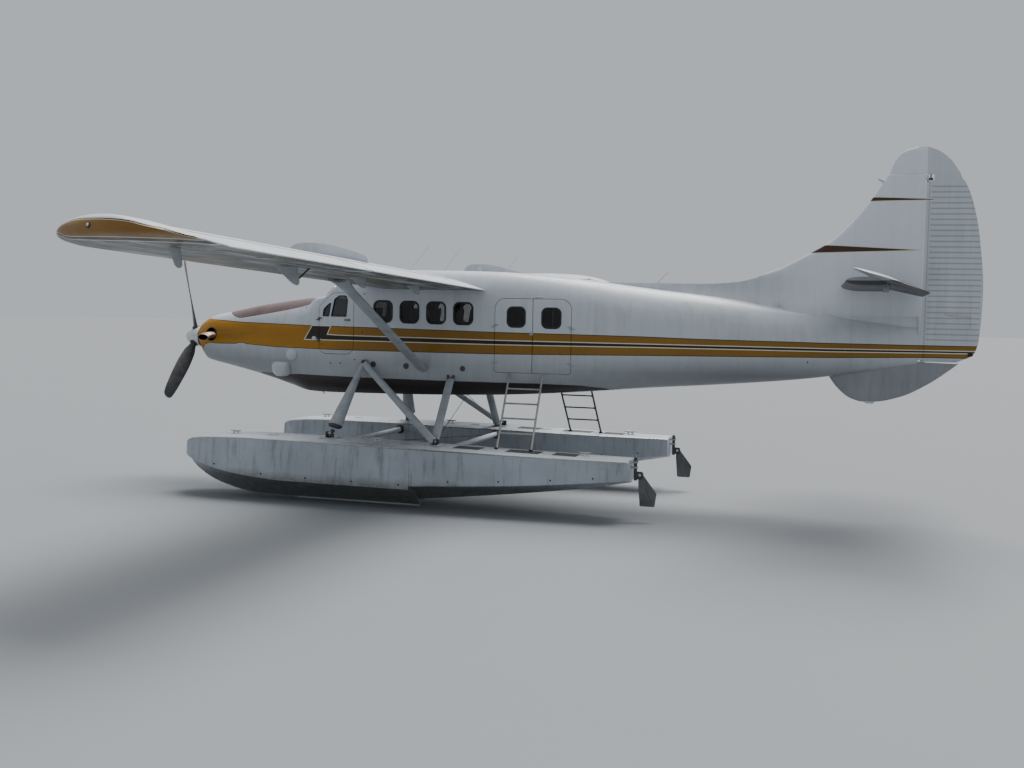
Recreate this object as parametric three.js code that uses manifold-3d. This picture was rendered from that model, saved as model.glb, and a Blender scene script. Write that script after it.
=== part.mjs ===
// High-wing single-turboprop floatplane, full size, in millimetres.
// Datum: X runs aft from the spinner's tip, Y to starboard, Z up from the propeller's axis.
// The outer group moves the datum so that the part stands on its keels about its own middle.
import * as THREE from "three";
import { mergeVertices } from "three/addons/utils/BufferGeometryUtils.js";
import Module from "manifold-3d";

const wasm = await Module();
wasm.setup();

// Driving dimensions
const LENGTH = 12790;
const KEEL_DEPTH = 2380;
const GAP = 0.3; // between pieces that rest on each other
const CLEAR = 7; // between pieces that move past each other
const ROUND = 12; // sides of a round bar

// Cabin and body
const WALL = 45;
const SKIN = 10;
const FIREWALL_X = 2550;
const CABIN_END_X = 7300;
const TAIL_END_X = 11960;
const FLOOR_Z = -430;
const FLOOR_THICK = 40;
const GLASS = 8;

// Wing
const WING = { leadX: 3714, leadZ: 954, chord: 1976, incidence: 0.0556, dihedral: 0.0351, halfSpan: 8845 };
const FLAP_HINGE_SHARE = 0.75;
const FLAP_SPAN = { in: 900, out: 4880 };
const AILERON_SPAN = { in: 4920, out: 8130 };
const FENCE = { y: 3500, from: 3760, to: 4985, height: 215, thick: 8 };

// Tail
const HINGE = { rudderX: 12040, rudderR: 62, elevatorX: 11560, elevatorZ: 985, elevatorR: 48 };
const ELEVATOR_DROOP = THREE.MathUtils.degToRad(18);
const TAIL_HALF_SPAN = 3230;

// Floats
const FLOAT_Y = 1580;
const FITTING = { top: [3730, 815, -310], front: [3510, 1580, -1424], rear: [5215, 1580, -1468] };
const REAR_STRUT_TOP = [5165, 815, -470];
const PAD = 14; // a strut pad's height over the deck
const WATER_RUDDER = { x: 8235, y: FLOAT_Y, top: -1470, pivotX: 8300, pivotZ: -1720 };
const POST_RADIUS = 24;
const PIVOT_RADIUS = 12;

// Propeller
const PROP = { x: 205, radius: 1345, blades: 3, first: 17, hub: 95 };

const PAINT = {
  white: new THREE.MeshStandardMaterial({ color: 0xe6e8ea, roughness: 0.35, metalness: 0 }),
  grey: new THREE.MeshStandardMaterial({ color: 0x9a9ea3, roughness: 0.5, metalness: 0.3 }),
  alloy: new THREE.MeshStandardMaterial({ color: 0xa7abb0, roughness: 0.45, metalness: 0.8 }),
  dark: new THREE.MeshStandardMaterial({ color: 0x26282b, roughness: 0.5, metalness: 0.2 }),
  steel: new THREE.MeshStandardMaterial({ color: 0x6d6f72, roughness: 0.4, metalness: 0.9 }),
  glass: new THREE.MeshStandardMaterial({ color: 0x5c6870, roughness: 0.05, metalness: 0 }),
  fabric: new THREE.MeshStandardMaterial({ color: 0x4a4e58, roughness: 0.9, metalness: 0 }),
};

// Body stations, nose to tail: x, top, bottom, half width, and the share of each half
// that the upper and the lower corners round off
const BODY = [
  { x: 290, top: 195, bottom: -235, half: 205, upper: 1, lower: 1 },
  { x: 340, top: 262, bottom: -300, half: 262, upper: 1, lower: 1 },
  { x: 450, top: 318, bottom: -362, half: 305, upper: 1, lower: 1 },
  { x: 640, top: 381, bottom: -415, half: 345, upper: 0.95, lower: 0.95 },
  { x: 910, top: 433, bottom: -466, half: 385, upper: 0.92, lower: 0.9 },
  { x: 1500, top: 553, bottom: -585, half: 480, upper: 0.85, lower: 0.8 },
  { x: 2210, top: 668, bottom: -745, half: 620, upper: 0.75, lower: 0.6 },
  { x: 2550, top: 716, bottom: -822, half: 690, upper: 0.68, lower: 0.5 },
  { x: 2640, top: 732, bottom: -828, half: 708, upper: 0.66, lower: 0.48 },
  { x: 2800, top: 868, bottom: -830, half: 735, upper: 0.58, lower: 0.45 },
  { x: 3060, top: 1070, bottom: -828, half: 775, upper: 0.46, lower: 0.42 },
  { x: 3250, top: 1112, bottom: -824, half: 792, upper: 0.42, lower: 0.4 },
  { x: 3600, top: 1132, bottom: -820, half: 800, upper: 0.4, lower: 0.4 },
  { x: 4500, top: 1148, bottom: -806, half: 800, upper: 0.4, lower: 0.4 },
  { x: 5700, top: 1135, bottom: -768, half: 800, upper: 0.42, lower: 0.42 },
  { x: 6650, top: 1077, bottom: -712, half: 785, upper: 0.5, lower: 0.5 },
  { x: 7300, top: 1010, bottom: -658, half: 745, upper: 0.6, lower: 0.58 },
  { x: 8200, top: 900, bottom: -578, half: 640, upper: 0.75, lower: 0.7 },
  { x: 9200, top: 790, bottom: -498, half: 500, upper: 0.88, lower: 0.82 },
  { x: 10300, top: 640, bottom: -390, half: 340, upper: 0.95, lower: 0.9 },
  { x: 11300, top: 500, bottom: -235, half: 190, upper: 1, lower: 0.95 },
  { x: 11960, top: 420, bottom: -110, half: 85, upper: 1, lower: 1 },
];

// Float stations, bow to stern: x, deck height, deck half width, chine height, chine half width, keel height
const FLOAT = [
  { x: 1070, deck: -1650, deckHalf: 70, chine: -1730, chineHalf: 75, keel: -1790 },
  { x: 1130, deck: -1570, deckHalf: 170, chine: -1770, chineHalf: 180, keel: -1900 },
  { x: 1300, deck: -1500, deckHalf: 270, chine: -1830, chineHalf: 280, keel: -2050 },
  { x: 1700, deck: -1458, deckHalf: 370, chine: -1930, chineHalf: 385, keel: -2230 },
  { x: 2300, deck: -1438, deckHalf: 425, chine: -2010, chineHalf: 455, keel: -2345 },
  { x: 3000, deck: -1436, deckHalf: 450, chine: -2050, chineHalf: 490, keel: -2360 },
  { x: 5000, deck: -1460, deckHalf: 450, chine: -2060, chineHalf: 490, keel: -2360 },
  { x: 5001, deck: -1460, deckHalf: 450, chine: -2010, chineHalf: 478, keel: -2270 },
  { x: 6400, deck: -1482, deckHalf: 400, chine: -1930, chineHalf: 420, keel: -2110 },
  { x: 7600, deck: -1497, deckHalf: 320, chine: -1830, chineHalf: 335, keel: -1940 },
  { x: 8180, deck: -1500, deckHalf: 280, chine: -1770, chineHalf: 290, keel: -1830 },
];

// Fin sections upwards: height, leading edge, thickness at the hinge
const FIN = [
  { z: 560, lead: 9400, thick: 170 },
  { z: 1116, lead: 9685, thick: 165 },
  { z: 1225, lead: 9977, thick: 160 },
  { z: 1393, lead: 10299, thick: 155 },
  { z: 1617, lead: 10688, thick: 148 },
  { z: 1944, lead: 11030, thick: 138 },
  { z: 2226, lead: 11250, thick: 128 },
  { z: 2560, lead: 11460, thick: 118 },
];

// Rudder sections upwards: height, nose, trailing edge, thickness
const RUDDER = [
  { z: -75, trail: 12480, thick: 104 },
  { z: 46, trail: 12702, thick: 108 },
  { z: 263, trail: 12762, thick: 112 },
  { z: 906, trail: 12790, thick: 120 },
  { z: 1652, trail: 12721, thick: 118 },
  { z: 2007, trail: 12657, thick: 114 },
  { z: 2327, trail: 12561, thick: 108 },
  { z: 2566, trail: 12440, thick: 100 },
];
const RUDDER_HORN = [
  { z: 2574, nose: 11478, trail: 12436, thick: 100 },
  { z: 2755, nose: 11548, trail: 12309, thick: 84 },
  { z: 2900, nose: 11676, trail: 12136, thick: 60 },
  { z: 2958, nose: 11850, trail: 11990, thick: 20 },
];

// A closed geometry as a solid, its faces turned to point out
function solidFrom(geometry) {
  const bare = geometry.index ? geometry.toNonIndexed() : geometry.clone();
  bare.deleteAttribute("normal");
  bare.deleteAttribute("uv");
  const merged = mergeVertices(bare, 1e-3);
  const triVerts = new Uint32Array(merged.index.array);
  const vertProperties = merged.attributes.position.array;
  const made = new wasm.Manifold(new wasm.Mesh({ numProp: 3, vertProperties, triVerts }));
  if (made.volume() > 0) return made;
  for (let i = 0; i < triVerts.length; i += 3) {
    [triVerts[i + 1], triVerts[i + 2]] = [triVerts[i + 2], triVerts[i + 1]];
  }
  return new wasm.Manifold(new wasm.Mesh({ numProp: 3, vertProperties, triVerts }));
}

// A skin over rings of equally many points, closed by a fan at each end
function loft(rings) {
  const count = rings[0].length;
  const position = [];
  const index = [];
  rings.forEach((ring) => ring.forEach((p) => position.push(...p)));
  for (let r = 0; r + 1 < rings.length; r++) {
    for (let i = 0; i < count; i++) {
      const j = (i + 1) % count;
      const [a, b, c, d] = [r * count + i, r * count + j, (r + 1) * count + j, (r + 1) * count + i];
      const starboard = [a, b, c, d].reduce((sum, v) => sum + position[3 * v + 1], 0) > 0;
      index.push(...(starboard ? [a, b, c, a, c, d] : [a, b, d, b, c, d]));
    }
  }
  [0, rings.length - 1].forEach((r) => {
    const ring = rings[r];
    const middle = [0, 1, 2].map((k) => ring.reduce((sum, p) => sum + p[k], 0) / count);
    const centre = position.length / 3;
    position.push(...middle);
    for (let i = 0; i < count; i++) {
      const [a, b] = [r * count + i, r * count + ((i + 1) % count)];
      index.push(...(r === 0 ? [centre, b, a] : [centre, a, b]));
    }
  });
  const geometry = new THREE.BufferGeometry();
  geometry.setAttribute("position", new THREE.Float32BufferAttribute(position, 3));
  geometry.setIndex(index);
  return solidFrom(geometry);
}

// An outline pushed along one axis: its two columns are the other two axes in X, Y, Z order
function prism(outline, axis, from, to) {
  const shape = new THREE.Shape(outline.map(([a, b]) => new THREE.Vector2(a, b)));
  const geometry = new THREE.ExtrudeGeometry(shape, { depth: to - from, bevelEnabled: false });
  const turn = new THREE.Matrix4();
  if (axis === "x") turn.set(0, 0, 1, from, 1, 0, 0, 0, 0, 1, 0, 0, 0, 0, 0, 1);
  if (axis === "y") turn.set(1, 0, 0, 0, 0, 0, 1, from, 0, 1, 0, 0, 0, 0, 0, 1);
  if (axis === "z") turn.set(1, 0, 0, 0, 0, 1, 0, 0, 0, 0, 1, from, 0, 0, 0, 1);
  return solidFrom(geometry.applyMatrix4(turn));
}

// A block between two corners
function block(low, high) {
  const size = high.map((v, i) => v - low[i]);
  const geometry = new THREE.BoxGeometry(...size);
  geometry.translate(...low.map((v, i) => v + size[i] / 2));
  return solidFrom(geometry);
}

// A round bar between two points, its second radius the first unless given
function bar(from, to, radius, endRadius = radius, sides = ROUND) {
  const a = new THREE.Vector3(...from);
  const b = new THREE.Vector3(...to);
  const along = b.clone().sub(a);
  const geometry = new THREE.CylinderGeometry(endRadius, radius, along.length(), sides);
  geometry.applyQuaternion(new THREE.Quaternion().setFromUnitVectors(new THREE.Vector3(0, 1, 0), along.normalize()));
  geometry.translate(...a.add(b).multiplyScalar(0.5).toArray());
  return solidFrom(geometry);
}

// The radius of a hole whose flats clear a bar of the given radius
function holeFor(radius, gap = GAP) {
  return (radius + gap) / Math.cos(Math.PI / ROUND);
}

// A streamlined strut between two points, its chord along X
function strut(from, to, chord, thick, endChord = chord, endThick = thick) {
  const along = new THREE.Vector3(...to).sub(new THREE.Vector3(...from)).normalize();
  const chordWay = new THREE.Vector3(1, 0, 0).addScaledVector(along, -along.x).normalize();
  const thickWay = new THREE.Vector3().crossVectors(along, chordWay);
  const ring = (at, c, t) =>
    Array.from({ length: 14 }, (_, i) => {
      const turn = (i / 14) * 2 * Math.PI;
      const p = new THREE.Vector3(...at);
      p.addScaledVector(chordWay, (Math.cos(turn) * c) / 2);
      p.addScaledVector(thickWay, (Math.sin(turn) * t) / 2);
      return p.toArray();
    });
  return loft([ring(from, chord, thick), ring(to, endChord, endThick)]);
}

function join(...solids) {
  return solids.reduce((sum, s) => sum.add(s));
}

function piece(parent, name, solid, material) {
  const made = solid.getMesh();
  const geometry = new THREE.BufferGeometry();
  geometry.setAttribute("position", new THREE.BufferAttribute(made.vertProperties, 3));
  geometry.setIndex(new THREE.BufferAttribute(made.triVerts, 1));
  const mesh = new THREE.Mesh(geometry, material);
  mesh.name = name;
  parent.add(mesh);
  return mesh;
}

// A piece on the port side and its mirror image to starboard
function pair(parent, name, solid, material) {
  piece(parent, name + "_port", solid, material);
  const other = piece(parent, name + "_starboard", solid, material);
  other.scale.y = -1;
}

// The body's ring at a station, set in by a skin's thickness
const CORNER_STEPS = 4;
const LEAST_FLAT = 4; // between two corners that would otherwise meet in one point
function bodyRing(s, inset = 0) {
  const middle = (s.top + s.bottom) / 2;
  const high = (s.top - s.bottom) / 2;
  const ring = [];
  for (let q = 0; q < 4; q++) {
    const share = q < 2 ? s.upper : s.lower;
    const [ry, rz] = [Math.min(share * s.half, s.half - LEAST_FLAT), Math.min(share * high, high - LEAST_FLAT)];
    const sy = q === 0 || q === 3 ? 1 : -1;
    const sz = q < 2 ? 1 : -1;
    for (let i = 0; i <= CORNER_STEPS; i++) {
      const turn = ((q + i / CORNER_STEPS) * Math.PI) / 2;
      const y = sy * (s.half - ry) + (ry - inset) * Math.cos(turn);
      const z = middle + sz * (high - rz) + (rz - inset) * Math.sin(turn);
      ring.push([s.x, y, z]);
    }
  }
  return ring;
}

function bodyAt(x) {
  const next = BODY.findIndex((s) => s.x >= x);
  const [a, b] = [BODY[Math.max(next - 1, 0)], BODY[next]];
  const t = b.x === a.x ? 0 : (x - a.x) / (b.x - a.x);
  const mix = (k) => a[k] + (b[k] - a[k]) * t;
  return { x, top: mix("top"), bottom: mix("bottom"), half: mix("half"), upper: mix("upper"), lower: mix("lower") };
}

function bodySolid(from, to, inset = 0) {
  const inner = BODY.filter((s) => s.x > from && s.x < to);
  return loft([bodyAt(from), ...inner, bodyAt(to)].map((s) => bodyRing(s, inset)));
}

// A rounded outline in X and Z: low corner, high corner, radii of the bottom and the top corners
function panelOutline(low, high, bottomRadius, topRadius = bottomRadius, grow = 0) {
  const corners = [
    { x: low[0], z: low[1], r: bottomRadius, from: 180 },
    { x: high[0], z: low[1], r: bottomRadius, from: 270 },
    { x: high[0], z: high[1], r: topRadius, from: 0 },
    { x: low[0], z: high[1], r: topRadius, from: 90 },
  ];
  const steps = 3;
  return corners.flatMap(({ x, z, r, from }) => {
    const cx = x + (from === 180 || from === 90 ? r : -r);
    const cz = z + (from === 180 || from === 270 ? r : -r);
    return Array.from({ length: steps + 1 }, (_, i) => {
      const turn = THREE.MathUtils.degToRad(from + (90 * i) / steps);
      return [cx + (r + grow) * Math.cos(turn), cz + (r + grow) * Math.sin(turn)];
    });
  });
}

const WINDOW = { wide: 320, high: 345, radius: 95, z: 492, firstX: 4025, pitch: 443, count: 4 };
const DOORS = {
  cockpit: { low: [2905, -190], high: [3520, 770], bottom: 150, top: 60, side: -1 },
  cargoFront: { low: [5867, -390], high: [6453, 722], bottom: 40, top: 40, side: -1 },
  cargoRear: { low: [6463, -390], high: [7048, 722], bottom: 40, top: 40, side: -1 },
  starboard: { low: [6350, -390], high: [7048, 722], bottom: 40, top: 160, side: 1 },
};

function windowHole(x, z, grow = 0) {
  const [w, h] = [WINDOW.wide / 2, WINDOW.high / 2];
  return panelOutline([x - w, z - h], [x + w, z + h], WINDOW.radius, WINDOW.radius, grow);
}

const COCKPIT_PANE = [
  [3095, 400],
  [3350, 400],
  [3375, 660],
  [3290, 730],
  [3215, 730],
  [3150, 660],
];
const QUARTER_PANE = [
  [2935, 400],
  [3050, 400],
  [3065, 610],
];

function sidePrism(outline, side, from = 400, to = 1200) {
  return side < 0 ? prism(outline, "y", -to, -from) : prism(outline, "y", from, to);
}

const group = new THREE.Group();
group.position.set(-LENGTH / 2, 0, KEEL_DEPTH);

const outer = bodySolid(BODY[0].x, TAIL_END_X);
const outerGrown = bodySolid(BODY[0].x, TAIL_END_X, -GAP);

// Engine cowl, its engine and the exhausts
const COWL_MOUTH = 85;
const EXHAUST = { x: 700, z: 45, radius: 72, wide: 1.4, high: 0.75, hole: 112 };
function cowl() {
  const skin = bodySolid(BODY[0].x, FIREWALL_X - GAP).subtract(bodySolid(320, FIREWALL_X + 1, SKIN));
  const mouth = bar([200, 0, -17], [500, 0, -17], COWL_MOUTH);
  const chin = block([280, -140, -290], [470, 140, -190]);
  const sides = bar([EXHAUST.x, -600, EXHAUST.z], [EXHAUST.x, 600, EXHAUST.z], EXHAUST.hole);
  return skin.subtract(mouth).subtract(chin).subtract(sides);
}

const ENGINE = { from: 760, to: 2080, radius: 235 };
function engineBlock() {
  const core = bar([ENGINE.from, 0, 0], [ENGINE.to, 0, 0], ENGINE.radius);
  const mounts = [-1, 1].flatMap((sy) =>
    [-1, 1].map((sz) =>
      bar([ENGINE.to - 60, sy * 150, sz * 140], [FIREWALL_X - GAP, sy * 330, sz * 330 - 20], 18, 18, 8),
    ),
  );
  const wall = block([FIREWALL_X - GAP, -900, -900], [FIREWALL_X + 100, 900, 900]);
  return join(core, ...mounts).subtract(wall);
}

function exhaust() {
  const route = new THREE.CatmullRomCurve3([
    new THREE.Vector3(EXHAUST.x + 110, -ENGINE.radius + 20, EXHAUST.z),
    new THREE.Vector3(EXHAUST.x + 30, -300, EXHAUST.z),
    new THREE.Vector3(EXHAUST.x - 10, -420, EXHAUST.z - 10),
    new THREE.Vector3(EXHAUST.x + 30, -560, EXHAUST.z - 40),
  ]);
  const section = (r) => {
    const shape = new THREE.Shape();
    shape.absellipse(0, 0, r * EXHAUST.high, r * EXHAUST.wide, 0, 2 * Math.PI);
    return shape;
  };
  const tube = (r) => solidFrom(
    new THREE.ExtrudeGeometry(section(r), { steps: 5, curveSegments: 3, extrudePath: route }),
  );
  const flange = block([ENGINE.from + 60, -ENGINE.radius - 30, -50], [ENGINE.from + 210, -ENGINE.radius - GAP, 140]);
  const core = bar([0, 0, 0], [ENGINE.to, 0, 0], ENGINE.radius + GAP);
  return join(tube(EXHAUST.radius), flange).subtract(tube(EXHAUST.radius - 9)).subtract(core);
}

// Cabin shell with its door, window and windscreen openings cut
const WINDSCREEN = [
  [2680, -40],
  [2700, -430],
  [2830, -590],
  [3030, -640],
  [3030, 640],
  [2830, 590],
  [2700, 430],
  [2680, 40],
];
function doorOutline(door, grow = 0) {
  return panelOutline(door.low, door.high, door.bottom, door.top, grow);
}

// Door hinges: a knuckle with its pin on the frame, and a knuckle with a hole on the leaf
const HINGE_OUT = 17;
const KNUCKLE = { radius: 11, pin: 6, high: 26, sides: 6 };
const DOOR_HINGES = {
  cockpit: { x: 2901.5, way: 1, side: -1, heights: [0, 330] },
  cockpitOther: { x: 2901.5, way: 1, side: 1, heights: [0, 330] },
  cargoFront: { x: 5863.5, way: 1, side: -1, heights: [-275, 285] },
  cargoRear: { x: 7051.5, way: -1, side: -1, heights: [-275, 270] },
  starboard: { x: 6346.5, way: 1, side: 1, heights: [-275, 285] },
};
function spanBlock(x, y, z) {
  const [low, high] = [x, y, z].map(([a, b]) => [Math.min(a, b), Math.max(a, b)]).reduce(
    ([lows, highs], [a, b]) => [[...lows, a], [...highs, b]], [[], []]);
  return block(low, high);
}

function knuckle({ x, side }, reach, low, high) {
  const half = bodyAt(x).half;
  const at = (out) => side * (half + out);
  const plate = spanBlock([x + reach * 8, x + reach * 55], [at(-20), at(20)], [low, high]);
  const y = at(HINGE_OUT);
  return join(plate, bar([x, y, low], [x, y, high], KNUCKLE.radius, KNUCKLE.radius, KNUCKLE.sides));
}

function frameKnuckles(hinge) {
  const y = hinge.side * (bodyAt(hinge.x).half + HINGE_OUT);
  return hinge.heights.map((z) => {
    const pin = bar([hinge.x, y, z], [hinge.x, y, z + 2 * KNUCKLE.high], KNUCKLE.pin, KNUCKLE.pin, KNUCKLE.sides);
    return knuckle(hinge, -hinge.way, z, z + KNUCKLE.high).add(pin);
  });
}

function leafKnuckles(hinge) {
  const y = hinge.side * (bodyAt(hinge.x).half + HINGE_OUT);
  const radius = (KNUCKLE.pin + GAP) / Math.cos(Math.PI / KNUCKLE.sides);
  return hinge.heights.map((z) => {
    const [low, high] = [z + KNUCKLE.high + GAP, z + 2 * KNUCKLE.high];
    const hole = bar([hinge.x, y, low - 5], [hinge.x, y, high + 5], radius, radius, KNUCKLE.sides);
    return knuckle(hinge, hinge.way, low, high).subtract(hole);
  });
}

function cabinWindows(side) {
  return Array.from({ length: WINDOW.count }, (_, i) =>
    sidePrism(windowHole(WINDOW.firstX + i * WINDOW.pitch, WINDOW.z - i * 3), side),
  );
}

function cabinShell() {
  const hollow = bodySolid(FIREWALL_X + WALL, CABIN_END_X + 1, WALL);
  let shell = bodySolid(FIREWALL_X, CABIN_END_X).subtract(hollow);
  const doors = [
    [DOORS.cockpit, -1],
    [DOORS.cockpit, 1],
    [DOORS.starboard, 1],
  ];
  doors.forEach(([door, side]) => {
    shell = shell.subtract(sidePrism(doorOutline(door, CLEAR), side));
  });
  const cargo = { ...DOORS.cargoFront, high: DOORS.cargoRear.high, top: 160 };
  shell = shell.subtract(sidePrism(doorOutline(cargo, CLEAR), -1));
  [-1, 1].forEach((side) => {
    cabinWindows(side).forEach((hole) => {
      shell = shell.subtract(hole);
    });
  });
  return join(shell.subtract(prism(WINDSCREEN, "z", 600, 1300)), ...Object.values(DOOR_HINGES).flatMap(frameKnuckles));
}

// A door leaf cut from the same wall, with its window holes
function doorLeaf(outline, hinge, holes) {
  const { side } = hinge;
  let leaf = bodySolid(FIREWALL_X, CABIN_END_X)
    .subtract(bodySolid(FIREWALL_X - 1, CABIN_END_X + 1, WALL))
    .intersect(sidePrism(outline, side));
  holes.forEach((hole) => {
    leaf = leaf.subtract(sidePrism(hole, side));
  });
  return join(leaf, ...leafKnuckles(hinge));
}

// A pane inside the wall's thickness, set against the edge of its hole
function pane(outline, side, depth = 18) {
  return bodySolid(FIREWALL_X, CABIN_END_X, depth)
    .subtract(bodySolid(FIREWALL_X - 1, CABIN_END_X + 1, depth + GLASS))
    .intersect(sidePrism(outline, side));
}

const cargoOutline = { ...DOORS.cargoFront, high: DOORS.cargoRear.high, top: 160 };
function cargoLeaf(door, hinge, windowX) {
  const sheer = prism(panelOutline([5500, 300], [7500, 1300], 5), "y", -1200, -400).subtract(
    prism(doorOutline(cargoOutline), "y", -1300, -300));
  return doorLeaf(doorOutline(door), hinge, [windowHole(windowX, 445)]).subtract(sheer);
}

function glassStrip(side) {
  const last = WINDOW.firstX + (WINDOW.count - 1) * WINDOW.pitch;
  const outline = panelOutline([WINDOW.firstX - 200, 280], [last + 200, 700], 60);
  return bodySolid(FIREWALL_X, CABIN_END_X, WALL + GAP)
    .subtract(bodySolid(FIREWALL_X - 1, CABIN_END_X + 1, WALL + GAP + GLASS))
    .intersect(sidePrism(outline, side));
}

function windscreenGlass() {
  const grown = WINDSCREEN.map(([x, y]) => [x + (x < 2900 ? GAP : -GAP) * 1.5, y - Math.sign(y) * GAP * 1.5]);
  return bodySolid(FIREWALL_X, CABIN_END_X, 12)
    .subtract(bodySolid(FIREWALL_X - 1, CABIN_END_X + 1, 12 + GLASS))
    .intersect(prism(grown, "z", 600, 1300));
}

function cabinFloor() {
  return bodySolid(FIREWALL_X + WALL + GAP, CABIN_END_X - 20, WALL + GAP).intersect(
    block([FIREWALL_X + WALL + GAP, -900, FLOOR_Z - FLOOR_THICK], [CABIN_END_X - 20, 900, FLOOR_Z]),
  );
}

function instrumentPanel() {
  const board = block([2840, -560, 90], [2880, 560, 540]);
  const shade = block([2770, -540, 540], [2960, 540, 565]);
  const pedestal = block([2845, -110, FLOOR_Z + GAP], [2960, 110, 120]);
  return join(board, shade, pedestal);
}

// One seat: cushion, back and pedestal down to its rail
function seat(x, y, wide) {
  const half = wide / 2;
  const cushion = block([x - 230, y - half, FLOOR_Z + 260], [x + 230, y + half, FLOOR_Z + 390]);
  const back = prism([[x + 130, FLOOR_Z + 385], [x + 235, FLOOR_Z + 385], [x + 330, FLOOR_Z + 1000],
    [x + 250, FLOOR_Z + 1000]], "y", y - half, y + half);
  const foot = block([x - 150, y - half + 60, FLOOR_Z + 20], [x + 150, y + half - 60, FLOOR_Z + 270]);
  return join(cushion, back, foot);
}

function seatRow(rows, y, wide) {
  const rail = block([rows[0] - 260, y - 120, FLOOR_Z + GAP], [rows[rows.length - 1] + 260, y + 120, FLOOR_Z + 30]);
  return join(rail, ...rows.map((x) => seat(x, y, wide)));
}

// Tail cone, hollow and open to the cabin
function tailCone() {
  return bodySolid(CABIN_END_X + GAP, TAIL_END_X).subtract(bodySolid(CABIN_END_X, 11200, SKIN));
}

// Half an aerofoil's thickness at a share of the chord, for a thickness of one
function halfThickness(t) {
  return 5 * (0.2969 * Math.sqrt(t) - 0.126 * t - 0.3516 * t ** 2 + 0.2843 * t ** 3 - 0.1015 * t ** 4);
}

// Shares of the chord at which a wing section has its points
const FOIL_SHARES = [0, 0.012, 0.05, 0.12, 0.22, 0.35, 0.5, 0.65, 0.8, 0.9, 1];
const CAMBER = 0.035;
function camber(t) {
  return t < 0.4 ? (CAMBER / 0.16) * (0.8 * t - t * t) : (CAMBER / 0.36) * (0.2 + 0.8 * t - t * t);
}

// A wing section's upper or lower surface point, before the wing's incidence
function wingPoint(s, share, way) {
  const along = share * s.chord;
  const up = camber(share) * s.chord + way * (halfThickness(share) * s.thick + 3);
  const [c, w] = [Math.cos(WING.incidence), Math.sin(WING.incidence)];
  const z = WING.leadZ + WING.dihedral * (s.y - 800) + s.lift;
  return [WING.leadX + s.back + along * c + up * w, -s.y, z - along * w + up * c];
}

function wingRing(s) {
  const upper = FOIL_SHARES.map((t) => wingPoint(s, t, 1));
  const lower = FOIL_SHARES.map((t) => wingPoint(s, t, -1)).reverse();
  return [...upper, ...lower];
}

// Wing sections outwards: leading edge set back, trailing edge drawn in, thickness, lift of the section
function wingSection(y, back, rear, thick, lift) {
  return { y, back, chord: WING.chord - back - rear, thick, lift };
}

const WING_SECTIONS = [
  wingSection(560, 0, 0, 285, 0),
  wingSection(7750, 0, 0, 270.8, 0),
  wingSection(8030, 86, 0, 266, 0),
  wingSection(8276, 206, 0, 258, 0),
  wingSection(8480, 386, 0, 244, 2),
  wingSection(8620, 586, 70, 218, 6),
  wingSection(8760, 886, 190, 165, 12),
  wingSection(8830, 1186, 390, 90, 20),
  wingSection(WING.halfSpan, 1320, 496, 40, 24),
];

function wingAt(y) {
  const next = Math.max(1, WING_SECTIONS.findIndex((s) => s.y >= y));
  const [a, b] = [WING_SECTIONS[next - 1], WING_SECTIONS[next]];
  const t = (y - a.y) / (b.y - a.y);
  const mix = (k) => a[k] + (b[k] - a[k]) * t;
  return { y, back: mix("back"), chord: mix("chord"), thick: mix("thick"), lift: mix("lift") };
}

// The plain section that the flaps and ailerons keep out to their ends, where the tip already curves
function flapSection(y) {
  const [root, end] = WING_SECTIONS;
  return wingSection(y, 0, 0, root.thick + ((end.thick - root.thick) * (y - root.y)) / (end.y - root.y), 0);
}

// The hinge of a flap or aileron at a span station: middle of the section at its share of the chord
function wingHinge(y) {
  const s = flapSection(y);
  const [up, low] = [wingPoint(s, FLAP_HINGE_SHARE, 1), wingPoint(s, FLAP_HINGE_SHARE, -1)];
  return { x: (up[0] + low[0]) / 2, z: (up[2] + low[2]) / 2, radius: (up[2] - low[2]) / 2 };
}

// A flap or aileron: round nose about its hinge, then the wing's own surfaces to the trailing edge
const NOSE_STEPS = 6;
function wingFlap(span) {
  const rings = [span.in + CLEAR, span.out - CLEAR].map((y) => {
    const s = flapSection(y);
    const hinge = wingHinge(y);
    const shares = [0.8, 0.9, 1];
    const nose = Array.from({ length: NOSE_STEPS + 1 }, (_, i) => {
      const turn = Math.PI / 2 + (i / NOSE_STEPS) * Math.PI;
      return [hinge.x + hinge.radius * Math.cos(turn), -y, hinge.z + hinge.radius * Math.sin(turn)];
    });
    const lower = shares.map((t) => wingPoint(s, t, -1));
    const upper = shares.map((t) => wingPoint(s, t, 1)).reverse();
    return [...upper, ...nose, ...lower];
  });
  return join(loft(rings), flapPin(span, PIN_RADIUS));
}

const PIN_RADIUS = 14;
const PIN_REACH = 17;
function flapPin(span, radius) {
  const [a, b] = [span.in - PIN_REACH, span.out + PIN_REACH].map((y) => ({ y, ...wingHinge(y) }));
  return bar([a.x, -a.y, a.z], [b.x, -b.y, b.z], radius);
}

function wingCut(span) {
  const rings = [span.in, span.out].map((y) => {
    const h = wingHinge(y);
    const front = h.x - h.radius - CLEAR;
    return [
      [front, -y, h.z - 400],
      [6200, -y, h.z - 400],
      [6200, -y, h.z + 400],
      [front, -y, h.z + 400],
    ];
  });
  return loft(rings);
}

// The narrow rib between flap and aileron ends just behind the hinge
function ribCut() {
  const h = wingHinge(FLAP_SPAN.out);
  return block([h.x + 45, -AILERON_SPAN.in - 1, 0], [6200, -FLAP_SPAN.out + 1, 1600]);
}

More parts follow.
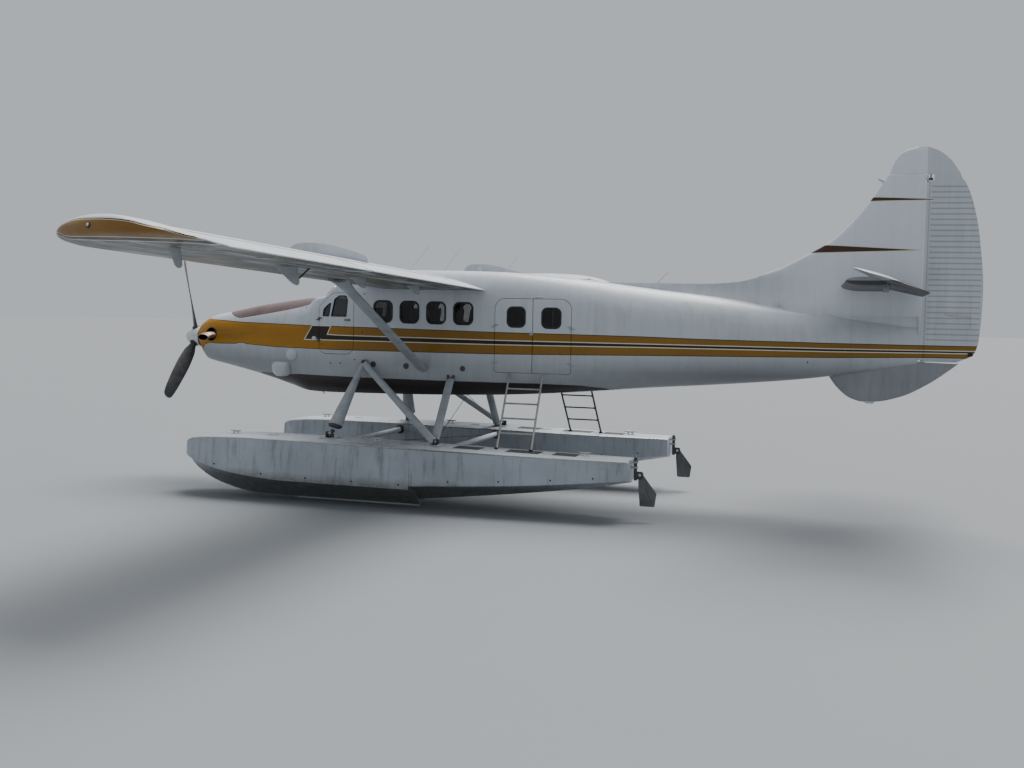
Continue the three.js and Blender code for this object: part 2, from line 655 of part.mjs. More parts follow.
// Hinge brackets below the wing: span station, forward and rear ends as shares of the chord, depth
const BRACKETS = [
  { y: 1900, from: 0.56, to: 0.69, deep: 130 },
  { y: 3750, from: 0.55, to: 0.69, deep: 145 },
  { y: 5600, from: 0.5, to: 0.695, deep: 215 },
  { y: 7950, from: 0.6, to: 0.69, deep: 190 },
];
const BRACKET_THICK = 40;
function bracket(b) {
  const s = flapSection(b.y);
  const [front, rear] = [wingPoint(s, b.from, -1), wingPoint(s, b.to, -1)];
  const outline = [
    [front[0], front[2] + 25],
    [rear[0], rear[2] + 25],
    [rear[0] - 10, rear[2] - b.deep],
    [rear[0] - 60, rear[2] - b.deep],
  ];
  return prism(outline, "y", -b.y - BRACKET_THICK / 2, -b.y + BRACKET_THICK / 2);
}

function fence() {
  const s = wingAt(FENCE.y);
  const share = (x) => (x - WING.leadX) / WING.chord;
  const base = [0.08, 0.2, 0.35, 0.5, share(FENCE.to)].map((t) => wingPoint(s, t, 1));
  const low = base.map(([x, , z]) => [x, z - 20]);
  const crest = [
    [FENCE.to, base[4][2] + 120],
    [base[3][0], base[3][2] + FENCE.height * 0.85],
    [base[2][0], base[2][2] + FENCE.height],
    [base[1][0], base[1][2] + FENCE.height * 0.9],
    [base[0][0] - 40, base[0][2] + FENCE.height * 0.55],
  ];
  return prism([...low, ...crest], "y", -FENCE.y - FENCE.thick / 2, -FENCE.y + FENCE.thick / 2);
}

const STRUT_TOP = { x: 4480, y: 3300 };
const STRUT_FOOT = [4700, 800 + 12, -395];
function strutTop() {
  const s = wingAt(STRUT_TOP.y);
  return wingPoint(s, (STRUT_TOP.x - WING.leadX) / WING.chord, -1);
}

function wing() {
  const full = loft(WING_SECTIONS.map(wingRing));
  return join(full, fence())
    .subtract(wingCut(FLAP_SPAN))
    .subtract(wingCut(AILERON_SPAN))
    .subtract(ribCut())
    .add(join(...BRACKETS.map(bracket)))
    .subtract(flapPin({ in: FLAP_SPAN.in - 2, out: FLAP_SPAN.out + 2 }, holeFor(PIN_RADIUS)))
    .subtract(flapPin({ in: AILERON_SPAN.in - 2, out: AILERON_SPAN.out + 2 }, holeFor(PIN_RADIUS)))
    .subtract(outerGrown);
}

// A wing strut with its upper fairing, trimmed to the wing and the body
function wingStrut(wingSolid) {
  const top = strutTop();
  const foot = [STRUT_FOOT[0], -STRUT_FOOT[1] + 40, STRUT_FOOT[2]];
  const past = [0, 1, 2].map((k) => top[k] + (top[k] - foot[k]) * 0.04);
  const beam = strut(foot, past, 175, 75);
  const [low, high] = [0.9, 1.04].map((t) => [0, 1, 2].map((k) => foot[k] + (top[k] - foot[k]) * t));
  const cuff = strut(low, high, 185, 85, 330, 130);
  const wingGrown = loft(WING_SECTIONS.slice(0, 2).map((s) => wingRing({ ...s, thick: s.thick + 2, lift: 0 })));
  return join(beam, cuff).subtract(wingGrown).subtract(outerGrown).subtract(wingSolid);
}

// A tail surface's section, blunt at its rear face, between a nose and a rear plane
const TAIL_SHARES = [0, 0.03, 0.12, 0.3, 0.6, 1];
function tailHalf(t) {
  return Math.sqrt(Math.min(1, 1 - (1 - Math.min(t / 0.45, 1)) ** 2));
}

function finRing(s, rear) {
  const side = (way) => TAIL_SHARES.map((t) => {
    const half = Math.max(5, (s.thick / 2) * tailHalf(t));
    return [s.lead + t * (rear - s.lead), way * half, s.z];
  });
  return [...side(1), ...side(-1).reverse()];
}

const FIN_REAR = HINGE.rudderX - HINGE.rudderR - CLEAR;
const LUG = { low: 2490, thick: 30 };
function fin() {
  const upright = loft(FIN.map((s) => finRing(s, FIN_REAR)));
  const dorsal = loft(
    [
      { x: 7330, top: 1004, base: 20 },
      { x: 8200, top: 1000, base: 150 },
      { x: 8860, top: 997, base: 210 },
      { x: 9390, top: 1031, base: 230 },
      { x: 9685, top: 1100, base: 230 },
      { x: 10300, top: 1300, base: 190 },
      { x: 11000, top: 1000, base: 140 },
      { x: FIN_REAR, top: 900, base: 84 },
    ].map(({ x, top, base }) => {
      const foot = bodyAt(Math.min(x, TAIL_END_X)).top - 180;
      return [
        [x, -base, foot],
        [x, base, foot],
        [x, base * 0.42, foot + (top - foot) * 0.55],
        [x, 12, top],
        [x, -12, top],
        [x, -base * 0.42, foot + (top - foot) * 0.55],
      ];
    }),
  );
  const post = block([TAIL_END_X - 30, -60, -40], [FIN_REAR, 60, 900]);
  const lug = block([FIN_REAR - 20, -18, LUG.low], [HINGE.rudderX + 30, 18, LUG.low + LUG.thick]);
  const pinHole = bar([HINGE.rudderX, 0, 2400], [HINGE.rudderX, 0, 2560], holeFor(PIN_RADIUS));
  return join(upright, dorsal, post, lug)
    .subtract(pinHole)
    .subtract(outerGrown)
    .subtract(stabilizerCore(GAP))
    .subtract(bar([HINGE.elevatorX, -200, HINGE.elevatorZ], [HINGE.elevatorX, 200, HINGE.elevatorZ], holeFor(24)));
}

// Rudder: round nose about its hinge, notched for the upper hinge lug, with a horn over the fin
function rudderRing(s) {
  const r = s.thick / 2;
  const nose = Array.from({ length: NOSE_STEPS + 1 }, (_, i) => {
    const turn = Math.PI / 2 + (i / NOSE_STEPS) * Math.PI;
    return [HINGE.rudderX + r * Math.cos(turn), r * Math.sin(turn), s.z];
  });
  return [[s.trail, 5, s.z], ...nose, [s.trail, -5, s.z]];
}

function hornRing(s) {
  const wide = s.trail - s.nose;
  const side = (way) => [0, 0.06, 0.2, 0.45, 0.7, 1].map((t) => {
    const half = Math.max(5, (s.thick / 2) * (t < 0.45 ? tailHalf(t) : 1 - 0.9 * ((t - 0.45) / 0.55)));
    return [s.nose + t * wide, way * half, s.z];
  });
  return [...side(1), ...side(-1).reverse()];
}

function rudder() {
  const blade = loft(RUDDER.map(rudderRing));
  const horn = loft(RUDDER_HORN.map(hornRing));
  const neck = block([HINGE.rudderX, -40, 2500], [12360, 40, 2600]);
  const notch = block([HINGE.rudderX - 90, -70, LUG.low - CLEAR], [HINGE.rudderX + 45, 70, 2574]);
  const pin = bar([HINGE.rudderX, 0, LUG.low - CLEAR - 30], [HINGE.rudderX, 0, 2600], PIN_RADIUS);
  const footPin = bar([HINGE.rudderX, 0, -110], [HINGE.rudderX, 0, 0], PIN_RADIUS);
  return join(blade, horn, neck).subtract(notch).add(pin).add(footPin);
}

// Ventral fin below the tail, its foot of the rudder's hinge in its upper edge
const VENTRAL = [
  [10716, -290],
  [10867, -491],
  [11051, -633],
  [11232, -681],
  [11407, -673],
  [11754, -586],
  [12092, -408],
  [12358, -216],
  [12505, -95],
];
function ventralFin() {
  const top = [
    [12060, -86],
    [11960, -80],
    [10716, -180],
  ];
  const plate = prism([...VENTRAL, ...top], "y", -28, 28);
  const hole = bar([HINGE.rudderX, 0, -140], [HINGE.rudderX, 0, 0], holeFor(PIN_RADIUS));
  return plate.subtract(outerGrown).subtract(hole);
}

// Stabilizer halves through the fin: y, leading edge, rear plane is at the elevator's hinge
const STABILIZER = [
  { y: 0, lead: 10870, thick: 150 },
  { y: 2950, lead: 11020, thick: 100 },
];
function stabilizerRing(s, grow, way) {
  const rear = HINGE.elevatorX - HINGE.elevatorR - CLEAR;
  const side = (up) => TAIL_SHARES.map((t) => {
    const half = Math.max(5, (s.thick / 2) * tailHalf(t)) + grow;
    return [s.lead - grow + t * (rear - s.lead + 2 * grow), way * s.y, HINGE.elevatorZ + up * half];
  });
  return [...side(1), ...side(-1).reverse()];
}

function stabilizerCore(grow = 0) {
  const rings = [-1, 1].map((way) => STABILIZER.map((s) => stabilizerRing(s, grow, way)));
  return loft([rings[0][1], rings[0][0], rings[1][1]]);
}

// Elevators: both halves on one tube, drooped as the photo shows, with horn tips ahead of the hinge
const ELEVATOR = [
  { y: 130, trail: 12010, thick: 96 },
  { y: 2964, trail: 12010, thick: 80 },
];
const ELEVATOR_TIP = [
  { y: 2966, nose: 11070, trail: 12010, thick: 78 },
  { y: 3120, nose: 11110, trail: 11990, thick: 60 },
  { y: TAIL_HALF_SPAN, nose: 11330, trail: 11880, thick: 20 },
];
function elevatorHalf(way) {
  const z = HINGE.elevatorZ;
  const flat = loft(ELEVATOR.map((s) => {
    const r = s.thick / 2;
    const nose = Array.from({ length: NOSE_STEPS + 1 }, (_, i) => {
      const turn = Math.PI / 2 + (i / NOSE_STEPS) * Math.PI;
      return [HINGE.elevatorX + r * Math.cos(turn), way * s.y, z + r * Math.sin(turn)];
    });
    return [[s.trail, way * s.y, z + 5], ...nose, [s.trail, way * s.y, z - 5]];
  }));
  const tip = loft(ELEVATOR_TIP.map((s) => hornRing({ ...s, z: 0 }).map(([x, up]) => [x, way * s.y, z + up])));
  const neck = block(
    [HINGE.elevatorX, Math.min(way * 2940, way * 2990), z - 30],
    [11900, Math.max(way * 2940, way * 2990), z + 30],
  );
  return join(flat, tip, neck);
}

function elevator() {
  const tube = bar([HINGE.elevatorX, -160, HINGE.elevatorZ], [HINGE.elevatorX, 160, HINGE.elevatorZ], 24);
  return join(elevatorHalf(-1), elevatorHalf(1), tube);
}

// Propeller blade sections outwards: radius, chord, thickness, pitch in degrees
const BLADE = [
  { r: 60, chord: 90, thick: 80, pitch: 55 },
  { r: 200, chord: 110, thick: 62, pitch: 50 },
  { r: 360, chord: 190, thick: 36, pitch: 43 },
  { r: 700, chord: 235, thick: 22, pitch: 34 },
  { r: 1080, chord: 215, thick: 15, pitch: 27 },
  { r: 1300, chord: 160, thick: 10, pitch: 23 },
  { r: PROP.radius, chord: 70, thick: 6, pitch: 22 },
];
function bladeSolid(turnDeg) {
  const rings = BLADE.map(({ r, chord, thick, pitch }) => {
    const p = THREE.MathUtils.degToRad(pitch);
    return Array.from({ length: 10 }, (_, i) => {
      const a = (i / 10) * 2 * Math.PI;
      const [u, v] = [(Math.cos(a) * chord) / 2, (Math.sin(a) * thick) / 2];
      return [PROP.x - u * Math.sin(p) + v * Math.cos(p), u * Math.cos(p) + v * Math.sin(p), r];
    });
  });
  const t = THREE.MathUtils.degToRad(turnDeg);
  return loft(rings.map((ring) => ring.map(([x, y, z]) => [
    x, y * Math.cos(t) - z * Math.sin(t), y * Math.sin(t) + z * Math.cos(t)])));
}

const bladeTurns = Array.from({ length: PROP.blades }, (_, i) => PROP.first + (i * 360) / PROP.blades);
function propeller() {
  const hub = bar([PROP.x - 60, 0, 0], [PROP.x + 62, 0, 0], PROP.hub);
  const shaft = bar([PROP.x, 0, 0], [ENGINE.from - GAP, 0, 0], 45);
  return join(hub, shaft, ...bladeTurns.map(bladeSolid));
}

const SPINNER = { rear: 270, radius: 192, skin: 6, sides: 16 };
function spinnerProfile(inset) {
  const steps = 5;
  const curve = Array.from({ length: steps + 1 }, (_, i) => {
    const t = i / steps;
    const x = inset + t * (SPINNER.rear - inset);
    const r = (SPINNER.radius - inset) * Math.sqrt(1 - (1 - t) ** 2);
    return new THREE.Vector2(r, -x);
  });
  return [...curve, new THREE.Vector2(0, -SPINNER.rear)];
}

function spinner() {
  const turned = (inset) => {
    const geometry = new THREE.LatheGeometry(spinnerProfile(inset), SPINNER.sides);
    geometry.rotateZ(Math.PI / 2);
    return solidFrom(geometry);
  };
  const hollow = turned(SPINNER.skin);
  const holes = bladeTurns.map((turn) => {
    const t = THREE.MathUtils.degToRad(turn);
    return bar([PROP.x, 0, 0], [PROP.x, -260 * Math.sin(t), 260 * Math.cos(t)], 75, 75, 8);
  });
  let shell = turned(0).subtract(hollow);
  holes.forEach((hole) => {
    shell = shell.subtract(hole);
  });
  const plate = bar([PROP.x + 62 + GAP, 0, 0], [SPINNER.rear, 0, 0], 188, 188, SPINNER.sides)
    .subtract(bar([PROP.x, 0, 0], [300, 0, 0], holeFor(45)));
  return shell.add(plate);
}

// A float hull with its keel strip and deck cleats
function floatRing(s, grow = 0, way = -1) {
  const crown = 30;
  const half = [
    { out: s.deckHalf * 0.5, z: s.deck + grow },
    { out: s.deckHalf + grow, z: s.deck - crown },
    { out: s.chineHalf + grow, z: s.chine },
    { out: 12, z: s.keel },
  ];
  const side = (out) => half.map((p) => [s.x, way * FLOAT_Y + out * p.out, p.z]);
  return [...side(-1), ...side(1).reverse()];
}

function deckAt(x) {
  const next = FLOAT.findIndex((s) => s.x >= x);
  const [a, b] = [FLOAT[next - 1], FLOAT[next]];
  return a.deck + ((b.deck - a.deck) * (x - a.x)) / (b.x - a.x);
}

const KEEL_STRIP = { from: 2990, to: 4995, half: 22 };
function cleat(x) {
  const [y, z] = [-FLOAT_Y, deckAt(x)];
  const legs = [-35, 35].map((d) => block([x + d - 12, y - 12, z - 20], [x + d + 12, y + 12, z + 45]));
  return join(...legs, bar([x - 95, y, z + 45], [x + 95, y, z + 45], 13, 13, 8));
}

function floatHull() {
  const hull = loft(FLOAT.map((s) => floatRing(s)));
  const mid = -FLOAT_Y;
  const strip = block(
    [KEEL_STRIP.from, mid - KEEL_STRIP.half, -KEEL_DEPTH],
    [KEEL_STRIP.to, mid + KEEL_STRIP.half, -KEEL_DEPTH + 40],
  );
  const cleats = [1900, 4300, 7500].map(cleat);
  const feet = [FITTING.front, FITTING.rear].map(([x]) =>
    block([x - 130, mid - 130, deckAt(x) - 25], [x + 130, mid + 130, deckAt(x) + PAD]),
  );
  const bumper = bar([1082, mid, -1840], [1082, mid, -1660], 45, 45, 8);
  const { x } = WATER_RUDDER;
  const gudgeons = [-1540, -1615].map((z) => block([8150, mid - 38, z - 12], [x + 38, mid + 38, z + 12]));
  const hole = bar([x, mid, -1900], [x, mid, -1400], holeFor(POST_RADIUS));
  return join(hull, strip, bumper, ...cleats, ...feet, ...gudgeons).subtract(hole);
}

// Forward pair of float struts, meeting at the body fitting: a fat tapered leg and a diagonal
function footCut(x) {
  return block([x - 400, -2200, -1800], [x + 400, -1000, deckAt(x) + PAD + GAP]);
}

function forwardStruts() {
  const [tx, ty, tz] = FITTING.top;
  const [fx, fy] = FITTING.front;
  const [rx, ry] = FITTING.rear;
  const top = [tx, -ty - 45, tz];
  const front = strut([fx, -fy, deckAt(fx)], top, 235, 120, 60, 50);
  const diagonal = strut([rx + 45, -ry - 50, deckAt(rx)], top, 125, 60, 105, 55);
  const knuckle = bar([tx, -ty + 60, tz], [tx, -ty - 75, tz], 42);
  return join(front, diagonal, knuckle).subtract(footCut(fx)).subtract(footCut(rx)).subtract(outerGrown);
}

function rearStrut() {
  const [tx, ty, tz] = REAR_STRUT_TOP;
  const [rx, ry] = FITTING.rear;
  const leg = strut([rx - 35, -ry + 70, deckAt(rx)], [tx, -ty + 40, tz], 135, 60);
  return leg.subtract(footCut(rx)).subtract(outerGrown);
}

function spreader(x, z) {
  const tube = bar([x, -1200, z], [x, 1200, z], 42);
  const hulls = [-1, 1].map((way) => loft(FLOAT.map((s) => floatRing(s, GAP, way))));
  return tube.subtract(hulls[0]).subtract(hulls[1]);
}

// A ladder from the door sill to the float deck: two rails with rungs
function ladder(topX, footX) {
  const wide = 524;
  const top = { y: -806, z: -415 };
  const foot = { y: -1500, z: deckAt(footX - 30) + GAP };
  const rails = [0, wide].map((d) => bar([topX + d, top.y, top.z], [footX + d, foot.y, foot.z + 14], 17, 17, 6));
  const feet = [0, wide].map((d) => {
    const z = deckAt(footX + d - 30) + GAP;
    return block([footX + d - 30, foot.y - 30, z], [footX + d + 30, foot.y + 30, z + 30]);
  });
  const rungs = [0.2, 0.4, 0.6, 0.8].map((t) => {
    const [x, y, z] = [topX + (footX - topX) * t, top.y + (foot.y - top.y) * t, top.z + (foot.z - top.z) * t];
    return bar([x, y, z], [x + wide, y, z], 15, 15, 6);
  });
  return join(...rails, ...feet, ...rungs).subtract(outerGrown);
}

// Water rudder: a steering post on the stern and a lifting blade
function waterRudderPost() {
  const { x, y, top, pivotX, pivotZ } = WATER_RUDDER;
  const post = bar([x, -y, top], [x, -y, pivotZ - 80], POST_RADIUS);
  const fork = [-1, 1].map((s) =>
    block([x, -y + s * 22 - 6, pivotZ - 60], [pivotX + 45, -y + s * 22 + 6, pivotZ + 45]));
  const hole = bar([pivotX, -y - 40, pivotZ], [pivotX, -y + 40, pivotZ], holeFor(PIVOT_RADIUS));
  const seat = -1540 + 12 + GAP;
  const collar = bar([x, -y, seat], [x, -y, seat + 14], POST_RADIUS + 12);
  return join(post, collar, ...fork).subtract(hole);
}

function waterRudderBlade() {
  const { y, pivotX, pivotZ } = WATER_RUDDER;
  const outline = [
    [pivotX - 22, pivotZ + 25],
    [pivotX + 25, pivotZ + 30],
    [pivotX + 240, pivotZ - 250],
    [pivotX + 215, pivotZ - 440],
    [pivotX + 5, pivotZ - 440],
    [pivotX - 22, pivotZ - 120],
  ];
  const pin = bar([pivotX, -y - 32, pivotZ], [pivotX, -y + 32, pivotZ], PIVOT_RADIUS);
  return join(prism(outline, "y", -y - 8, -y + 8), pin);
}

// Fixed airframe
const wingSolid = wing();
piece(group, "engine_cowl", cowl(), PAINT.white);
piece(group, "engine_block", engineBlock(), PAINT.steel);
pair(group, "exhaust", exhaust(), PAINT.steel);
piece(group, "cabin_shell", cabinShell(), PAINT.white);
piece(group, "cabin_floor", cabinFloor(), PAINT.grey);
piece(group, "instrument_panel", instrumentPanel(), PAINT.dark);
pair(group, "crew_seat", seatRow([3420], -330, 470), PAINT.fabric);
pair(group, "cabin_seats", seatRow([4150, 4850, 5500], -410, 480), PAINT.fabric);
piece(group, "tail_cone", tailCone(), PAINT.white);
piece(group, "fin", fin(), PAINT.white);
piece(group, "ventral_fin", ventralFin(), PAINT.grey);
piece(group, "stabilizer", stabilizerCore(), PAINT.white);
pair(group, "wing", wingSolid, PAINT.white);
pair(group, "wing_strut", wingStrut(wingSolid), PAINT.grey);
piece(group, "windscreen", windscreenGlass(), PAINT.glass);
piece(group, "window_glass_port", glassStrip(-1), PAINT.glass);
piece(group, "window_glass_starboard", glassStrip(1), PAINT.glass);

// Floats and what carries them
pair(group, "float", floatHull(), PAINT.alloy);
pair(group, "forward_float_struts", forwardStruts(), PAINT.grey);
pair(group, "rear_float_strut", rearStrut(), PAINT.grey);
piece(group, "spreader_front", spreader(3530, -1555), PAINT.white);
piece(group, "spreader_rear", spreader(5280, -1555), PAINT.white);
piece(group, "ladder_port", ladder(6111, 6157), PAINT.alloy);
const otherLadder = piece(group, "ladder_starboard", ladder(6400, 6490), PAINT.alloy);
otherLadder.scale.y = -1;

// Moving pieces
piece(group, "propeller", propeller(), PAINT.dark);
piece(group, "spinner", spinner(), PAINT.white);
pair(group, "flap", wingFlap(FLAP_SPAN), PAINT.white);
pair(group, "aileron", wingFlap(AILERON_SPAN), PAINT.white);
piece(group, "rudder", rudder(), PAINT.white);
const droop = new THREE.Group();
droop.position.set(HINGE.elevatorX, 0, HINGE.elevatorZ);
droop.rotation.y = ELEVATOR_DROOP;
group.add(droop);
const elevatorMesh = piece(droop, "elevator", elevator(), PAINT.white);
elevatorMesh.position.set(-HINGE.elevatorX, 0, -HINGE.elevatorZ);
pair(group, "water_rudder_post", waterRudderPost(), PAINT.dark);
pair(group, "water_rudder_blade", waterRudderBlade(), PAINT.alloy);

const cockpitHoles = [COCKPIT_PANE, QUARTER_PANE];
pair(group, "cockpit_door", doorLeaf(doorOutline(DOORS.cockpit), DOOR_HINGES.cockpit, cockpitHoles), PAINT.white);
piece(group, "cargo_door_front", cargoLeaf(DOORS.cargoFront, DOOR_HINGES.cargoFront, 6200), PAINT.white);
piece(group, "cargo_door_rear", cargoLeaf(DOORS.cargoRear, DOOR_HINGES.cargoRear, 6745), PAINT.white);
piece(group, "cabin_door_starboard",
  doorLeaf(doorOutline(DOORS.starboard), DOOR_HINGES.starboard, [windowHole(6745, 440)]), PAINT.white);
pair(group, "cockpit_door_glass", pane(COCKPIT_PANE.map(([x, z]) => [x, z]), -1), PAINT.glass);
piece(group, "cargo_glass_front", pane(windowHole(6200, 445, -GAP), -1), PAINT.glass);
piece(group, "cargo_glass_rear", pane(windowHole(6745, 445, -GAP), -1), PAINT.glass);
piece(group, "cabin_door_glass", pane(windowHole(6745, 440, -GAP), 1), PAINT.glass);

export default group;
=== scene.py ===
import itertools
import math

import bmesh
import bpy
import numpy as np
from mathutils import Matrix, Vector
from mathutils.geometry import delaunay_2d_cdt


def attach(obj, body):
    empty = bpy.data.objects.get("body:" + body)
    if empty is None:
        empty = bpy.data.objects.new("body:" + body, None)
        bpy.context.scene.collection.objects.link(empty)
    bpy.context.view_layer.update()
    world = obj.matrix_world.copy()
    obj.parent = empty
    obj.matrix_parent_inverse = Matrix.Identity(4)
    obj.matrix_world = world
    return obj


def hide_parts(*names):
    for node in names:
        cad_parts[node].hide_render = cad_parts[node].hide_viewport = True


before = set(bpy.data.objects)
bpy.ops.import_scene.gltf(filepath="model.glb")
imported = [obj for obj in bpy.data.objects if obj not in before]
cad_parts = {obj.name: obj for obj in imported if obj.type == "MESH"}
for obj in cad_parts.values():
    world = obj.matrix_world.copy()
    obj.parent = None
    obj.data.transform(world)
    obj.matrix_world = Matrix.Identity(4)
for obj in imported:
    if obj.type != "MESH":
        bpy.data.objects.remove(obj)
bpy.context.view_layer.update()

# Datum in metres: X aft from the spinner's tip, Y to starboard, Z up from the propeller's axis
OFFSET = np.array([-6.395, 0.0, 2.380])
PORT = -1
STARBOARD = 1
SIDES = ((PORT, "port"), (STARBOARD, "starboard"))
# The tables over the body's length run to this station
CURVE_REACH = 13.0
# Whole pitches added ahead of a modulo: a pattern holds down to this many pitches below zero.
# Rivets along a height end at about -1.41 for this reason, so the float hulls show none.
PERIODS = 40
RIVET_STEP = 0.035
RIVET_RADIUS = 0.0045


# Node graphs for the materials
class Graph:
    def __init__(self, name, color=(0.8, 0.8, 0.8), rough=0.5, metal=0.0, **sockets):
        self.material = bpy.data.materials.new(name)
        self.material.use_nodes = True
        self.tree = self.material.node_tree
        self.bsdf = self.tree.nodes["Principled BSDF"]
        self.set("Base Color", color)
        self.set("Roughness", rough)
        self.set("Metallic", metal)
        for key, value in sockets.items():
            self.set(key.replace("_", " "), value)
        self.heights = []
        self.place = None
        self.shine = None

    def set(self, name, value):
        if isinstance(value, bpy.types.NodeSocket):
            self.tree.links.new(value, self.bsdf.inputs[name])
        elif isinstance(value, tuple) and len(value) == 3:
            self.bsdf.inputs[name].default_value = (*value, 1)
        else:
            self.bsdf.inputs[name].default_value = value

    def node(self, kind, **settings):
        node = self.tree.nodes.new(kind)
        for key, value in settings.items():
            setattr(node, key, value)
        return node

    def feed(self, socket, value):
        if isinstance(value, bpy.types.NodeSocket):
            self.tree.links.new(value, socket)
        elif isinstance(value, tuple) and len(value) == 3 and len(getattr(socket, "default_value",
                                                                          ())) == 4:
            socket.default_value = (*value, 1)
        else:
            socket.default_value = value

    def math(self, operation, a, b=0.0):
        node = self.node("ShaderNodeMath", operation=operation)
        self.feed(node.inputs[0], a)
        self.feed(node.inputs[1], b)
        return node.outputs[0]

    def add(self, a, b):
        return self.math("ADD", a, b)

    def sub(self, a, b):
        return self.math("SUBTRACT", a, b)

    def mul(self, a, b):
        return self.math("MULTIPLY", a, b)

    def above(self, a, b):
        return self.math("GREATER_THAN", a, b)

    def below(self, a, b):
        return self.math("LESS_THAN", a, b)

    def fold(self, operation, values):
        result = values[0]
        for value in values[1:]:
            result = self.math(operation, result, value)
        return result

    def low(self, *values):
        return self.fold("MINIMUM", values)

    def high(self, *values):
        return self.fold("MAXIMUM", values)

    def both(self, *values):
        return self.fold("MULTIPLY", values)

    def ramp(self, value, start, end, low=0.0, high=1.0):
        node = self.node("ShaderNodeMapRange", clamp=True)
        for socket, content in zip(node.inputs, (value, start, end, low, high)):
            self.feed(socket, content)
        return node.outputs[0]

    def mix(self, share, a, b):
        node = self.node("ShaderNodeMix", data_type="RGBA")
        self.feed(node.inputs[0], share)
        self.feed(node.inputs[6], a)
        self.feed(node.inputs[7], b)
        return node.outputs[2]

    # The surface point as X, Y and Z from the datum
    def datum(self):
        if self.place is None:
            coordinates = self.node("ShaderNodeTexCoord")
            shift = self.node("ShaderNodeVectorMath", operation="SUBTRACT")
            shift.inputs[1].default_value = tuple(OFFSET)
            self.tree.links.new(coordinates.outputs["Object"], shift.inputs[0])
            split = self.node("ShaderNodeSeparateXYZ")
            self.tree.links.new(shift.outputs[0], split.inputs[0])
            self.vector = shift.outputs[0]
            self.place = split.outputs[0], split.outputs[1], split.outputs[2]
        return self.place

    def stretched(self, scale):
        self.datum()
        node = self.node("ShaderNodeMapping")
        node.inputs["Scale"].default_value = scale
        self.tree.links.new(self.vector, node.inputs["Vector"])
        return node.outputs[0]

    def noise(self, scale=(1, 1, 1), detail=4.0, rough=0.55):
        node = self.node("ShaderNodeTexNoise")
        node.inputs["Scale"].default_value = 1.0
        node.inputs["Detail"].default_value = detail
        node.inputs["Roughness"].default_value = rough
        self.tree.links.new(self.stretched(scale), node.inputs["Vector"])
        return node.outputs[0]

    # A table of heights over stations, as straight lines between its points
    def curve(self, x, points):
        node = self.node("ShaderNodeFloatCurve")
        line = node.mapping.curves[0]
        node.mapping.use_clip = False
        scaled = [(px / CURVE_REACH, (pz + 1) / 2) for px, pz in points]
        line.points[0].location = scaled[0]
        line.points[1].location = scaled[-1]
        for point in scaled[1:-1]:
            line.points.new(*point)
        for point in line.points:
            point.handle_type = "VECTOR"
        node.mapping.update()
        self.feed(node.inputs[1], self.mul(x, 1 / CURVE_REACH))
        return self.sub(self.mul(node.outputs[0], 2.0), 1.0)

    # Distance from the nearest line of a row of lines at one pitch
    def lines(self, value, pitch, start=0.0):
        moved = self.add(self.sub(value, start), pitch / 2 + PERIODS * pitch)
        return self.math("ABSOLUTE", self.sub(self.math("MODULO", moved, pitch), pitch / 2))

    # Rivet heads beside every line of a row: a soft dome at each pitch along it
    def rivets(self, across, along, pitch, aside, start=0.0):
        off = self.sub(self.lines(across, pitch, start), aside)
        on = self.lines(along, RIVET_STEP)
        far = self.math("SQRT", self.add(self.mul(off, off), self.mul(on, on)))
        return self.ramp(far, RIVET_RADIUS, RIVET_RADIUS * 0.5)

    def raise_by(self, height, amount):
        self.heights.append(self.mul(height, amount))

    # Finish the bump from all the heights, given in metres
    def done(self):
        if self.heights:
            total = self.fold("ADD", self.heights)
            bump = self.node("ShaderNodeBump")
            bump.inputs["Strength"].default_value = 1.0
            bump.inputs["Distance"].default_value = 1.0
            self.tree.links.new(total, bump.inputs["Height"])
            self.tree.links.new(bump.outputs[0], self.bsdf.inputs["Normal"])
        return self.material


# Paint colours, linear
WHITE = (0.53, 0.565, 0.61)
WHITE_WORN = (0.42, 0.45, 0.48)
YELLOW = (0.40, 0.185, 0.004)
YELLOW_DEEP = (0.31, 0.135, 0.004)
BROWN = (0.022, 0.013, 0.010)
PALE_LINE = (0.66, 0.63, 0.52)
# The glare panel's brown, lightened by a painted sky reflection
GLARE_BROWN_WITH_REFLECTION = (0.155, 0.112, 0.108)
BELLY = (0.037, 0.032, 0.031)
SOOT = (0.03, 0.024, 0.02)
GREY_SKIN = (0.34, 0.37, 0.40)

# Paint edges on the side, as station and height: the yellow band, the dark stripe in it and the belly
BAND_TOP = [
    (0.0, 1.0), (0.49, 1.0), (0.53, 0.318), (0.77, 0.301), (1.32, 0.274), (2.17, 0.260), (2.75, 0.250),
    (3.29, 0.247),
    (4.59, 0.232), (5.84, 0.216), (7.04, 0.210), (8.10, 0.200), (8.93, 0.182), (10.75, 0.164),
    (11.99, 0.160),
    (13.0, 0.162),
]
BAND_LOW = [
    (0.0, -1.0), (0.44, -1.0), (0.455, -0.29), (0.50, -0.19), (0.56, -0.125), (0.66, -0.094),
    (0.86, -0.100), (1.24, -0.092), (1.25, -0.074),
    (1.39, -0.074), (1.40, -0.090), (2.04, -0.122), (3.29, -0.131), (5.84, -0.124), (8.10, -0.086),
    (10.75, -0.052),
    (12.0, -0.021), (13.0, -0.015),
]
STRIPE_TOP = [(0.0, 0.105), (3.05, 0.105), (3.29, 0.097), (5.84, 0.083), (8.1, 0.082), (10.75, 0.074),
              (13.0, 0.082)]
STRIPE_LOW = [(0.0, 0.028), (2.6, 0.028), (3.29, 0.032), (5.84, 0.030), (8.1, 0.046), (10.75, 0.045),
              (13.0, 0.062)]
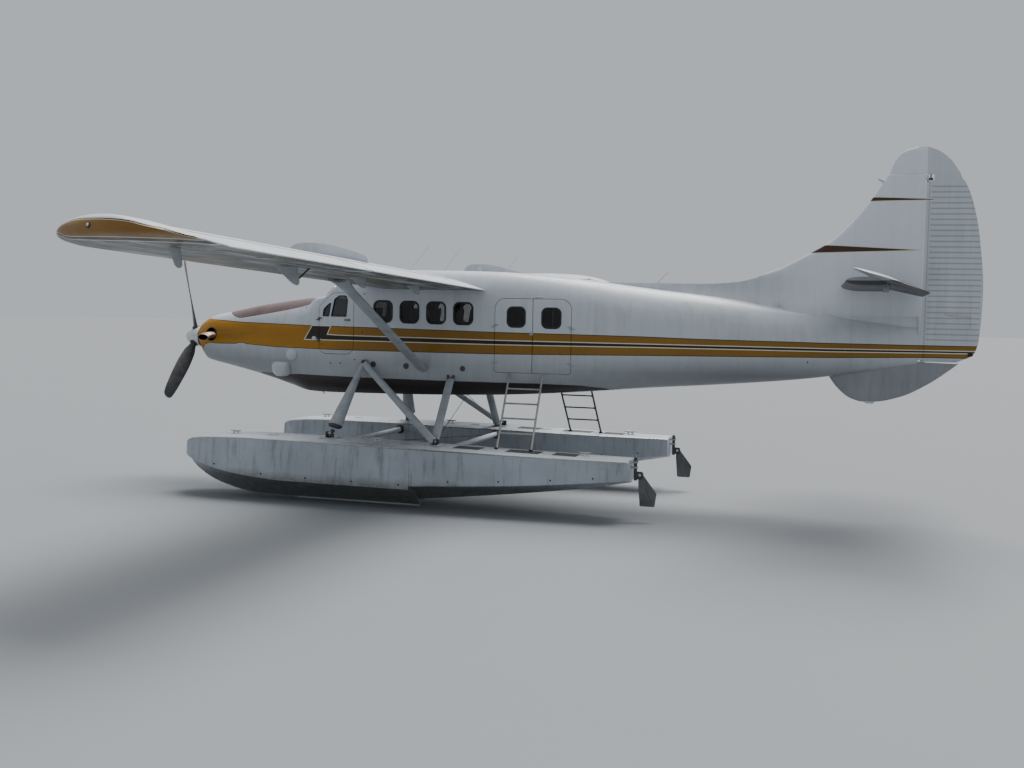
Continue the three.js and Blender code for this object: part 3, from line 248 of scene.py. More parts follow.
BELLY_TOP = [
    (0.0, -1.0), (1.42, -0.62), (1.56, -0.575), (1.66, -0.550), (2.04, -0.556), (2.39, -0.548),
    (2.47, -0.540),
    (3.06, -0.545), (3.93, -0.553), (4.95, -0.556), (6.55, -0.550), (7.17, -0.562), (7.50, -0.595),
    (7.85, -0.66),
    (8.2, -0.75), (13.0, -0.9),
]
# How much painted shade darkens the lower side, by station
LOWER_SHADE = [(0.0, 0.68), (2.2, 0.68), (3.0, 0.50), (7.0, 0.50), (9.4, 0.92), (13.0, 0.92)]


def stripes(g, base):
    """The side stripes, as a function of the place along and up the side."""
    x, _, z = g.datum()
    top = g.curve(x, BAND_TOP)
    low = g.curve(x, BAND_LOW)
    stripe_top = g.curve(x, STRIPE_TOP)
    stripe_low = g.curve(x, STRIPE_LOW)
    band = g.low(g.sub(top, z), g.sub(z, low))
    wear = g.noise((1.2, 1.2, 4.0), 5)
    yellow = g.mix(g.ramp(wear, 0.35, 0.75), YELLOW, YELLOW_DEEP)
    yellow = g.mix(g.ramp(x, 2.2, 4.0, 0.0, 0.62), yellow, (0.150, 0.092, 0.016))
    color = g.mix(g.above(band, 0.0), base, yellow)
    edge = g.both(g.above(band, 0.0), g.below(band, 0.010), g.above(x, 0.75))
    color = g.mix(edge, color, BROWN)
    left = g.mul(g.sub(x, g.add(g.mul(g.sub(z, 0.028), 0.658), 2.630)), 0.835)
    right = g.mul(g.sub(g.add(g.mul(g.sub(z, 0.105), 0.47), 3.044), x), 0.905)
    bar = g.high(right, g.sub(stripe_top, z))
    shape = g.low(g.sub(z, stripe_low), left, bar, g.sub(g.sub(top, 0.008), z))
    outline = g.both(g.above(shape, -0.014), g.above(band, 0.0))
    color = g.mix(outline, color, PALE_LINE)
    return g.mix(g.above(shape, 0.0), color, BROWN)


def weathered(g, clean, worn, share=0.7):
    """Paint with rain streaks, dull patches and fine dirt."""
    streaks = g.noise((9.0, 9.0, 0.9), 6, 0.6)
    patches = g.noise((0.9, 0.9, 1.6), 5, 0.6)
    dirt = g.ramp(g.add(g.mul(streaks, 0.55), g.mul(patches, 0.45)), 0.46, 0.66)
    return g.mix(g.mul(dirt, share), clean, worn)


# Joints between sheets: half width at the edges and at the floor, and depth
SEAM_EDGE = 0.0022
SEAM_FLOOR = 0.0006
SEAM_DEEP = 0.0006


def groove(g, along, pitch, start):
    """A joint at each pitch, pressed into the surface; gives where it lies."""
    seam = g.ramp(g.lines(along, pitch, start), SEAM_EDGE, SEAM_FLOOR)
    g.raise_by(seam, -SEAM_DEEP)
    return seam


# Pitch of the body's sheets along and up, and where each row starts
SHEET_LONG, SHEET_START = 0.52, 0.12
SHEET_TALL, ROW_START = 0.30, 0.02


def skin_relief(g):
    """Panel joints, rivet rows and the slight buckling of sheet between them."""
    x, _, z = g.datum()
    seam = groove(g, x, SHEET_LONG, SHEET_START)
    g.raise_by(g.rivets(x, z, SHEET_LONG, 0.016, start=SHEET_START), 0.0007)
    g.raise_by(g.rivets(z, x, SHEET_TALL, 0.0, start=ROW_START), 0.0007)
    g.raise_by(g.noise((2.2, 2.2, 3.0), 2), 0.006)
    return seam


def livery(name, extra):
    g = Graph(name, rough=0.34, Specular_IOR_Level=0.32)
    x, y, z = g.datum()
    white = weathered(g, WHITE, WHITE_WORN)
    # Painted shade: the white goes darker grey towards the bottom of the side
    lower_shade = g.mul(g.ramp(z, 0.04, -0.34), g.curve(x, LOWER_SHADE))
    white = g.mix(lower_shade, white, (0.175, 0.187, 0.20))
    color = stripes(g, white)
    side = g.math("ABSOLUTE", y)
    color = extra(g, color, x, side, z)
    color = g.mix(g.mul(skin_relief(g), 0.25), color, SOOT)
    rough = g.ramp(g.noise((3, 3, 6), 5), 0.3, 0.75, 0.26, 0.46)
    if g.shine is not None:
        rough = g.mul(rough, g.sub(1.0, g.mul(g.shine, 0.5)))
    g.set("Base Color", color)
    g.set("Roughness", rough)
    return g.done()


def glare_panel(g, color, x, side, z):
    """The dull brown panel on the nose ahead of the windscreen, its brown lightened by a painted sky
    reflection.
    """
    width = g.add(g.mul(g.sub(x, 1.0), 0.147), 0.318)
    ahead = g.math("MAXIMUM", g.mul(g.sub(1.30, x), 1 / 0.37), 0.0)
    across = g.math("DIVIDE", side, width)
    oval = g.add(g.mul(ahead, ahead), g.math("POWER", across, 2.4))
    rear = g.sub(x, g.mul(side, 0.42))
    panel = g.both(g.below(oval, 1.0), g.below(rear, 2.630), g.above(z, 0.2))
    # The panel's brown with random wear, lightened by a painted sky reflection
    worn_and_reflected_brown = g.mix(g.ramp(g.noise((3, 3, 3), 5), 0.35, 0.7), GLARE_BROWN_WITH_REFLECTION, (0.12, 0.080, 0.076))
    g.shine = panel
    return g.mix(panel, color, worn_and_reflected_brown)


def cabin_paint(g, color, x, side, z):
    color = glare_panel(g, color, x, side, z)
    return belly_paint(g, color, x, z)


def cowl_paint(g, color, x, side, z):
    color = glare_panel(g, color, x, side, z)
    down = g.math("ABSOLUTE", g.sub(z, g.sub(0.10, g.mul(g.sub(x, 0.7), 0.03))))
    spread = g.add(g.mul(g.sub(x, 0.7), 0.10), 0.09)
    trail = g.both(g.ramp(g.math("DIVIDE", down, spread), 1.0, 0.15), g.ramp(x, 2.3, 0.72),
                   g.above(x, 0.62))
    sooty = g.mul(trail, g.ramp(g.noise((1.4, 6, 14), 6), 0.35, 0.7))
    color = g.mix(g.mul(sooty, 0.55), color, SOOT)
    return belly_paint(g, color, x, z)


def belly_paint(g, color, x, z):
    edge = g.curve(x, BELLY_TOP)
    dark = g.below(z, edge)
    chips = g.ramp(g.noise((14, 14, 40), 6, 0.7), 0.60, 0.66)
    shade = g.mix(g.mul(chips, 0.25), BELLY, (0.10, 0.09, 0.08))
    return g.mix(dark, color, shade)


def tail_paint(g, color, x, side, z):
    # Painted highlight: the upper tail cone and fin go lighter, towards a bluish white
    bright = g.both(g.ramp(z, 0.40, 0.75), g.ramp(x, 9.6, 10.6), g.below(x, 11.99))
    color = g.mix(g.mul(bright, 0.58), color, (0.80, 0.845, 0.90))
    color = belly_paint(g, color, x, z)

    def flash(front_x, front_z, slope, low_z, low_x, low_slope, tip, lean):
        upper = g.sub(g.add(front_z, g.mul(g.sub(x, front_x), slope)), z)
        lower = g.sub(z, g.add(low_z, g.mul(g.sub(x, low_x), low_slope)))
        return g.low(upper, lower, g.sub(x, g.add(low_x, g.mul(g.sub(z, low_z), lean))), g.sub(tip, x))

    shape = g.high(
        flash(10.614, 1.573, -0.0548, 1.460, 10.40, 0.0282, 11.929, 1.2),
        flash(11.295, 2.252, -0.0442, 2.200, 11.15, 0.010, 12.086, 1.1),
    )
    color = g.mix(g.above(shape, -0.012), color, PALE_LINE)
    color = g.mix(g.above(shape, 0.0), color, (0.055, 0.028, 0.016))
    # Painted shadow: a dark line just under each raised rib of the rudder
    rib_shadow_distance = g.lines(g.sub(z, 0.2385), 0.077, 0.0)
    rib_shadow = g.both(g.above(x, 12.055), g.above(z, 0.20), g.below(z, 2.45), g.below(x, 12.76),
                    g.ramp(rib_shadow_distance, 0.013, 0.005))
    return g.mix(g.mul(rib_shadow, 0.42), color, (0.10, 0.105, 0.11))


M = {}
M["cowl"] = livery("cowl_paint", cowl_paint)
M["cabin"] = livery("cabin_paint", cabin_paint)
M["tail"] = livery("tail_paint", tail_paint)


def plain(name, color, worn, rough=0.4, metal=0.0, grain=(6, 6, 6), bump=0.0008, share=0.8, **more):
    g = Graph(name, rough=rough, metal=metal, **more)
    mottled = g.ramp(g.noise(grain, 6, 0.6), 0.38, 0.70)
    g.set("Base Color", g.mix(g.mul(mottled, share), color, worn))
    g.set("Roughness", g.ramp(g.noise(grain, 4), 0.3, 0.7, rough * 0.8, min(1.0, rough * 1.3)))
    g.raise_by(g.noise(tuple(12 * v for v in grain), 3), bump)
    return g.done()


M["lining"] = plain("cabin_lining", (0.22, 0.22, 0.215), (0.15, 0.15, 0.15), 0.75, bump=0.0006)
M["floor_mat"] = plain("cabin_floor_mat", (0.05, 0.052, 0.055), (0.085, 0.08, 0.072), 0.85, bump=0.001)
M["rubber"] = plain("black_rubber", (0.014, 0.014, 0.015), (0.03, 0.03, 0.03), 0.62, bump=0.0004)
M["dark_metal"] = plain("dark_metal", (0.045, 0.047, 0.05), (0.09, 0.09, 0.09), 0.42, 0.4)
M["steel"] = plain("bright_steel", (0.55, 0.55, 0.54), (0.35, 0.34, 0.33), 0.3, 1.0, (10, 10, 10), 0.0002)
M["grey"] = plain("grey_paint", GREY_SKIN, (0.24, 0.255, 0.27), 0.38, 0.0, (2, 2, 8), 0.0004)
M["white"] = plain("white_paint", WHITE, WHITE_WORN, 0.36, 0.0, (3, 3, 6), 0.0004)
M["black"] = plain("flat_black", (0.008, 0.008, 0.008), (0.02, 0.02, 0.02), 0.7)


def glass_material(name, tint, alpha):
    g = Graph(name, color=tint, rough=0.04, IOR=1.5, Alpha=alpha)
    g.set("Roughness", g.ramp(g.noise((5, 5, 5), 3), 0.3, 0.7, 0.02, 0.07))
    g.material.blend_method = "BLEND"
    return g.done()


M["glass"] = glass_material("window_glass", (0.012, 0.014, 0.017), 0.38)
M["screen_glass"] = glass_material("windscreen_glass", (0.02, 0.024, 0.028), 0.50)
M["cockpit_glass"] = glass_material("cockpit_glass", (0.060, 0.067, 0.074), 0.66)
M["lamp"] = plain("lamp_glass", (0.62, 0.60, 0.58), (0.45, 0.43, 0.41), 0.12, 0.0, (20, 20, 20), 0.0001,
                  Coat_Weight=0.6)


# Meshes
class Shape:
    """Collects faces for one piece, with a material number for each face."""

    def __init__(self):
        self.verts = []
        self.faces = []
        self.mats = []

    def put(self, verts, faces, mat=0):
        start = len(self.verts)
        self.verts.extend([tuple(v) for v in np.asarray(verts, float)])
        self.faces.extend([tuple(int(i) + start for i in face) for face in faces])
        self.mats.extend([mat] * len(faces))
        return self

    # A skin over closed rings of equal count, with both ends closed unless caps is off
    def loft(self, rings, mat=0, caps=True):
        rings = np.asarray(rings, float)
        count, around = rings.shape[:2]
        faces = []
        for i in range(count - 1):
            for j in range(around):
                k = (j + 1) % around
                faces.append((i * around + j, i * around + k, (i + 1) * around + k, (i + 1) * around + j))
        if caps:
            faces.append(tuple(range(around))[::-1])
            faces.append(tuple(range((count - 1) * around, count * around)))
        return self.put(rings.reshape(-1, 3), faces, mat)

    def bar(self, a, b, radius, end=None, sides=20, mat=0):
        return self.tube([a, b], [radius, radius if end is None else end], sides, mat)

    def tube(self, path, radii, sides=16, mat=0, caps=True):
        path = np.asarray(path, float)
        radii = np.broadcast_to(np.asarray(radii, float), (len(path),))
        steps = np.gradient(path, axis=0)
        rings = []
        side = None
        for point, step, radius in zip(path, steps, radii):
            along = step / np.linalg.norm(step)
            guess = side if side is not None else np.array([0, 0, 1.0])
            if abs(along @ guess) > 0.97 and side is None:
                guess = np.array([1.0, 0, 0])
            side = guess - (guess @ along) * along
            side = side / np.linalg.norm(side)
            other = np.cross(along, side)
            turns = np.linspace(0, 2 * math.pi, sides, endpoint=False)
            ring = point + radius * (np.outer(np.cos(turns), other) + np.outer(np.sin(turns), side))
            rings.append(ring)
        return self.loft(rings, mat, caps=caps)

    def box(self, low, high, bevel=0.002, mat=0):
        low = np.minimum(low, high).astype(float)
        high = np.maximum(np.asarray(low, float), np.asarray(high, float))
        b = min(bevel, *(0.45 * (high - low)))
        verts = []
        for ends in itertools.product((0, 1), repeat=3):
            corner = np.where(ends, high, low)
            inward = (1 - 2 * np.array(ends)) * b
            for axis in range(3):
                point = corner + inward
                point[axis] = corner[axis]
                verts.append(point)
        hull = bmesh.new()
        for v in verts:
            hull.verts.new(v)
        bmesh.ops.convex_hull(hull, input=hull.verts)
        bmesh.ops.dissolve_limit(hull, angle_limit=0.01, verts=hull.verts, edges=hull.edges)
        hull.verts.index_update()
        self.put([v.co[:] for v in hull.verts], [[v.index for v in f.verts] for f in hull.faces], mat)
        hull.free()
        return self

    def prism(self, outline, low, high, axis="y", mat=0):
        def at(u, v, w):
            return {"y": (u, w, v), "x": (w, u, v), "z": (u, v, w)}[axis]

        rings = [[at(u, v, w) for u, v in outline] for w in (low, high)]
        return self.loft(rings, mat)

    # A turned piece: its profile is pairs of distance along the axis and radius
    def lathe(self, profile, origin, axis, sides=32, mat=0):
        origin = np.asarray(origin, float)
        axis = np.asarray(axis, float) / np.linalg.norm(axis)
        guess = np.array([0, 0, 1.0]) if abs(axis[2]) < 0.9 else np.array([1.0, 0, 0])
        side = np.cross(axis, guess)
        side /= np.linalg.norm(side)
        other = np.cross(axis, side)
        turns = np.linspace(0, 2 * math.pi, sides, endpoint=False)
        rings = [
            origin + axis * along + radius * (np.outer(np.cos(turns), side)
                                              + np.outer(np.sin(turns), other))
            for along, radius in profile
        ]
        return self.loft(rings, mat)

    def make(self, name, mats, body, slot, replaces=(), sharp=35, outward=True):
        mesh = bpy.data.meshes.new(name)
        verts = np.asarray(self.verts) + OFFSET
        mesh.from_pydata([tuple(v) for v in verts], [], self.faces)
        for material in mats:
            mesh.materials.append(M[material])
        mesh.polygons.foreach_set("material_index", self.mats)
        if outward:
            work = bmesh.new()
            work.from_mesh(mesh)
            bmesh.ops.recalc_face_normals(work, faces=work.faces)
            work.to_mesh(mesh)
            work.free()
        mesh.validate()
        mesh.shade_smooth()
        mesh.set_sharp_from_angle(angle=math.radians(sharp))
        obj = bpy.data.objects.new(name, mesh)
        bpy.context.scene.collection.objects.link(obj)
        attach(obj, body)
        if replaces:
            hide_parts(*replaces)
        return obj


# Smooth tables: monotone cubic through the stations
def monotone(xs, ys, at):
    xs = np.asarray(xs, float)
    ys = np.asarray(ys, float)
    h = np.diff(xs)
    slope = np.diff(ys) / h
    m = np.zeros_like(ys)
    m[0] = slope[0]
    m[-1] = slope[-1]
    for i in range(1, len(xs) - 1):
        if slope[i - 1] * slope[i] > 0:
            w1 = 2 * h[i] + h[i - 1]
            w2 = h[i] + 2 * h[i - 1]
            m[i] = (w1 + w2) / (w1 / slope[i - 1] + w2 / slope[i])
    at = np.clip(at, xs[0], xs[-1])
    i = np.clip(np.searchsorted(xs, at, side="right") - 1, 0, len(xs) - 2)
    t = (at - xs[i]) / h[i]
    return (
        ys[i] * (1 + 2 * t) * (1 - t) ** 2
        + m[i] * h[i] * t * (1 - t) ** 2
        + ys[i + 1] * t * t * (3 - 2 * t)
        + m[i + 1] * h[i] * t * t * (t - 1)
    )


def monotone_all(xs, ys, at):
    return np.array([float(monotone(xs, ys, a)) for a in at])


def row_at(table, at):
    """The table's other columns, read at a place along its first column."""
    return [float(monotone(table[:, 0], table[:, k], at)) for k in range(1, table.shape[1])]


# Body stations: x, top, bottom, half width, upper and lower corner shares
BODY = np.array([
    [330, 184, -158, 172, 1, 1], [358, 228, -196, 212, 1, 1], [408, 268, -252, 250, 1, 1],
    [442, 290, -318, 275, 1, 1], [482, 316, -374, 300, 1, 1], [640, 380, -415, 345, 0.95, 0.95],
    [910, 433, -466, 385, 0.92, 0.9], [1500, 553, -585, 480, 0.85, 0.8],
    [2210, 656, -745, 620, 0.75, 0.6], [2550, 700, -822, 690, 0.68, 0.5],
    [2625, 711, -827, 705, 0.66, 0.485],
    [2720, 795, -829, 722, 0.62, 0.465], [2815, 878, -830, 738, 0.575, 0.448],
    [3060, 1070, -828, 775, 0.46, 0.42], [3250, 1112, -824, 792, 0.42, 0.4],
    [3600, 1132, -820, 800, 0.4, 0.4], [4500, 1148, -806, 800, 0.4, 0.4],
    [5700, 1135, -768, 800, 0.42, 0.42],
    [6650, 1077, -712, 785, 0.5, 0.5], [7300, 1010, -658, 745, 0.6, 0.58],
    [8200, 900, -578, 640, 0.75, 0.7],
    [9200, 790, -498, 500, 0.88, 0.82], [10300, 640, -390, 340, 0.95, 0.9],
    [11300, 500, -235, 190, 1, 0.95],
    [11960, 420, -110, 85, 1, 1],
], float)
BODY[:, :4] /= 1000
NOSE = 0.330
FIREWALL = 2.55
CABIN_END = 7.30
TAIL_END = 11.96


def station(x):
    return row_at(BODY, x)


# How far aft the crest ahead of the cabin moves for each metre off the centre line, and that crest
SWEEP = 0.50
CREST_X = np.arange(2.1, 3.9, 0.01)
CREST_Z = monotone_all(BODY[:, 0], BODY[:, 1], CREST_X)


def swept(x, y, z):
    """The deck and the windscreen's halves lean back from the centre line."""
    if not 2.45 < x < 3.70:
        return z
    share = min((x - 2.45) / 0.15, (3.70 - x) / 0.30, 1)
    return np.minimum(z, np.interp(x - SWEEP * share * y, CREST_X, CREST_Z))


def half_ring(x, count):
    """Points from the top centre down the side to the bottom centre, evenly spaced, as y and z."""
    top, bottom, half, upper, lower = station(x)
    middle = (top + bottom) / 2
    high = (top - bottom) / 2
    turns = np.linspace(0, math.pi / 2, 60)
    uy, uz = min(upper * half, half - 0.004), min(upper * high, high - 0.004)
    ly, lz = min(lower * half, half - 0.004), min(lower * high, high - 0.004)
    ys = [np.linspace(0, half - uy, 12)[:-1], half - uy + uy * np.sin(turns)]
    zs = [np.full(11, top), middle + high - uz + uz * np.cos(turns)]
    ys += [half - ly + ly * np.cos(turns), np.linspace(half - ly, 0, 12)[1:]]
    zs += [middle - high + lz - lz * np.sin(turns), np.full(11, bottom)]
    y = np.concatenate(ys)
    z = swept(x, y, np.concatenate(zs))
    run = np.concatenate([[0], np.cumsum(np.hypot(np.diff(y), np.diff(z)))])
    keep = np.concatenate([[True], np.diff(run) > 1e-9])
    even = np.linspace(0, run[-1], count)
    return np.interp(even, run[keep], y[keep]), np.interp(even, run[keep], z[keep])


class BodySurface:
    """The body's side as a grid over x and v, where v runs from the top centre to the bottom centre."""

    def __init__(self):
        self.x = np.unique(np.concatenate([np.arange(NOSE, 11.961, 0.012), BODY[:, 0]]))
        self.v = np.linspace(0, 1, 260)
        grid = [half_ring(x, 260) for x in self.x]
        self.y = np.array([row[0] for row in grid])
        self.z = np.array([row[1] for row in grid])

    def row(self, x):
        i = int(np.clip(np.searchsorted(self.x, x, side="right") - 1, 0, len(self.x) - 2))
        t = (x - self.x[i]) / (self.x[i + 1] - self.x[i])
        return self.y[i] * (1 - t) + self.y[i + 1] * t, self.z[i] * (1 - t) + self.z[i + 1] * t

    def at(self, x, v):
        y, z = self.row(x)
        return np.array([x, np.interp(v, self.v, y), np.interp(v, self.v, z)])

    def normal(self, x, v):
        a = self.at(min(x + 0.02, 11.96), v) - self.at(max(x - 0.02, NOSE), v)
        b = self.at(x, min(v + 0.004, 1)) - self.at(x, max(v - 0.004, 0))
        n = np.cross(a, b)
        return n / np.linalg.norm(n)

    def by_height(self, x, z):
        _, zs = self.row(x)
        return float(np.interp(-z, -zs, self.v))

    def by_width(self, x, y):
        ys, _ = self.row(x)
        top = int(np.argmax(ys > ys.max() - 1e-4))
        return float(np.interp(y, ys[: top + 1], self.v[: top + 1]))

    def on_side(self, x, z, side, out=0.0):
        v = self.by_height(x, z)
        point = self.at(x, v) + self.normal(x, v) * out
        return np.array([point[0], side * point[1], point[2]])


SURFACE = BodySurface()
# Height of the flat sheet that skins are cut from, for v from 0 to 1
V_SCALE = 2.6


def dense(outline, step=0.02, closed=True):
    points = [np.asarray(p, float) for p in outline]
    result = []
    ends = points[1:] + points[:1] if closed else points[1:]
    for a, b in zip(points, ends):
        count = max(1, int(np.ceil(np.linalg.norm(b - a) / step)))
        result.extend(a + (b - a) * i / count for i in range(count))
    if not closed:
        result.append(points[-1])
    return np.array(result)


def inside(points, loop):
    x, y = points[:, 0], points[:, 1]
    result = np.zeros(len(points), bool)
    j = len(loop) - 1
    for i in range(len(loop)):
        xi, yi = loop[i]
        xj, yj = loop[j]
        cross = (yi > y) != (yj > y)
        with np.errstate(divide="ignore", invalid="ignore"):
            result ^= cross & (x < (xj - xi) * (y - yi) / (yj - yi) + xi)
        j = i
    return result


def away(points, loop, least):
    keep = np.ones(len(points), bool)
    for start in range(0, len(points), 4000):
        part = points[start:start + 4000]
        d = np.min(np.linalg.norm(part[:, None, :] - loop[None, :, :], axis=2), axis=1)
        keep[start:start + 4000] = d > least
    return keep


ARC_STEPS = 8


def corners(low, high, radii):
    """A rounded outline in x and z, its radii from low left round by low right to the upper left."""
    centres = [(low[0], low[1], 1, 1), (high[0], low[1], -1, 1), (high[0], high[1], -1, -1),
               (low[0], high[1], 1, -1)]
    result = []
    for (x, z, sx, sz), r, start in zip(centres, radii, (180, 270, 0, 90)):
        for i in range(ARC_STEPS + 1):
            turn = math.radians(start + 90 * i / ARC_STEPS)
            result.append((x + sx * r + r * math.cos(turn), z + sz * r + r * math.sin(turn)))
    return result


def panel(low, high, bottom, top=None):
    """A rounded outline with one radius below and one above."""
    top = bottom if top is None else top
    return corners(low, high, (bottom, bottom, top, top))


def grown(outline, by):
    """The outline moved outwards by a distance."""
    points = np.asarray(outline, float)
    ahead = np.roll(points, -1, 0) - points
    behind = points - np.roll(points, 1, 0)
    area = np.sum(points[:, 0] * np.roll(points[:, 1], -1) - np.roll(points[:, 0], -1) * points[:, 1])
    turn = 1 if area > 0 else -1
    normals = []
    for a, b in zip(ahead, behind):
        a = a / max(np.linalg.norm(a), 1e-9)
        b = b / max(np.linalg.norm(b), 1e-9)
        n = np.array([a[1] + b[1], -a[0] - b[0]]) * turn
        n /= max(np.linalg.norm(n), 1e-9)
        normals.append(n / max(0.5, abs(n @ np.array([a[1], -a[0]]))))
    return points + by * np.array(normals)


def to_sheet(outline, step=0.02):
    """An outline in x and z, mapped to the flat sheet of x and v."""
    return np.array([(x, SURFACE.by_height(x, z) * V_SCALE) for x, z in dense(outline, step)])


def skin(shape, side, loop, holes, thick, grid=0.045, mats=(0, 1, 0), sink=0.0):
    """A sheet of the body's side inside a loop and outside the holes, with its inner face and its edges."""
    low, high = loop.min(0), loop.max(0)
    gx, gv = np.meshgrid(np.arange(low[0] + grid / 2, high[0], grid),
                         np.arange(low[1] + grid / 2, high[1], grid))
    points = np.column_stack([gx.ravel(), gv.ravel()])
    points = points[inside(points, loop)]
    for hole in holes:
        points = points[~inside(points, hole)]
    for edge in [loop, *holes]:
        points = points[away(points, edge, grid * 0.45)]
    loops = [loop, *holes]
    coords = [Vector(p) for edge in loops for p in edge] + [Vector(p) for p in points]
    edges = []
    start = 0
    for edge in loops:
        n = len(edge)
        edges.extend((start + i, start + (i + 1) % n) for i in range(n))
        start += n
    flat, _, faces, *_ = delaunay_2d_cdt(coords, edges, [], 0, 1e-7)
    flat = np.array([tuple(p) for p in flat])
    faces = [f for f in faces if len(f) == 3]
    middles = np.array([flat[list(f)].mean(0) for f in faces])
    keep = inside(middles, loop)
    for hole in holes:
        keep &= ~inside(middles, hole)
    faces = [f for f, k in zip(faces, keep) if k]
    spots = [(x, min(max(v / V_SCALE, 0.0), 1.0)) for x, v in flat]
    outer = np.array([SURFACE.at(x, v) for x, v in spots])
    normals = np.array([SURFACE.normal(x, v) for x, v in spots])
    normals[np.array([v for x, v in spots]) < 1e-6] *= [1, 0, 1]
    normals[np.array([v for x, v in spots]) > 1 - 1e-6] *= [1, 0, 1]
    normals /= np.linalg.norm(normals, axis=1)[:, None]
    outer = outer - normals * sink
    inner = outer - normals * thick
    turn = np.array([1, side, 1])
    oriented = []
    for a, b, c in faces:
        n = np.cross(outer[b] - outer[a], outer[c] - outer[a])
        flip = (n @ normals[a]) < 0
        if side < 0:
            flip = not flip
        oriented.append((a, c, b) if flip else (a, b, c))
    shape.put(outer * turn, oriented, mats[0])
    shape.put(inner * turn, [f[::-1] for f in oriented], mats[1])
    shape.normals.extend([tuple(n) for n in normals * turn])
    shape.normals.extend([tuple(-n) for n in normals * turn])
    used = {}
    for a, b, c in oriented:
        for p, q in ((a, b), (b, c), (c, a)):
            used[(p, q)] = used.get((p, q), 0) + 1
    rim = [(p, q) for (p, q) in used if (q, p) not in used]
    for p, q in rim:
        ends = (spots[p][1], spots[q][1])
        if max(ends) < 1e-6 or min(ends) > 1 - 1e-6:
            continue
        quad = np.array([outer[q], outer[p], inner[p], inner[q]]) * turn
        n = np.cross(quad[1] - quad[0], quad[2] - quad[0])
        n /= max(np.linalg.norm(n), 1e-12)
        shape.put(quad, [(0, 1, 2, 3)], mats[2])
        shape.normals.extend([tuple(n)] * 4)


class Skin(Shape):
    """A shape whose vertices carry the surface's own normals."""

    def __init__(self):
        super().__init__()
        self.normals = []

    def finish(self, name, mats, body, slot, replaces=()):
        obj = self.make(name, mats, body, slot, replaces, outward=False)
        obj.data.normals_split_custom_set_from_vertices([Vector(n) for n in self.normals])
        return obj


def strip_loop(x0, x1):
    return dense([(x0, 0.0), (x1, 0.0), (x1, V_SCALE), (x0, V_SCALE)], 0.03)


def softened(points, radius=0.018, steps=4):
    """A polygon with its corners rounded."""
    p = [np.asarray(q, float) for q in points]
    result = []
    for i, (here, reach) in enumerate(zip(p, np.broadcast_to(radius, len(p)))):
        before, after = p[i - 1], p[(i + 1) % len(p)]
        a = here + (before - here) / np.linalg.norm(before - here) * reach
        b = here + (after - here) / np.linalg.norm(after - here) * reach
        for s in np.linspace(0, 1, steps + 1):
            result.append(tuple((1 - s) ** 2 * a + 2 * s * (1 - s) * here + s * s * b))
    return result


# Doors and windows: outlines on the side
CLEAR = 0.007
DOOR = {
    "cockpit": softened([(2.905, -0.190), (3.520, -0.190), (3.520, 0.770), (3.160, 0.770), (2.905, 0.555)],
                        (0.150, 0.150, 0.060, 0.050, 0.050), 8),
    "cargo_front": corners((5.867, -0.390), (6.453, 0.722), (0.040, 0.004, 0.004, 0.160)),
    "cargo_rear": corners((6.463, -0.390), (7.048, 0.722), (0.004, 0.040, 0.160, 0.004)),
    "starboard": panel((6.350, -0.390), (7.048, 0.722), 0.040, 0.160),
}
CARGO_WHOLE = panel((5.867, -0.390), (7.048, 0.722), 0.040, 0.160)
COCKPIT_PANE = softened([(3.124, 0.402), (3.394, 0.402), (3.418, 0.655), (3.395, 0.728), (3.275, 0.728),
                         (3.188, 0.672)])
QUARTER_PANE = softened([(2.972, 0.402), (3.084, 0.402), (3.122, 0.610), (3.098, 0.606), (2.990, 0.515)],
                        0.012)


def window(x, z, wide=0.320, high=0.345, radius=0.095):
    return panel((x - wide / 2, z - high / 2), (x + wide / 2, z + high / 2), radius)


CABIN_WINDOWS = [window(4.025 + 0.443 * i, 0.492 - 0.003 * i) for i in range(4)]
CARGO_WINDOWS = {
    "front": window(6.200, 0.447, 0.290, 0.312, 0.088), "rear": window(6.745, 0.440, 0.300, 0.312, 0.088),
    "starboard": window(6.745, 0.440, 0.290, 0.312, 0.088),
}


def screen_loop(grow=0.0):
    """Half of the windscreen's opening, mapped from plan to the sheet; the centre line closes it."""
    edge = [(2.680 - grow, 0.0), (2.694 - grow, 0.040), (2.855 - grow, 0.420), (2.935, 0.590 + grow),
            (3.120 + grow, 0.655 + grow), (3.045 + grow, 0.0)]
    side = dense(edge, 0.02, closed=False)
    return np.array([(x, SURFACE.by_width(x, y) * V_SCALE) for x, y in side])


def whole_ring(x, count):
    """The body's section at a station as y and z, from the top centre all round."""
    y, z = half_ring(x, count)
    return list(zip(y, z)) + [(-a, b) for a, b in zip(y[-2:0:-1], z[-2:0:-1])]


# The exhaust's opening in the cowl
EXHAUST_X = 0.694
EXHAUST_Z = 0.056
EXHAUST_HOLE = 0.106


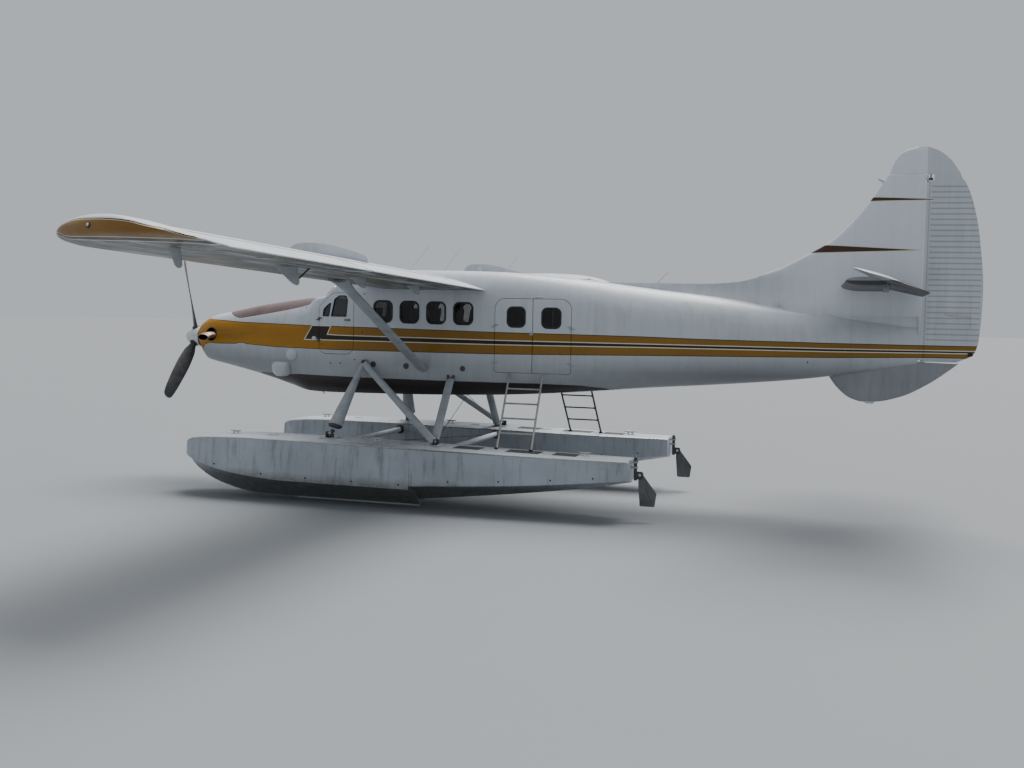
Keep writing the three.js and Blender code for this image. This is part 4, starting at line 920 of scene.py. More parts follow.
# Cowl: skin with the exhaust openings, and the front face with its round hole
def cowl():
    shape = Skin()
    for side, _ in SIDES:
        hole = []
        for t in np.linspace(0, 2 * math.pi, 40, endpoint=False):
            x, z = EXHAUST_X + EXHAUST_HOLE * math.cos(t), EXHAUST_Z + EXHAUST_HOLE * math.sin(t)
            hole.append((x, SURFACE.by_height(x, z) * V_SCALE))
        hole = np.array(hole)
        skin(shape, side, strip_loop(NOSE, FIREWALL - 0.0005), [hole], 0.010)
    ring = whole_ring(NOSE, 41)
    rows = []
    for share in (0.0, 0.2, 0.7, 1.0):
        turn = np.linspace(0, 2 * math.pi, len(ring), endpoint=False)
        circle = np.column_stack([0.085 * np.sin(turn), -0.017 + 0.085 * np.cos(turn)])
        flat = np.array(ring) * (1 - share) + circle * share
        depth = NOSE - 0.004 * math.sin(share * math.pi)
        rows.append(np.column_stack([np.full(len(ring), depth), flat]))
    rows.append(np.column_stack([np.full(len(ring), NOSE + 0.040), circle]))
    start = len(shape.verts)
    shape.loft(rows, 0, caps=False)
    shape.faces[:] = [f if min(f) < start else f[::-1] for f in shape.faces]
    shape.normals.extend([(-1, 0, 0)] * (4 * len(ring)))
    shape.normals.extend([(0, -math.sin(t), -math.cos(t))
                          for t in np.linspace(0, 2 * math.pi, len(ring), endpoint=False)])
    shape.finish("cowl_skin", ["cowl", "dark_metal"], "airframe", "white_skin", ["engine_cowl"])


def cabin():
    shape = Skin()
    for side, _ in SIDES:
        holes = [to_sheet(grown(DOOR["cockpit"], CLEAR))]
        holes += [to_sheet(w, 0.012) for w in CABIN_WINDOWS]
        holes.append(to_sheet(grown(CARGO_WHOLE if side == PORT else DOOR["starboard"], CLEAR)))
        screen = screen_loop()
        outer = dense([(3.045, 0.0), (CABIN_END, 0.0), (CABIN_END, V_SCALE), (FIREWALL, V_SCALE),
                       (FIREWALL, 0.0),
                       (2.680, 0.0)], 0.03, closed=False)
        loop = np.vstack([outer, screen[1:-1]])
        skin(shape, side, loop, holes, 0.045)
    shape.finish("cabin_skin", ["cabin", "lining"], "airframe", "white_skin", ["cabin_shell"])


def tail_cone():
    shape = Skin()
    for side, _ in SIDES:
        skin(shape, side, strip_loop(CABIN_END + 0.0005, TAIL_END), [], 0.010)
    ring = [(TAIL_END, y, z) for y, z in whole_ring(TAIL_END, 31)]
    shape.put(ring, [tuple(range(len(ring)))[::-1]], 0)
    shape.normals.extend([(1, 0, 0)] * len(ring))
    shape.finish("tail_skin", ["tail", "lining"], "airframe", "white_skin", ["tail_cone"])


def door(name, side, outline, holes, body):
    shape = Skin()
    skin(shape, side, to_sheet(outline, 0.012), [to_sheet(h, 0.012) for h in holes], 0.045, grid=0.035)
    shape.finish(name, ["cabin", "lining"], body, "white_skin", [body])


cowl()
cabin()
tail_cone()
for side, word in SIDES:
    door(f"cockpit_leaf_{word}", side, DOOR["cockpit"], [COCKPIT_PANE, QUARTER_PANE],
         f"cockpit_door_{word}")
door("cargo_leaf_front", PORT, DOOR["cargo_front"], [CARGO_WINDOWS["front"]], "cargo_door_front")
door("cargo_leaf_rear", PORT, DOOR["cargo_rear"], [CARGO_WINDOWS["rear"]], "cargo_door_rear")
door("cabin_leaf_starboard", STARBOARD, DOOR["starboard"], [CARGO_WINDOWS["starboard"]],
     "cabin_door_starboard")


# Wing paint: a yellow wedge round the tip between two heights, thin lines beside it, rivet rows.
# Each table gives a height, or a span station for the edges, over the station along the body.
TIP_TOP = [
    (0.0, 1.20), (3.80, 1.205), (4.00, 1.245), (4.185, 1.278), (4.36, 1.311), (4.51, 1.313), (4.81, 1.304),
    (4.93, 1.297), (5.04, 1.288), (5.15, 1.274), (5.24, 1.251), (5.33, 1.232), (5.41, 1.218), (5.49, 1.193),
    (5.55, 1.174), (5.60, 1.156), (5.66, 1.142), (13.0, 1.10),
]
TIP_LOW = [
    (0.0, 1.26), (3.80, 1.240), (4.00, 1.220), (4.16, 1.199), (4.22, 1.177), (4.32, 1.169), (4.48, 1.164),
    (4.73, 1.159), (4.93, 1.157), (5.12, 1.153), (5.29, 1.150), (5.47, 1.146), (5.60, 1.139), (13.0, 1.13),
]
TIP_EDGE = [
    (0.0, 8.10), (4.10, 8.20), (4.40, 8.45), (4.80, 8.66), (5.10, 8.72), (5.30, 8.72), (5.45, 8.68),
    (5.60, 8.58),
    (13.0, 8.5),
]
UNDER_EDGE = [(0.0, 8.05), (13.0, 8.05)]


def wing_paint(name, base, worn, edge, outer_line):
    g = Graph(name, rough=0.4)
    x, y, z = g.datum()
    out = g.math("ABSOLUTE", y)
    color = weathered(g, base, worn, 0.9)
    chord = g.noise((0.7, 10.0, 1.0), 5, 0.6)
    color = g.mix(g.mul(g.ramp(chord, 0.5, 0.75), 0.5), color, worn)
    # Underside only: tan and silver painted reflections, and dark painted shade streaks
    if not outer_line:
        tan_reflection = g.noise((1.1, 0.7, 1.0), 4, 0.6)
        color = g.mix(g.mul(g.ramp(tan_reflection, 0.50, 0.60), 0.65), color, (0.20, 0.155, 0.085))
        silver_reflection = g.noise((4.2, 0.50, 1.0), 5, 0.62)
        color = g.mix(g.ramp(silver_reflection, 0.53, 0.60), color, (0.42, 0.44, 0.45))
        shade_streaks = g.noise((3.4, 0.42, 2.0), 4, 0.62)
        color = g.mix(g.mul(g.ramp(shade_streaks, 0.53, 0.62), 0.80), color, (0.055, 0.058, 0.058))
    beyond = g.above(out, g.mul(g.add(g.curve(x, [(a, b / 10 - 0.5) for a, b in edge]), 0.5), 10.0))
    over = g.sub(z, g.add(g.curve(x, [(a, b - 1.2) for a, b in TIP_TOP]), 1.2))
    under = g.sub(g.add(g.curve(x, [(a, b - 1.2) for a, b in TIP_LOW]), 1.2), z)
    past = g.high(over, under)
    wear = g.noise((3, 3, 3), 4)
    yellow = g.mix(g.ramp(wear, 0.35, 0.75), YELLOW, YELLOW_DEEP)
    yellow = g.mix(0.55, yellow, (0.090, 0.048, 0.004))
    wide = 0.011 if outer_line else 0.020
    lines = g.mix(g.above(past, 0.0), yellow, PALE_LINE)
    lines = g.mix(g.above(past, 0.005), lines, BROWN)
    lines = g.mix(g.above(past, 0.005 + wide), lines, PALE_LINE)
    within = g.both(beyond, g.below(past, 0.010 + wide))
    color = g.mix(within, color, lines)
    seam = groove(g, out, 0.76, 0.10)
    g.raise_by(g.rivets(out, x, 0.38, 0.0, start=0.10), 0.0008)
    g.raise_by(g.rivets(x, out, 0.42, 0.0, start=3.93), 0.0008)
    g.raise_by(g.noise((2.5, 2.5, 2.5), 2), 0.005)
    g.set("Base Color", g.mix(g.mul(seam, 0.35), color, SOOT))
    g.set("Roughness", g.ramp(g.noise((3, 3, 3), 5), 0.3, 0.75, 0.30, 0.52))
    return g.done()


M["wing_upper"] = wing_paint("wing_upper_paint", WHITE, WHITE_WORN, TIP_EDGE, True)
# The underside's dark grey base is painted shade under the wing
M["wing_under"] = wing_paint("wing_under_paint_and_shade", (0.150, 0.155, 0.152), (0.10, 0.10, 0.092), UNDER_EDGE,
                             False)

# Wing sections: span station, leading edge set back, chord, thickness, lift
WING = np.array([
    [0.560, 0, 1.976, 0.285, 0], [7.750, 0, 1.976, 0.2708, 0], [8.030, 0.086, 1.890, 0.266, 0],
    [8.276, 0.206, 1.770, 0.258, 0], [8.480, 0.386, 1.590, 0.244, 0.002],
    [8.620, 0.586, 1.320, 0.218, 0.006],
    [8.760, 0.886, 0.900, 0.165, 0.012], [8.830, 1.186, 0.400, 0.090, 0.020],
    [8.845, 1.320, 0.160, 0.040, 0.024],
])
INCIDENCE = 0.0556
HINGE_SHARE = 0.75
FLAP = (0.900, 4.880)
AILERON = (4.920, 8.130)


def wing_at(y, plain_tip=False):
    """Set back, chord, thickness and lift; the flaps keep the plain section out to their ends."""
    if y <= WING[1, 0] or plain_tip:
        share = (y - WING[0, 0]) / (WING[1, 0] - WING[0, 0])
        return list(WING[0, 1:] + (WING[1, 1:] - WING[0, 1:]) * share)
    return row_at(WING, y)


def half_thickness(t):
    return 5 * (0.2969 * np.sqrt(t) - 0.126 * t - 0.3516 * t**2 + 0.2843 * t**3 - 0.1015 * t**4)


def camber(t):
    front = (0.035 / 0.16) * (0.8 * t - t * t)
    rear = (0.035 / 0.36) * (0.2 + 0.8 * t - t * t)
    return np.where(t < 0.4, front, rear)


def wing_points(y, shares, way, plain_tip=False):
    """Points of a wing section to port, upper for way 1 and lower for way -1."""
    back, chord, thick, lift = wing_at(y, plain_tip)
    t = np.asarray(shares, float)
    up = camber(t) * chord + way * (half_thickness(t) * thick + 0.003)
    c, s = math.cos(INCIDENCE), math.sin(INCIDENCE)
    x = 3.714 + back + t * chord * c + up * s
    z = 0.954 + 0.0351 * (y - 0.8) + lift - t * chord * s + up * c
    return np.column_stack([x, np.full(len(t), -y), z])


def wing_hinge(y):
    up, low = (wing_points(y, [HINGE_SHARE], way, True)[0] for way in (1, -1))
    return (up[0] + low[0]) / 2, (up[2] + low[2]) / 2, (up[2] - low[2]) / 2


COSINE = 0.5 - 0.5 * np.cos(np.linspace(0, math.pi, 34))


def wing_section(y, stop=None):
    """A closed section: upper from the rear to the nose, then lower to the rear, cut off at a station."""
    shares_up = shares_low = COSINE
    if stop is not None:
        shares_up = COSINE * np.interp(stop, wing_points(y, COSINE, 1)[:, 0], COSINE)
        shares_low = COSINE * np.interp(stop, wing_points(y, COSINE, -1)[:, 0], COSINE)
    return np.vstack([wing_points(y, shares_up, 1)[::-1], wing_points(y, shares_low, -1)])


# The fence: its span station, and its crest as share of the chord and height over the wing
FENCE_Y = 3.5
FENCE_CREST = [(0.030, 0.0), (0.040, 0.10), (0.055, 0.165), (0.08, 0.196), (0.12, 0.203), (0.2, 0.188),
               (0.3, 0.170),
               (0.4, 0.148), (0.5, 0.124), (0.6, 0.103), (0.632, 0.090), (0.642, 0.060)]


# Thin rod under the wing, inboard of the aileron's inner bracket
ROD_Y = 5.34
# Brackets that carry the flaps and ailerons: span station, front and rear as shares of the chord, depth
BRACKETS = ((1.9, 0.56, 0.69, 0.130), (3.75, 0.55, 0.69, 0.145), (5.6, 0.5, 0.695, 0.215),
            (7.95, 0.6, 0.69, 0.190))


def loft_wing(shape, rings, side, under_from):
    """A loft of wing sections; its quads from a place in the ring on take the underside's paint."""
    first, start = len(shape.verts), len(shape.faces)
    rings = np.array(rings) * [1, -side, 1]
    shape.loft(rings, 0)
    for k in range(start, len(shape.faces)):
        places = [(i - first) % rings.shape[1] for i in shape.faces[k]]
        if len(places) == 4 and min(places) >= under_from and max(places) - min(places) < 3:
            shape.mats[k] = 1


def wing():
    for side, word in SIDES:
        shape = Shape()

        def run(stations, stop=None):
            rings = [wing_section(y, stop(y) if stop else None) for y in stations]
            loft_wing(shape, rings, side, len(COSINE) - 1)

        def well(y):
            x, _, r = wing_hinge(y)
            return x - r - CLEAR

        run([0.62, FLAP[0]])
        run([FLAP[0], *np.arange(1.3, 4.6, 0.4), FLAP[1]], well)
        run([FLAP[1], AILERON[0]], lambda y: wing_hinge(FLAP[1])[0] + 0.045)
        run([AILERON[0], *np.arange(5.3, 7.6, 0.4), *np.arange(7.75, 8.1, 0.05), AILERON[1]], well)
        run([AILERON[1], *np.arange(8.20, 8.56, 0.04), *np.arange(8.58, 8.76, 0.022), 8.775, 8.79, 8.803,
             8.815, 8.825,
             8.833, 8.84, 8.845])
        # Brackets: thin fairings with rounded ends
        for y, front, rear, deep in BRACKETS:
            a, b = (wing_points(y, [share], -1, True)[0] for share in (front, rear))
            rings = []
            for t in (0, 0.15, 0.3, 0.45, 0.6, 0.72, 0.82, 0.89, 0.94, 0.975, 0.995):
                z = (1 - t) * (a[2] + 0.02) + t * (b[2] - deep)
                blunt = math.sqrt(1 - max(0.0, (t - 0.80) / 0.20) ** 2)
                x0 = a[0] + 0.02 + (b[0] - 0.085 - a[0]) * t ** 0.85
                x1 = b[0] - 0.015 + 0.030 * t
                middle, half = (x0 + x1) / 2, max(0.004, (x1 - x0) / 2 * blunt)
                x0, x1 = middle - half, middle + half
                wide = 0.019 * (1 - 0.45 * t * t)
                turn = np.linspace(0, 2 * math.pi, 24, endpoint=False)
                across = np.sign(np.sin(turn)) * np.abs(np.sin(turn)) ** 0.7 * wide
                along = (x0 + x1) / 2 + np.cos(turn) * (x1 - x0) / 2
                rings.append(np.column_stack([along, side * y + across, np.full(24, z)]))
            shape.loft(rings, 2)
        top, low = wing_points(ROD_Y, [0.70], -1, True)[0], wing_points(ROD_Y, [0.64], -1, True)[0]
        shape.tube([(top[0], side * ROD_Y, top[2] + 0.01), (low[0], side * (ROD_Y + 0.08), low[2] - 0.135)],
                   0.011, 10, 4)
        # Fence over the leading edge
        shares = np.concatenate([np.linspace(0.030, 0.12, 14), np.linspace(0.14, 0.642, 34)])
        base = wing_points(FENCE_Y, shares, 1)
        high = monotone_all([s for s, _ in FENCE_CREST], [h for _, h in FENCE_CREST], shares)
        outline = [(p[0], p[2] - 0.02) for p in base]
        outline += [(p[0], p[2] + h) for p, h in zip(base[::-1], high[::-1])]
        shape.prism(outline, side * FENCE_Y - 0.004, side * FENCE_Y + 0.004, "y", 0)
        foot = [(p[0], side * FENCE_Y, p[2] + 0.002) for p in base]
        shape.tube(foot, 0.007, 8, 0)
        # Light on the tip's face, on an oval base
        lamp = np.array([4.652, side * 8.778, 1.258])
        shape.lathe([(-0.02, 0.030), (0.002, 0.029), (0.005, 0.024)], lamp, (-0.35, side, 0.35), 24, 4)
        shape.lathe([(0.003, 0.016), (0.008, 0.015), (0.013, 0.010), (0.015, 0.004)], lamp,
                    (-0.35, side, 0.35), 20, 3)
        shape.make(f"wing_skin_{word}", ["wing_upper", "wing_under", "grey", "lamp", "dark_metal"],
                   "airframe", "white_skin",
                   [f"wing_{word}"], sharp=40)


def trailing_flap(name, body, side, span):
    shape = Shape()
    shares = np.linspace(HINGE_SHARE + 0.012, 1.0, 16)
    rings = []
    stations = np.linspace(span[0] + CLEAR, span[1] - CLEAR, 9)
    for y in stations:
        x, z, r = wing_hinge(y)
        upper = wing_points(y, shares, 1, True)[::-1]
        lower = wing_points(y, shares, -1, True)
        turns = np.linspace(math.pi / 2, 3 * math.pi / 2, 17)
        nose = np.column_stack([x + r * np.cos(turns), np.full(17, -y), z + r * np.sin(turns)])
        rings.append(np.vstack([upper, nose, lower]))
    loft_wing(shape, rings, side, len(shares) + 9)
    for y in stations[1:-1:2]:
        lower = wing_points(y, [0.80, 0.97], -1, True)
        x, _, z = lower[0]
        shape.box((x, side * y - 0.012, z - 0.008), (x + 0.20, side * y + 0.012, z + 0.010), 0.003, 2)
    pin = [(wing_hinge(y), y) for y in (span[0] - 0.012, span[1] + 0.012)]
    shape.bar(*[(h[0], side * y, h[1]) for h, y in pin], 0.0135, sides=16, mat=3)
    shape.make(name, ["wing_upper", "wing_under", "grey", "steel"], body, "white_skin", [body], sharp=35)


wing()
for side, word in SIDES:
    trailing_flap(f"flap_skin_{word}", f"flap_{word}", side, FLAP)
    trailing_flap(f"aileron_skin_{word}", f"aileron_{word}", side, AILERON)


# Tail: fin with its dorsal fillet, corrugated rudder, stabilizer, elevators and ventral fin.
# Fin: height, leading edge, thickness. Rudder: height, trailing edge, thickness. Horn: height, nose, rear,
# thickness. Dorsal fillet: station, top, half width at its foot.
FIN = np.array([
    [0.560, 9.400, 0.170], [1.116, 9.685, 0.165], [1.225, 9.977, 0.160], [1.393, 10.299, 0.155],
    [1.617, 10.688, 0.148], [1.944, 11.030, 0.138], [2.226, 11.250, 0.128], [2.560, 11.460, 0.118],
])
RUDDER = np.array([
    [-0.075, 12.480, 0.104], [0.046, 12.702, 0.108], [0.263, 12.762, 0.112], [0.906, 12.790, 0.120],
    [1.652, 12.721, 0.118], [2.007, 12.657, 0.114], [2.327, 12.561, 0.108], [2.566, 12.440, 0.100],
])
HORN = np.array([
    [2.574, 11.478, 12.436, 0.100], [2.755, 11.548, 12.309, 0.084], [2.900, 11.676, 12.136, 0.060],
    [2.958, 11.850, 11.990, 0.020],
])
DORSAL = np.array([
    [7.330, 1.004, 0.020], [8.200, 1.000, 0.150], [8.860, 0.997, 0.210], [9.390, 1.031, 0.230],
    [9.685, 1.100, 0.230], [10.300, 1.300, 0.190], [11.000, 1.000, 0.140], [11.971, 0.900, 0.084],
])
RUDDER_X = 12.040
FIN_REAR = 11.971
NECK_X = 12.087
RIB_PITCH = 0.077
# The trim tab's front edge: station, lower and upper end
TAB_X, TAB_LOW, TAB_HIGH = 12.640, 0.405, 1.012
ELEVATOR_X, ELEVATOR_Z = 11.560, 0.985


def mirror(line):
    """The points across the middle plane, in reverse order."""
    return [(x, -y, z) for x, y, z in line[::-1]]


def upright_ring(x, half, level):
    """A closed section at a height, from half widths."""
    z = np.full(len(x), level)
    return np.vstack([np.column_stack([x, half, z]), np.column_stack([x, -half, z])[::-1]])


def lying_ring(x, half, across):
    """A closed section of the tailplane at a span station, from half thicknesses."""
    y = np.full(len(x), across)
    return np.vstack([np.column_stack([x, y, ELEVATOR_Z + half]),
                      np.column_stack([x, y, ELEVATOR_Z - half])[::-1]])


def tail_half(t):
    return np.sqrt(np.minimum(1, 1 - (1 - np.minimum(np.asarray(t) / 0.45, 1)) ** 2))


def closed_section(nose, rear, thick, count=18, least=0.005, taper=False):
    """Half widths along a tail section, blunt at its rear or tapered to a thin edge."""
    t = 0.5 - 0.5 * np.cos(np.linspace(0, math.pi * (1 if taper else 0.75), count))
    t = t / t[-1]
    half = np.maximum(least, thick / 2 * tail_half(t))
    if taper:
        half = np.where(t < 0.45, half, thick / 2 * (1 - 0.9 * (t - 0.45) / 0.55))
        half = np.maximum(half, least)
    half[0] = 0.001
    return nose + t * (rear - nose), half


def fin():
    shape = Shape()
    rings = []
    for z in np.unique(np.concatenate([np.linspace(0.560, 2.560, 44), FIN[:, 0]])):
        lead, thick = row_at(FIN, z)
        rings.append(upright_ring(*closed_section(lead, FIN_REAR, thick), z))
    shape.loft(rings, 0)
    rings = []
    for x in np.unique(np.concatenate([np.linspace(7.330, 11.971, 70), DORSAL[:, 0]])):
        top, base = row_at(DORSAL, x)
        foot = station(min(x, TAIL_END))[0] - 0.180
        high = top - foot
        line = []
        for t in np.linspace(0, 1, 14):
            reach = 0.012 + (base - 0.012) * ((1 - t) ** 1.9 * 0.75 + (1 - t) * 0.25)
            if high * t < 0.175:
                reach = min(reach, SURFACE.on_side(min(x, 11.95), foot + high * t, 1)[1] - 0.004)
            line.append((x, reach, foot + high * t))
        crown = [(x, 0.007, top + 0.001), (x, -0.007, top + 0.001)]
        rings.append(line + crown + mirror(line))
    shape.loft(rings, 0)
    post = [(TAIL_END - 0.03, 0.9), (FIN_REAR, 0.9), (FIN_REAR, -0.04), (TAIL_END - 0.03, -0.04)]
    shape.prism(post, -0.055, 0.055, "y", 0)
    shape.box((FIN_REAR - 0.02, -0.028, 2.492), (12.012, 0.028, 2.556), 0.004, 0)
    for way in (-1, 1):
        lip = []
        for z in np.linspace(-0.055, 2.455, 60):
            y = float(np.interp(z, [-0.06, 0.15, 0.56, 1.1, 2.46], [0.071, 0.0745, 0.0855, 0.083, 0.0665]))
            inner = min(0.0585, y - 0.012) if z < 0.56 else y - 0.012
            lip.append([(11.930, way * (inner - 0.006), z), (11.950, way * y, z),
                        (12.024, way * (y - 0.004), z),
                        (12.024, way * (y - 0.008), z), (11.970, way * (y - 0.012), z)])
        shape.loft(lip, 0)
    lug = panel((FIN_REAR - 0.02, -0.018), (RUDDER_X + 0.03, 0.018), 0.016)
    shape.prism(lug, 2.490, 2.520, "z", 2)
    shape.make("fin_skin", ["tail", "rubber", "dark_metal"], "airframe", "white_skin", ["fin"], sharp=35)


def corrugation(z):
    """Height of the rudder's ribs, from 0 to 1."""
    phase = ((z - 0.22) / RIB_PITCH) % 1.0
    return math.exp(-(((phase - 0.5) / 0.13) ** 2))


def rudder():
    shape = Shape()
    rings = []
    levels = np.unique(np.concatenate([np.arange(-0.075, 2.4825, 0.0096), [2.4825]]))
    for z in levels:
        trail, thick = row_at(RUDDER, z)
        r = thick / 2
        turns = np.linspace(math.pi / 2, math.pi, 9)
        nose = [(RUDDER_X + r * math.cos(t), r * math.sin(t), z) for t in turns]
        flank = []
        for t in np.linspace(0, 1, 14)[1:]:
            half = r + (0.005 - r) * t
            fade = min(1, t / 0.04) * min(1, (1 - t) / 0.03) if 0.20 < z < 2.45 else 0
            flank.append((RUDDER_X + t * (trail - RUDDER_X), half + 0.0060 * fade * corrugation(z), z))
        side = flank[::-1] + nose
        rings.append(side + mirror(side)[1:])
    shape.loft(rings, 0)
    rings = []
    for z in np.linspace(2.574, 2.958, 20):
        rings.append(upright_ring(*closed_section(*row_at(HORN, z), 22, 0.004, True), z))
    shape.loft(rings, 0)
    # The neck between the blade and the horn, behind the notch for the upper hinge
    neck = []
    for z in (2.4825, 2.53, 2.575):
        trail, _ = row_at(RUDDER, z)
        line = [(NECK_X, 0.046, z), (NECK_X + 0.5 * (trail - NECK_X), 0.028, z), (trail - 0.01, 0.005, z)]
        neck.append(line + mirror(line))
    shape.loft(neck, 0)
    shape.bar((RUDDER_X, 0, 2.4530), (RUDDER_X, 0, 2.600), 0.0135, mat=1)
    shape.bar((RUDDER_X, 0, -0.110), (RUDDER_X, 0, 0.0), 0.0135, mat=1)
    # Trim tab's front edge as a raised strip on each face, its rod, and the tail light
    r = 0.5 * row_at(RUDDER, 0.7)[1]
    t = (TAB_X - RUDDER_X) / (12.79 - RUDDER_X)
    for way in (-1, 1):
        y = way * (r + (0.005 - r) * t + 0.0045)
        shape.box((TAB_X - 0.006, y - 0.003, TAB_LOW), (TAB_X + 0.006, y + 0.003, TAB_HIGH), 0.002, 2)
        shape.tube([(12.30, way * 0.050, 0.60), (12.46, way * 0.052, 0.58), (12.64, way * 0.030, 0.57)],
                   0.006, 8, 1)
    shape.lathe([(0, 0.030), (0.03, 0.030), (0.055, 0.024), (0.07, 0.010)], (12.625, 0, 0.045),
                (1, 0, -0.15), 20, 3)
    shape.make("rudder_skin", ["tail", "steel", "tail", "black"], "rudder", "white_skin", ["rudder"],
               sharp=50)


def stabilizer():
    shape = Shape()
    for side, _ in SIDES:
        rings = []
        for y in np.linspace(0.0, 2.950, 12):
            lead = 10.870 + (11.020 - 10.870) * y / 2.95
            thick = 0.150 + (0.100 - 0.150) * y / 2.95
            rings.append(lying_ring(*closed_section(lead, 11.505, thick), side * y))
        shape.loft(rings, 0)
        for y in (0.9, 2.1):
            shape.box((11.45, side * y - 0.015, ELEVATOR_Z - 0.10),
                      (11.53, side * y + 0.015, ELEVATOR_Z - 0.03), 0.004, 1)
    shape.make("stabilizer_skin", ["tailplane", "grey"], "airframe", "grey_skin", ["stabilizer"], sharp=35)


# The elevator hangs by this angle at rest. Its horn: span station, nose, rear, thickness.
DROOP = math.radians(18)
ELEVATOR_HORN = np.array([
    [2.966, 11.070, 12.010, 0.078], [3.120, 11.110, 11.990, 0.060], [3.230, 11.330, 11.880, 0.020],
])


def drooped(points):
    p = np.array(points, float)
    x, z = p[..., 0] - ELEVATOR_X, p[..., 2] - ELEVATOR_Z
    p[..., 0] = ELEVATOR_X + x * math.cos(DROOP) + z * math.sin(DROOP)
    p[..., 2] = ELEVATOR_Z - x * math.sin(DROOP) + z * math.cos(DROOP)
    return p


def elevator():
    shape = Shape()
    for side, _ in SIDES:
        rings = []
        stations = np.linspace(0.130, 2.964, 150)
        for y in stations:
            thick = 0.096 + (0.080 - 0.096) * (y - 0.13) / 2.834
            r = thick / 2
            turns = np.linspace(math.pi / 2, math.pi, 8)
            nose = [(ELEVATOR_X + r * math.cos(t), side * y, ELEVATOR_Z + r * math.sin(t)) for t in turns]
            flank = []
            bead = math.exp(-((((y / 0.095) % 1.0 - 0.5) / 0.16) ** 2))
            for t in np.linspace(0, 1, 9)[1:]:
                fade = min(1, t / 0.1) * min(1, (1 - t) / 0.08)
                half = r + (0.005 - r) * t + 0.003 * fade * bead
                flank.append((ELEVATOR_X + t * 0.450, side * y, ELEVATOR_Z + half))
            top = flank[::-1] + nose
            rings.append(top + [(a, b, 2 * ELEVATOR_Z - c) for a, b, c in top[::-1]][1:])
        shape.loft(drooped(rings), 0)
        rings = []
        for y in np.linspace(2.966, 3.230, 14):
            rings.append(lying_ring(*closed_section(*row_at(ELEVATOR_HORN, y), 18, 0.004, True), side * y))
        shape.loft(drooped(rings), 0)
    shape.bar((ELEVATOR_X, -0.16, ELEVATOR_Z), (ELEVATOR_X, 0.16, ELEVATOR_Z), 0.0235, mat=1)
    shape.make("elevator_skin", ["tailplane", "steel"], "elevator", "grey_skin", ["elevator"], sharp=50)


# Lower edge of the ventral fin: station and height
VENTRAL = [
    (10.716, -0.290), (10.867, -0.491), (11.051, -0.633), (11.232, -0.681), (11.407, -0.673),
    (11.754, -0.586),
    (12.092, -0.408), (12.358, -0.216), (12.505, -0.095),
]


def ventral_fin():
    shape = Shape()
    edge = np.array(VENTRAL)
    run = np.concatenate([[0], np.cumsum(np.hypot(*np.diff(edge, axis=0).T))])
    even = np.linspace(0, run[-1], 48)
    x = monotone(run, edge[:, 0], even)
    z = monotone(run, edge[:, 1], even)
    top = np.interp(x, [10.716, 11.960, 12.060, 12.505], [-0.15, -0.075, -0.086, -0.094])
    rings = []
    for a, low, high in zip(x, z, top):
        levels = np.linspace(0, 1, 10)
        line = [(a, 0.002 + 0.026 * math.sqrt(min(1, t * 3.2)), low + (high - low) * t) for t in levels]
        rings.append(line + mirror(line))
    shape.loft(rings, 0)
    # Tie-down plate under it
    tag = softened([(11.245, -0.672), (11.395, -0.672), (11.375, -0.704), (11.265, -0.704)], 0.010)
    shape.prism(tag, -0.006, 0.006, "y", 1)
    shape.make("ventral_skin", ["tailplane", "white"], "airframe", "grey_skin", ["ventral_fin"], sharp=40)


def tailplane_paint():
    g = Graph("tailplane_paint", rough=0.38)
    _, y, z = g.datum()
    color = weathered(g, (0.27, 0.29, 0.31), (0.19, 0.20, 0.215), 0.8)
    # Painted shade: the lower faces of the stabilizer and elevators go near black
    under = g.both(g.above(g.math("ABSOLUTE", y), 0.12), g.below(z, 0.988), g.above(z, 0.60))
    g.set("Base Color", g.mix(g.mul(under, 0.95), color, (0.034, 0.036, 0.038)))
    g.set("Roughness", g.ramp(g.noise((2, 2, 6), 4), 0.3, 0.7, 0.30, 0.50))
    g.raise_by(g.noise((2.4, 2.4, 3.0), 2), 0.004)
    return g.done()


M["tailplane"] = tailplane_paint()
fin()
rudder()
stabilizer()
elevator()
ventral_fin()


# Floats: riveted sheet hulls with a step, edge strips, cleats, hatches and fittings
def float_paint():
    g = Graph("float_sheet", rough=0.42, metal=0.25)
    x, _, z = g.datum()
    big = g.noise((0.8, 2.0, 1.2), 5, 0.6)
    color = g.mix(g.ramp(big, 0.35, 0.7), (0.43, 0.475, 0.53), (0.325, 0.36, 0.40))
    streak = g.noise((12, 12, 1.4), 6, 0.65)
    color = g.mix(g.mul(g.ramp(streak, 0.52, 0.72), 0.5), color, (0.14, 0.14, 0.135))
    wet = g.add(g.mul(g.noise((2.5, 2.5, 2.5), 4), 0.16), -2.02)
    below = g.ramp(g.sub(wet, z), -0.02, 0.10)
    stained = g.mix(g.ramp(g.noise((9, 9, 22), 6, 0.7), 0.4, 0.6), (0.12, 0.115, 0.09), (0.20, 0.205, 0.20))
    color = g.mix(g.mul(below, 0.75), color, stained)
    bright = g.mul(g.ramp(g.noise((30, 30, 60), 5, 0.7), 0.60, 0.64), 0.5)
    color = g.mix(bright, color, (0.52, 0.53, 0.54))
    seam = groove(g, x, 0.62, 0.35)
    g.raise_by(g.rivets(x, z, 0.62, 0.014, start=0.35), 0.0012)
    g.raise_by(g.rivets(x, z, 0.31, 0.0, start=0.35), 0.0010)
    g.raise_by(g.noise((2.2, 2.2, 3.5), 2), 0.010)
    g.set("Base Color", g.mix(g.mul(seam, 0.45), color, SOOT))
    g.set("Roughness", g.ramp(streak, 0.35, 0.7, 0.34, 0.6))
    return g.done()


M["float"] = float_paint()
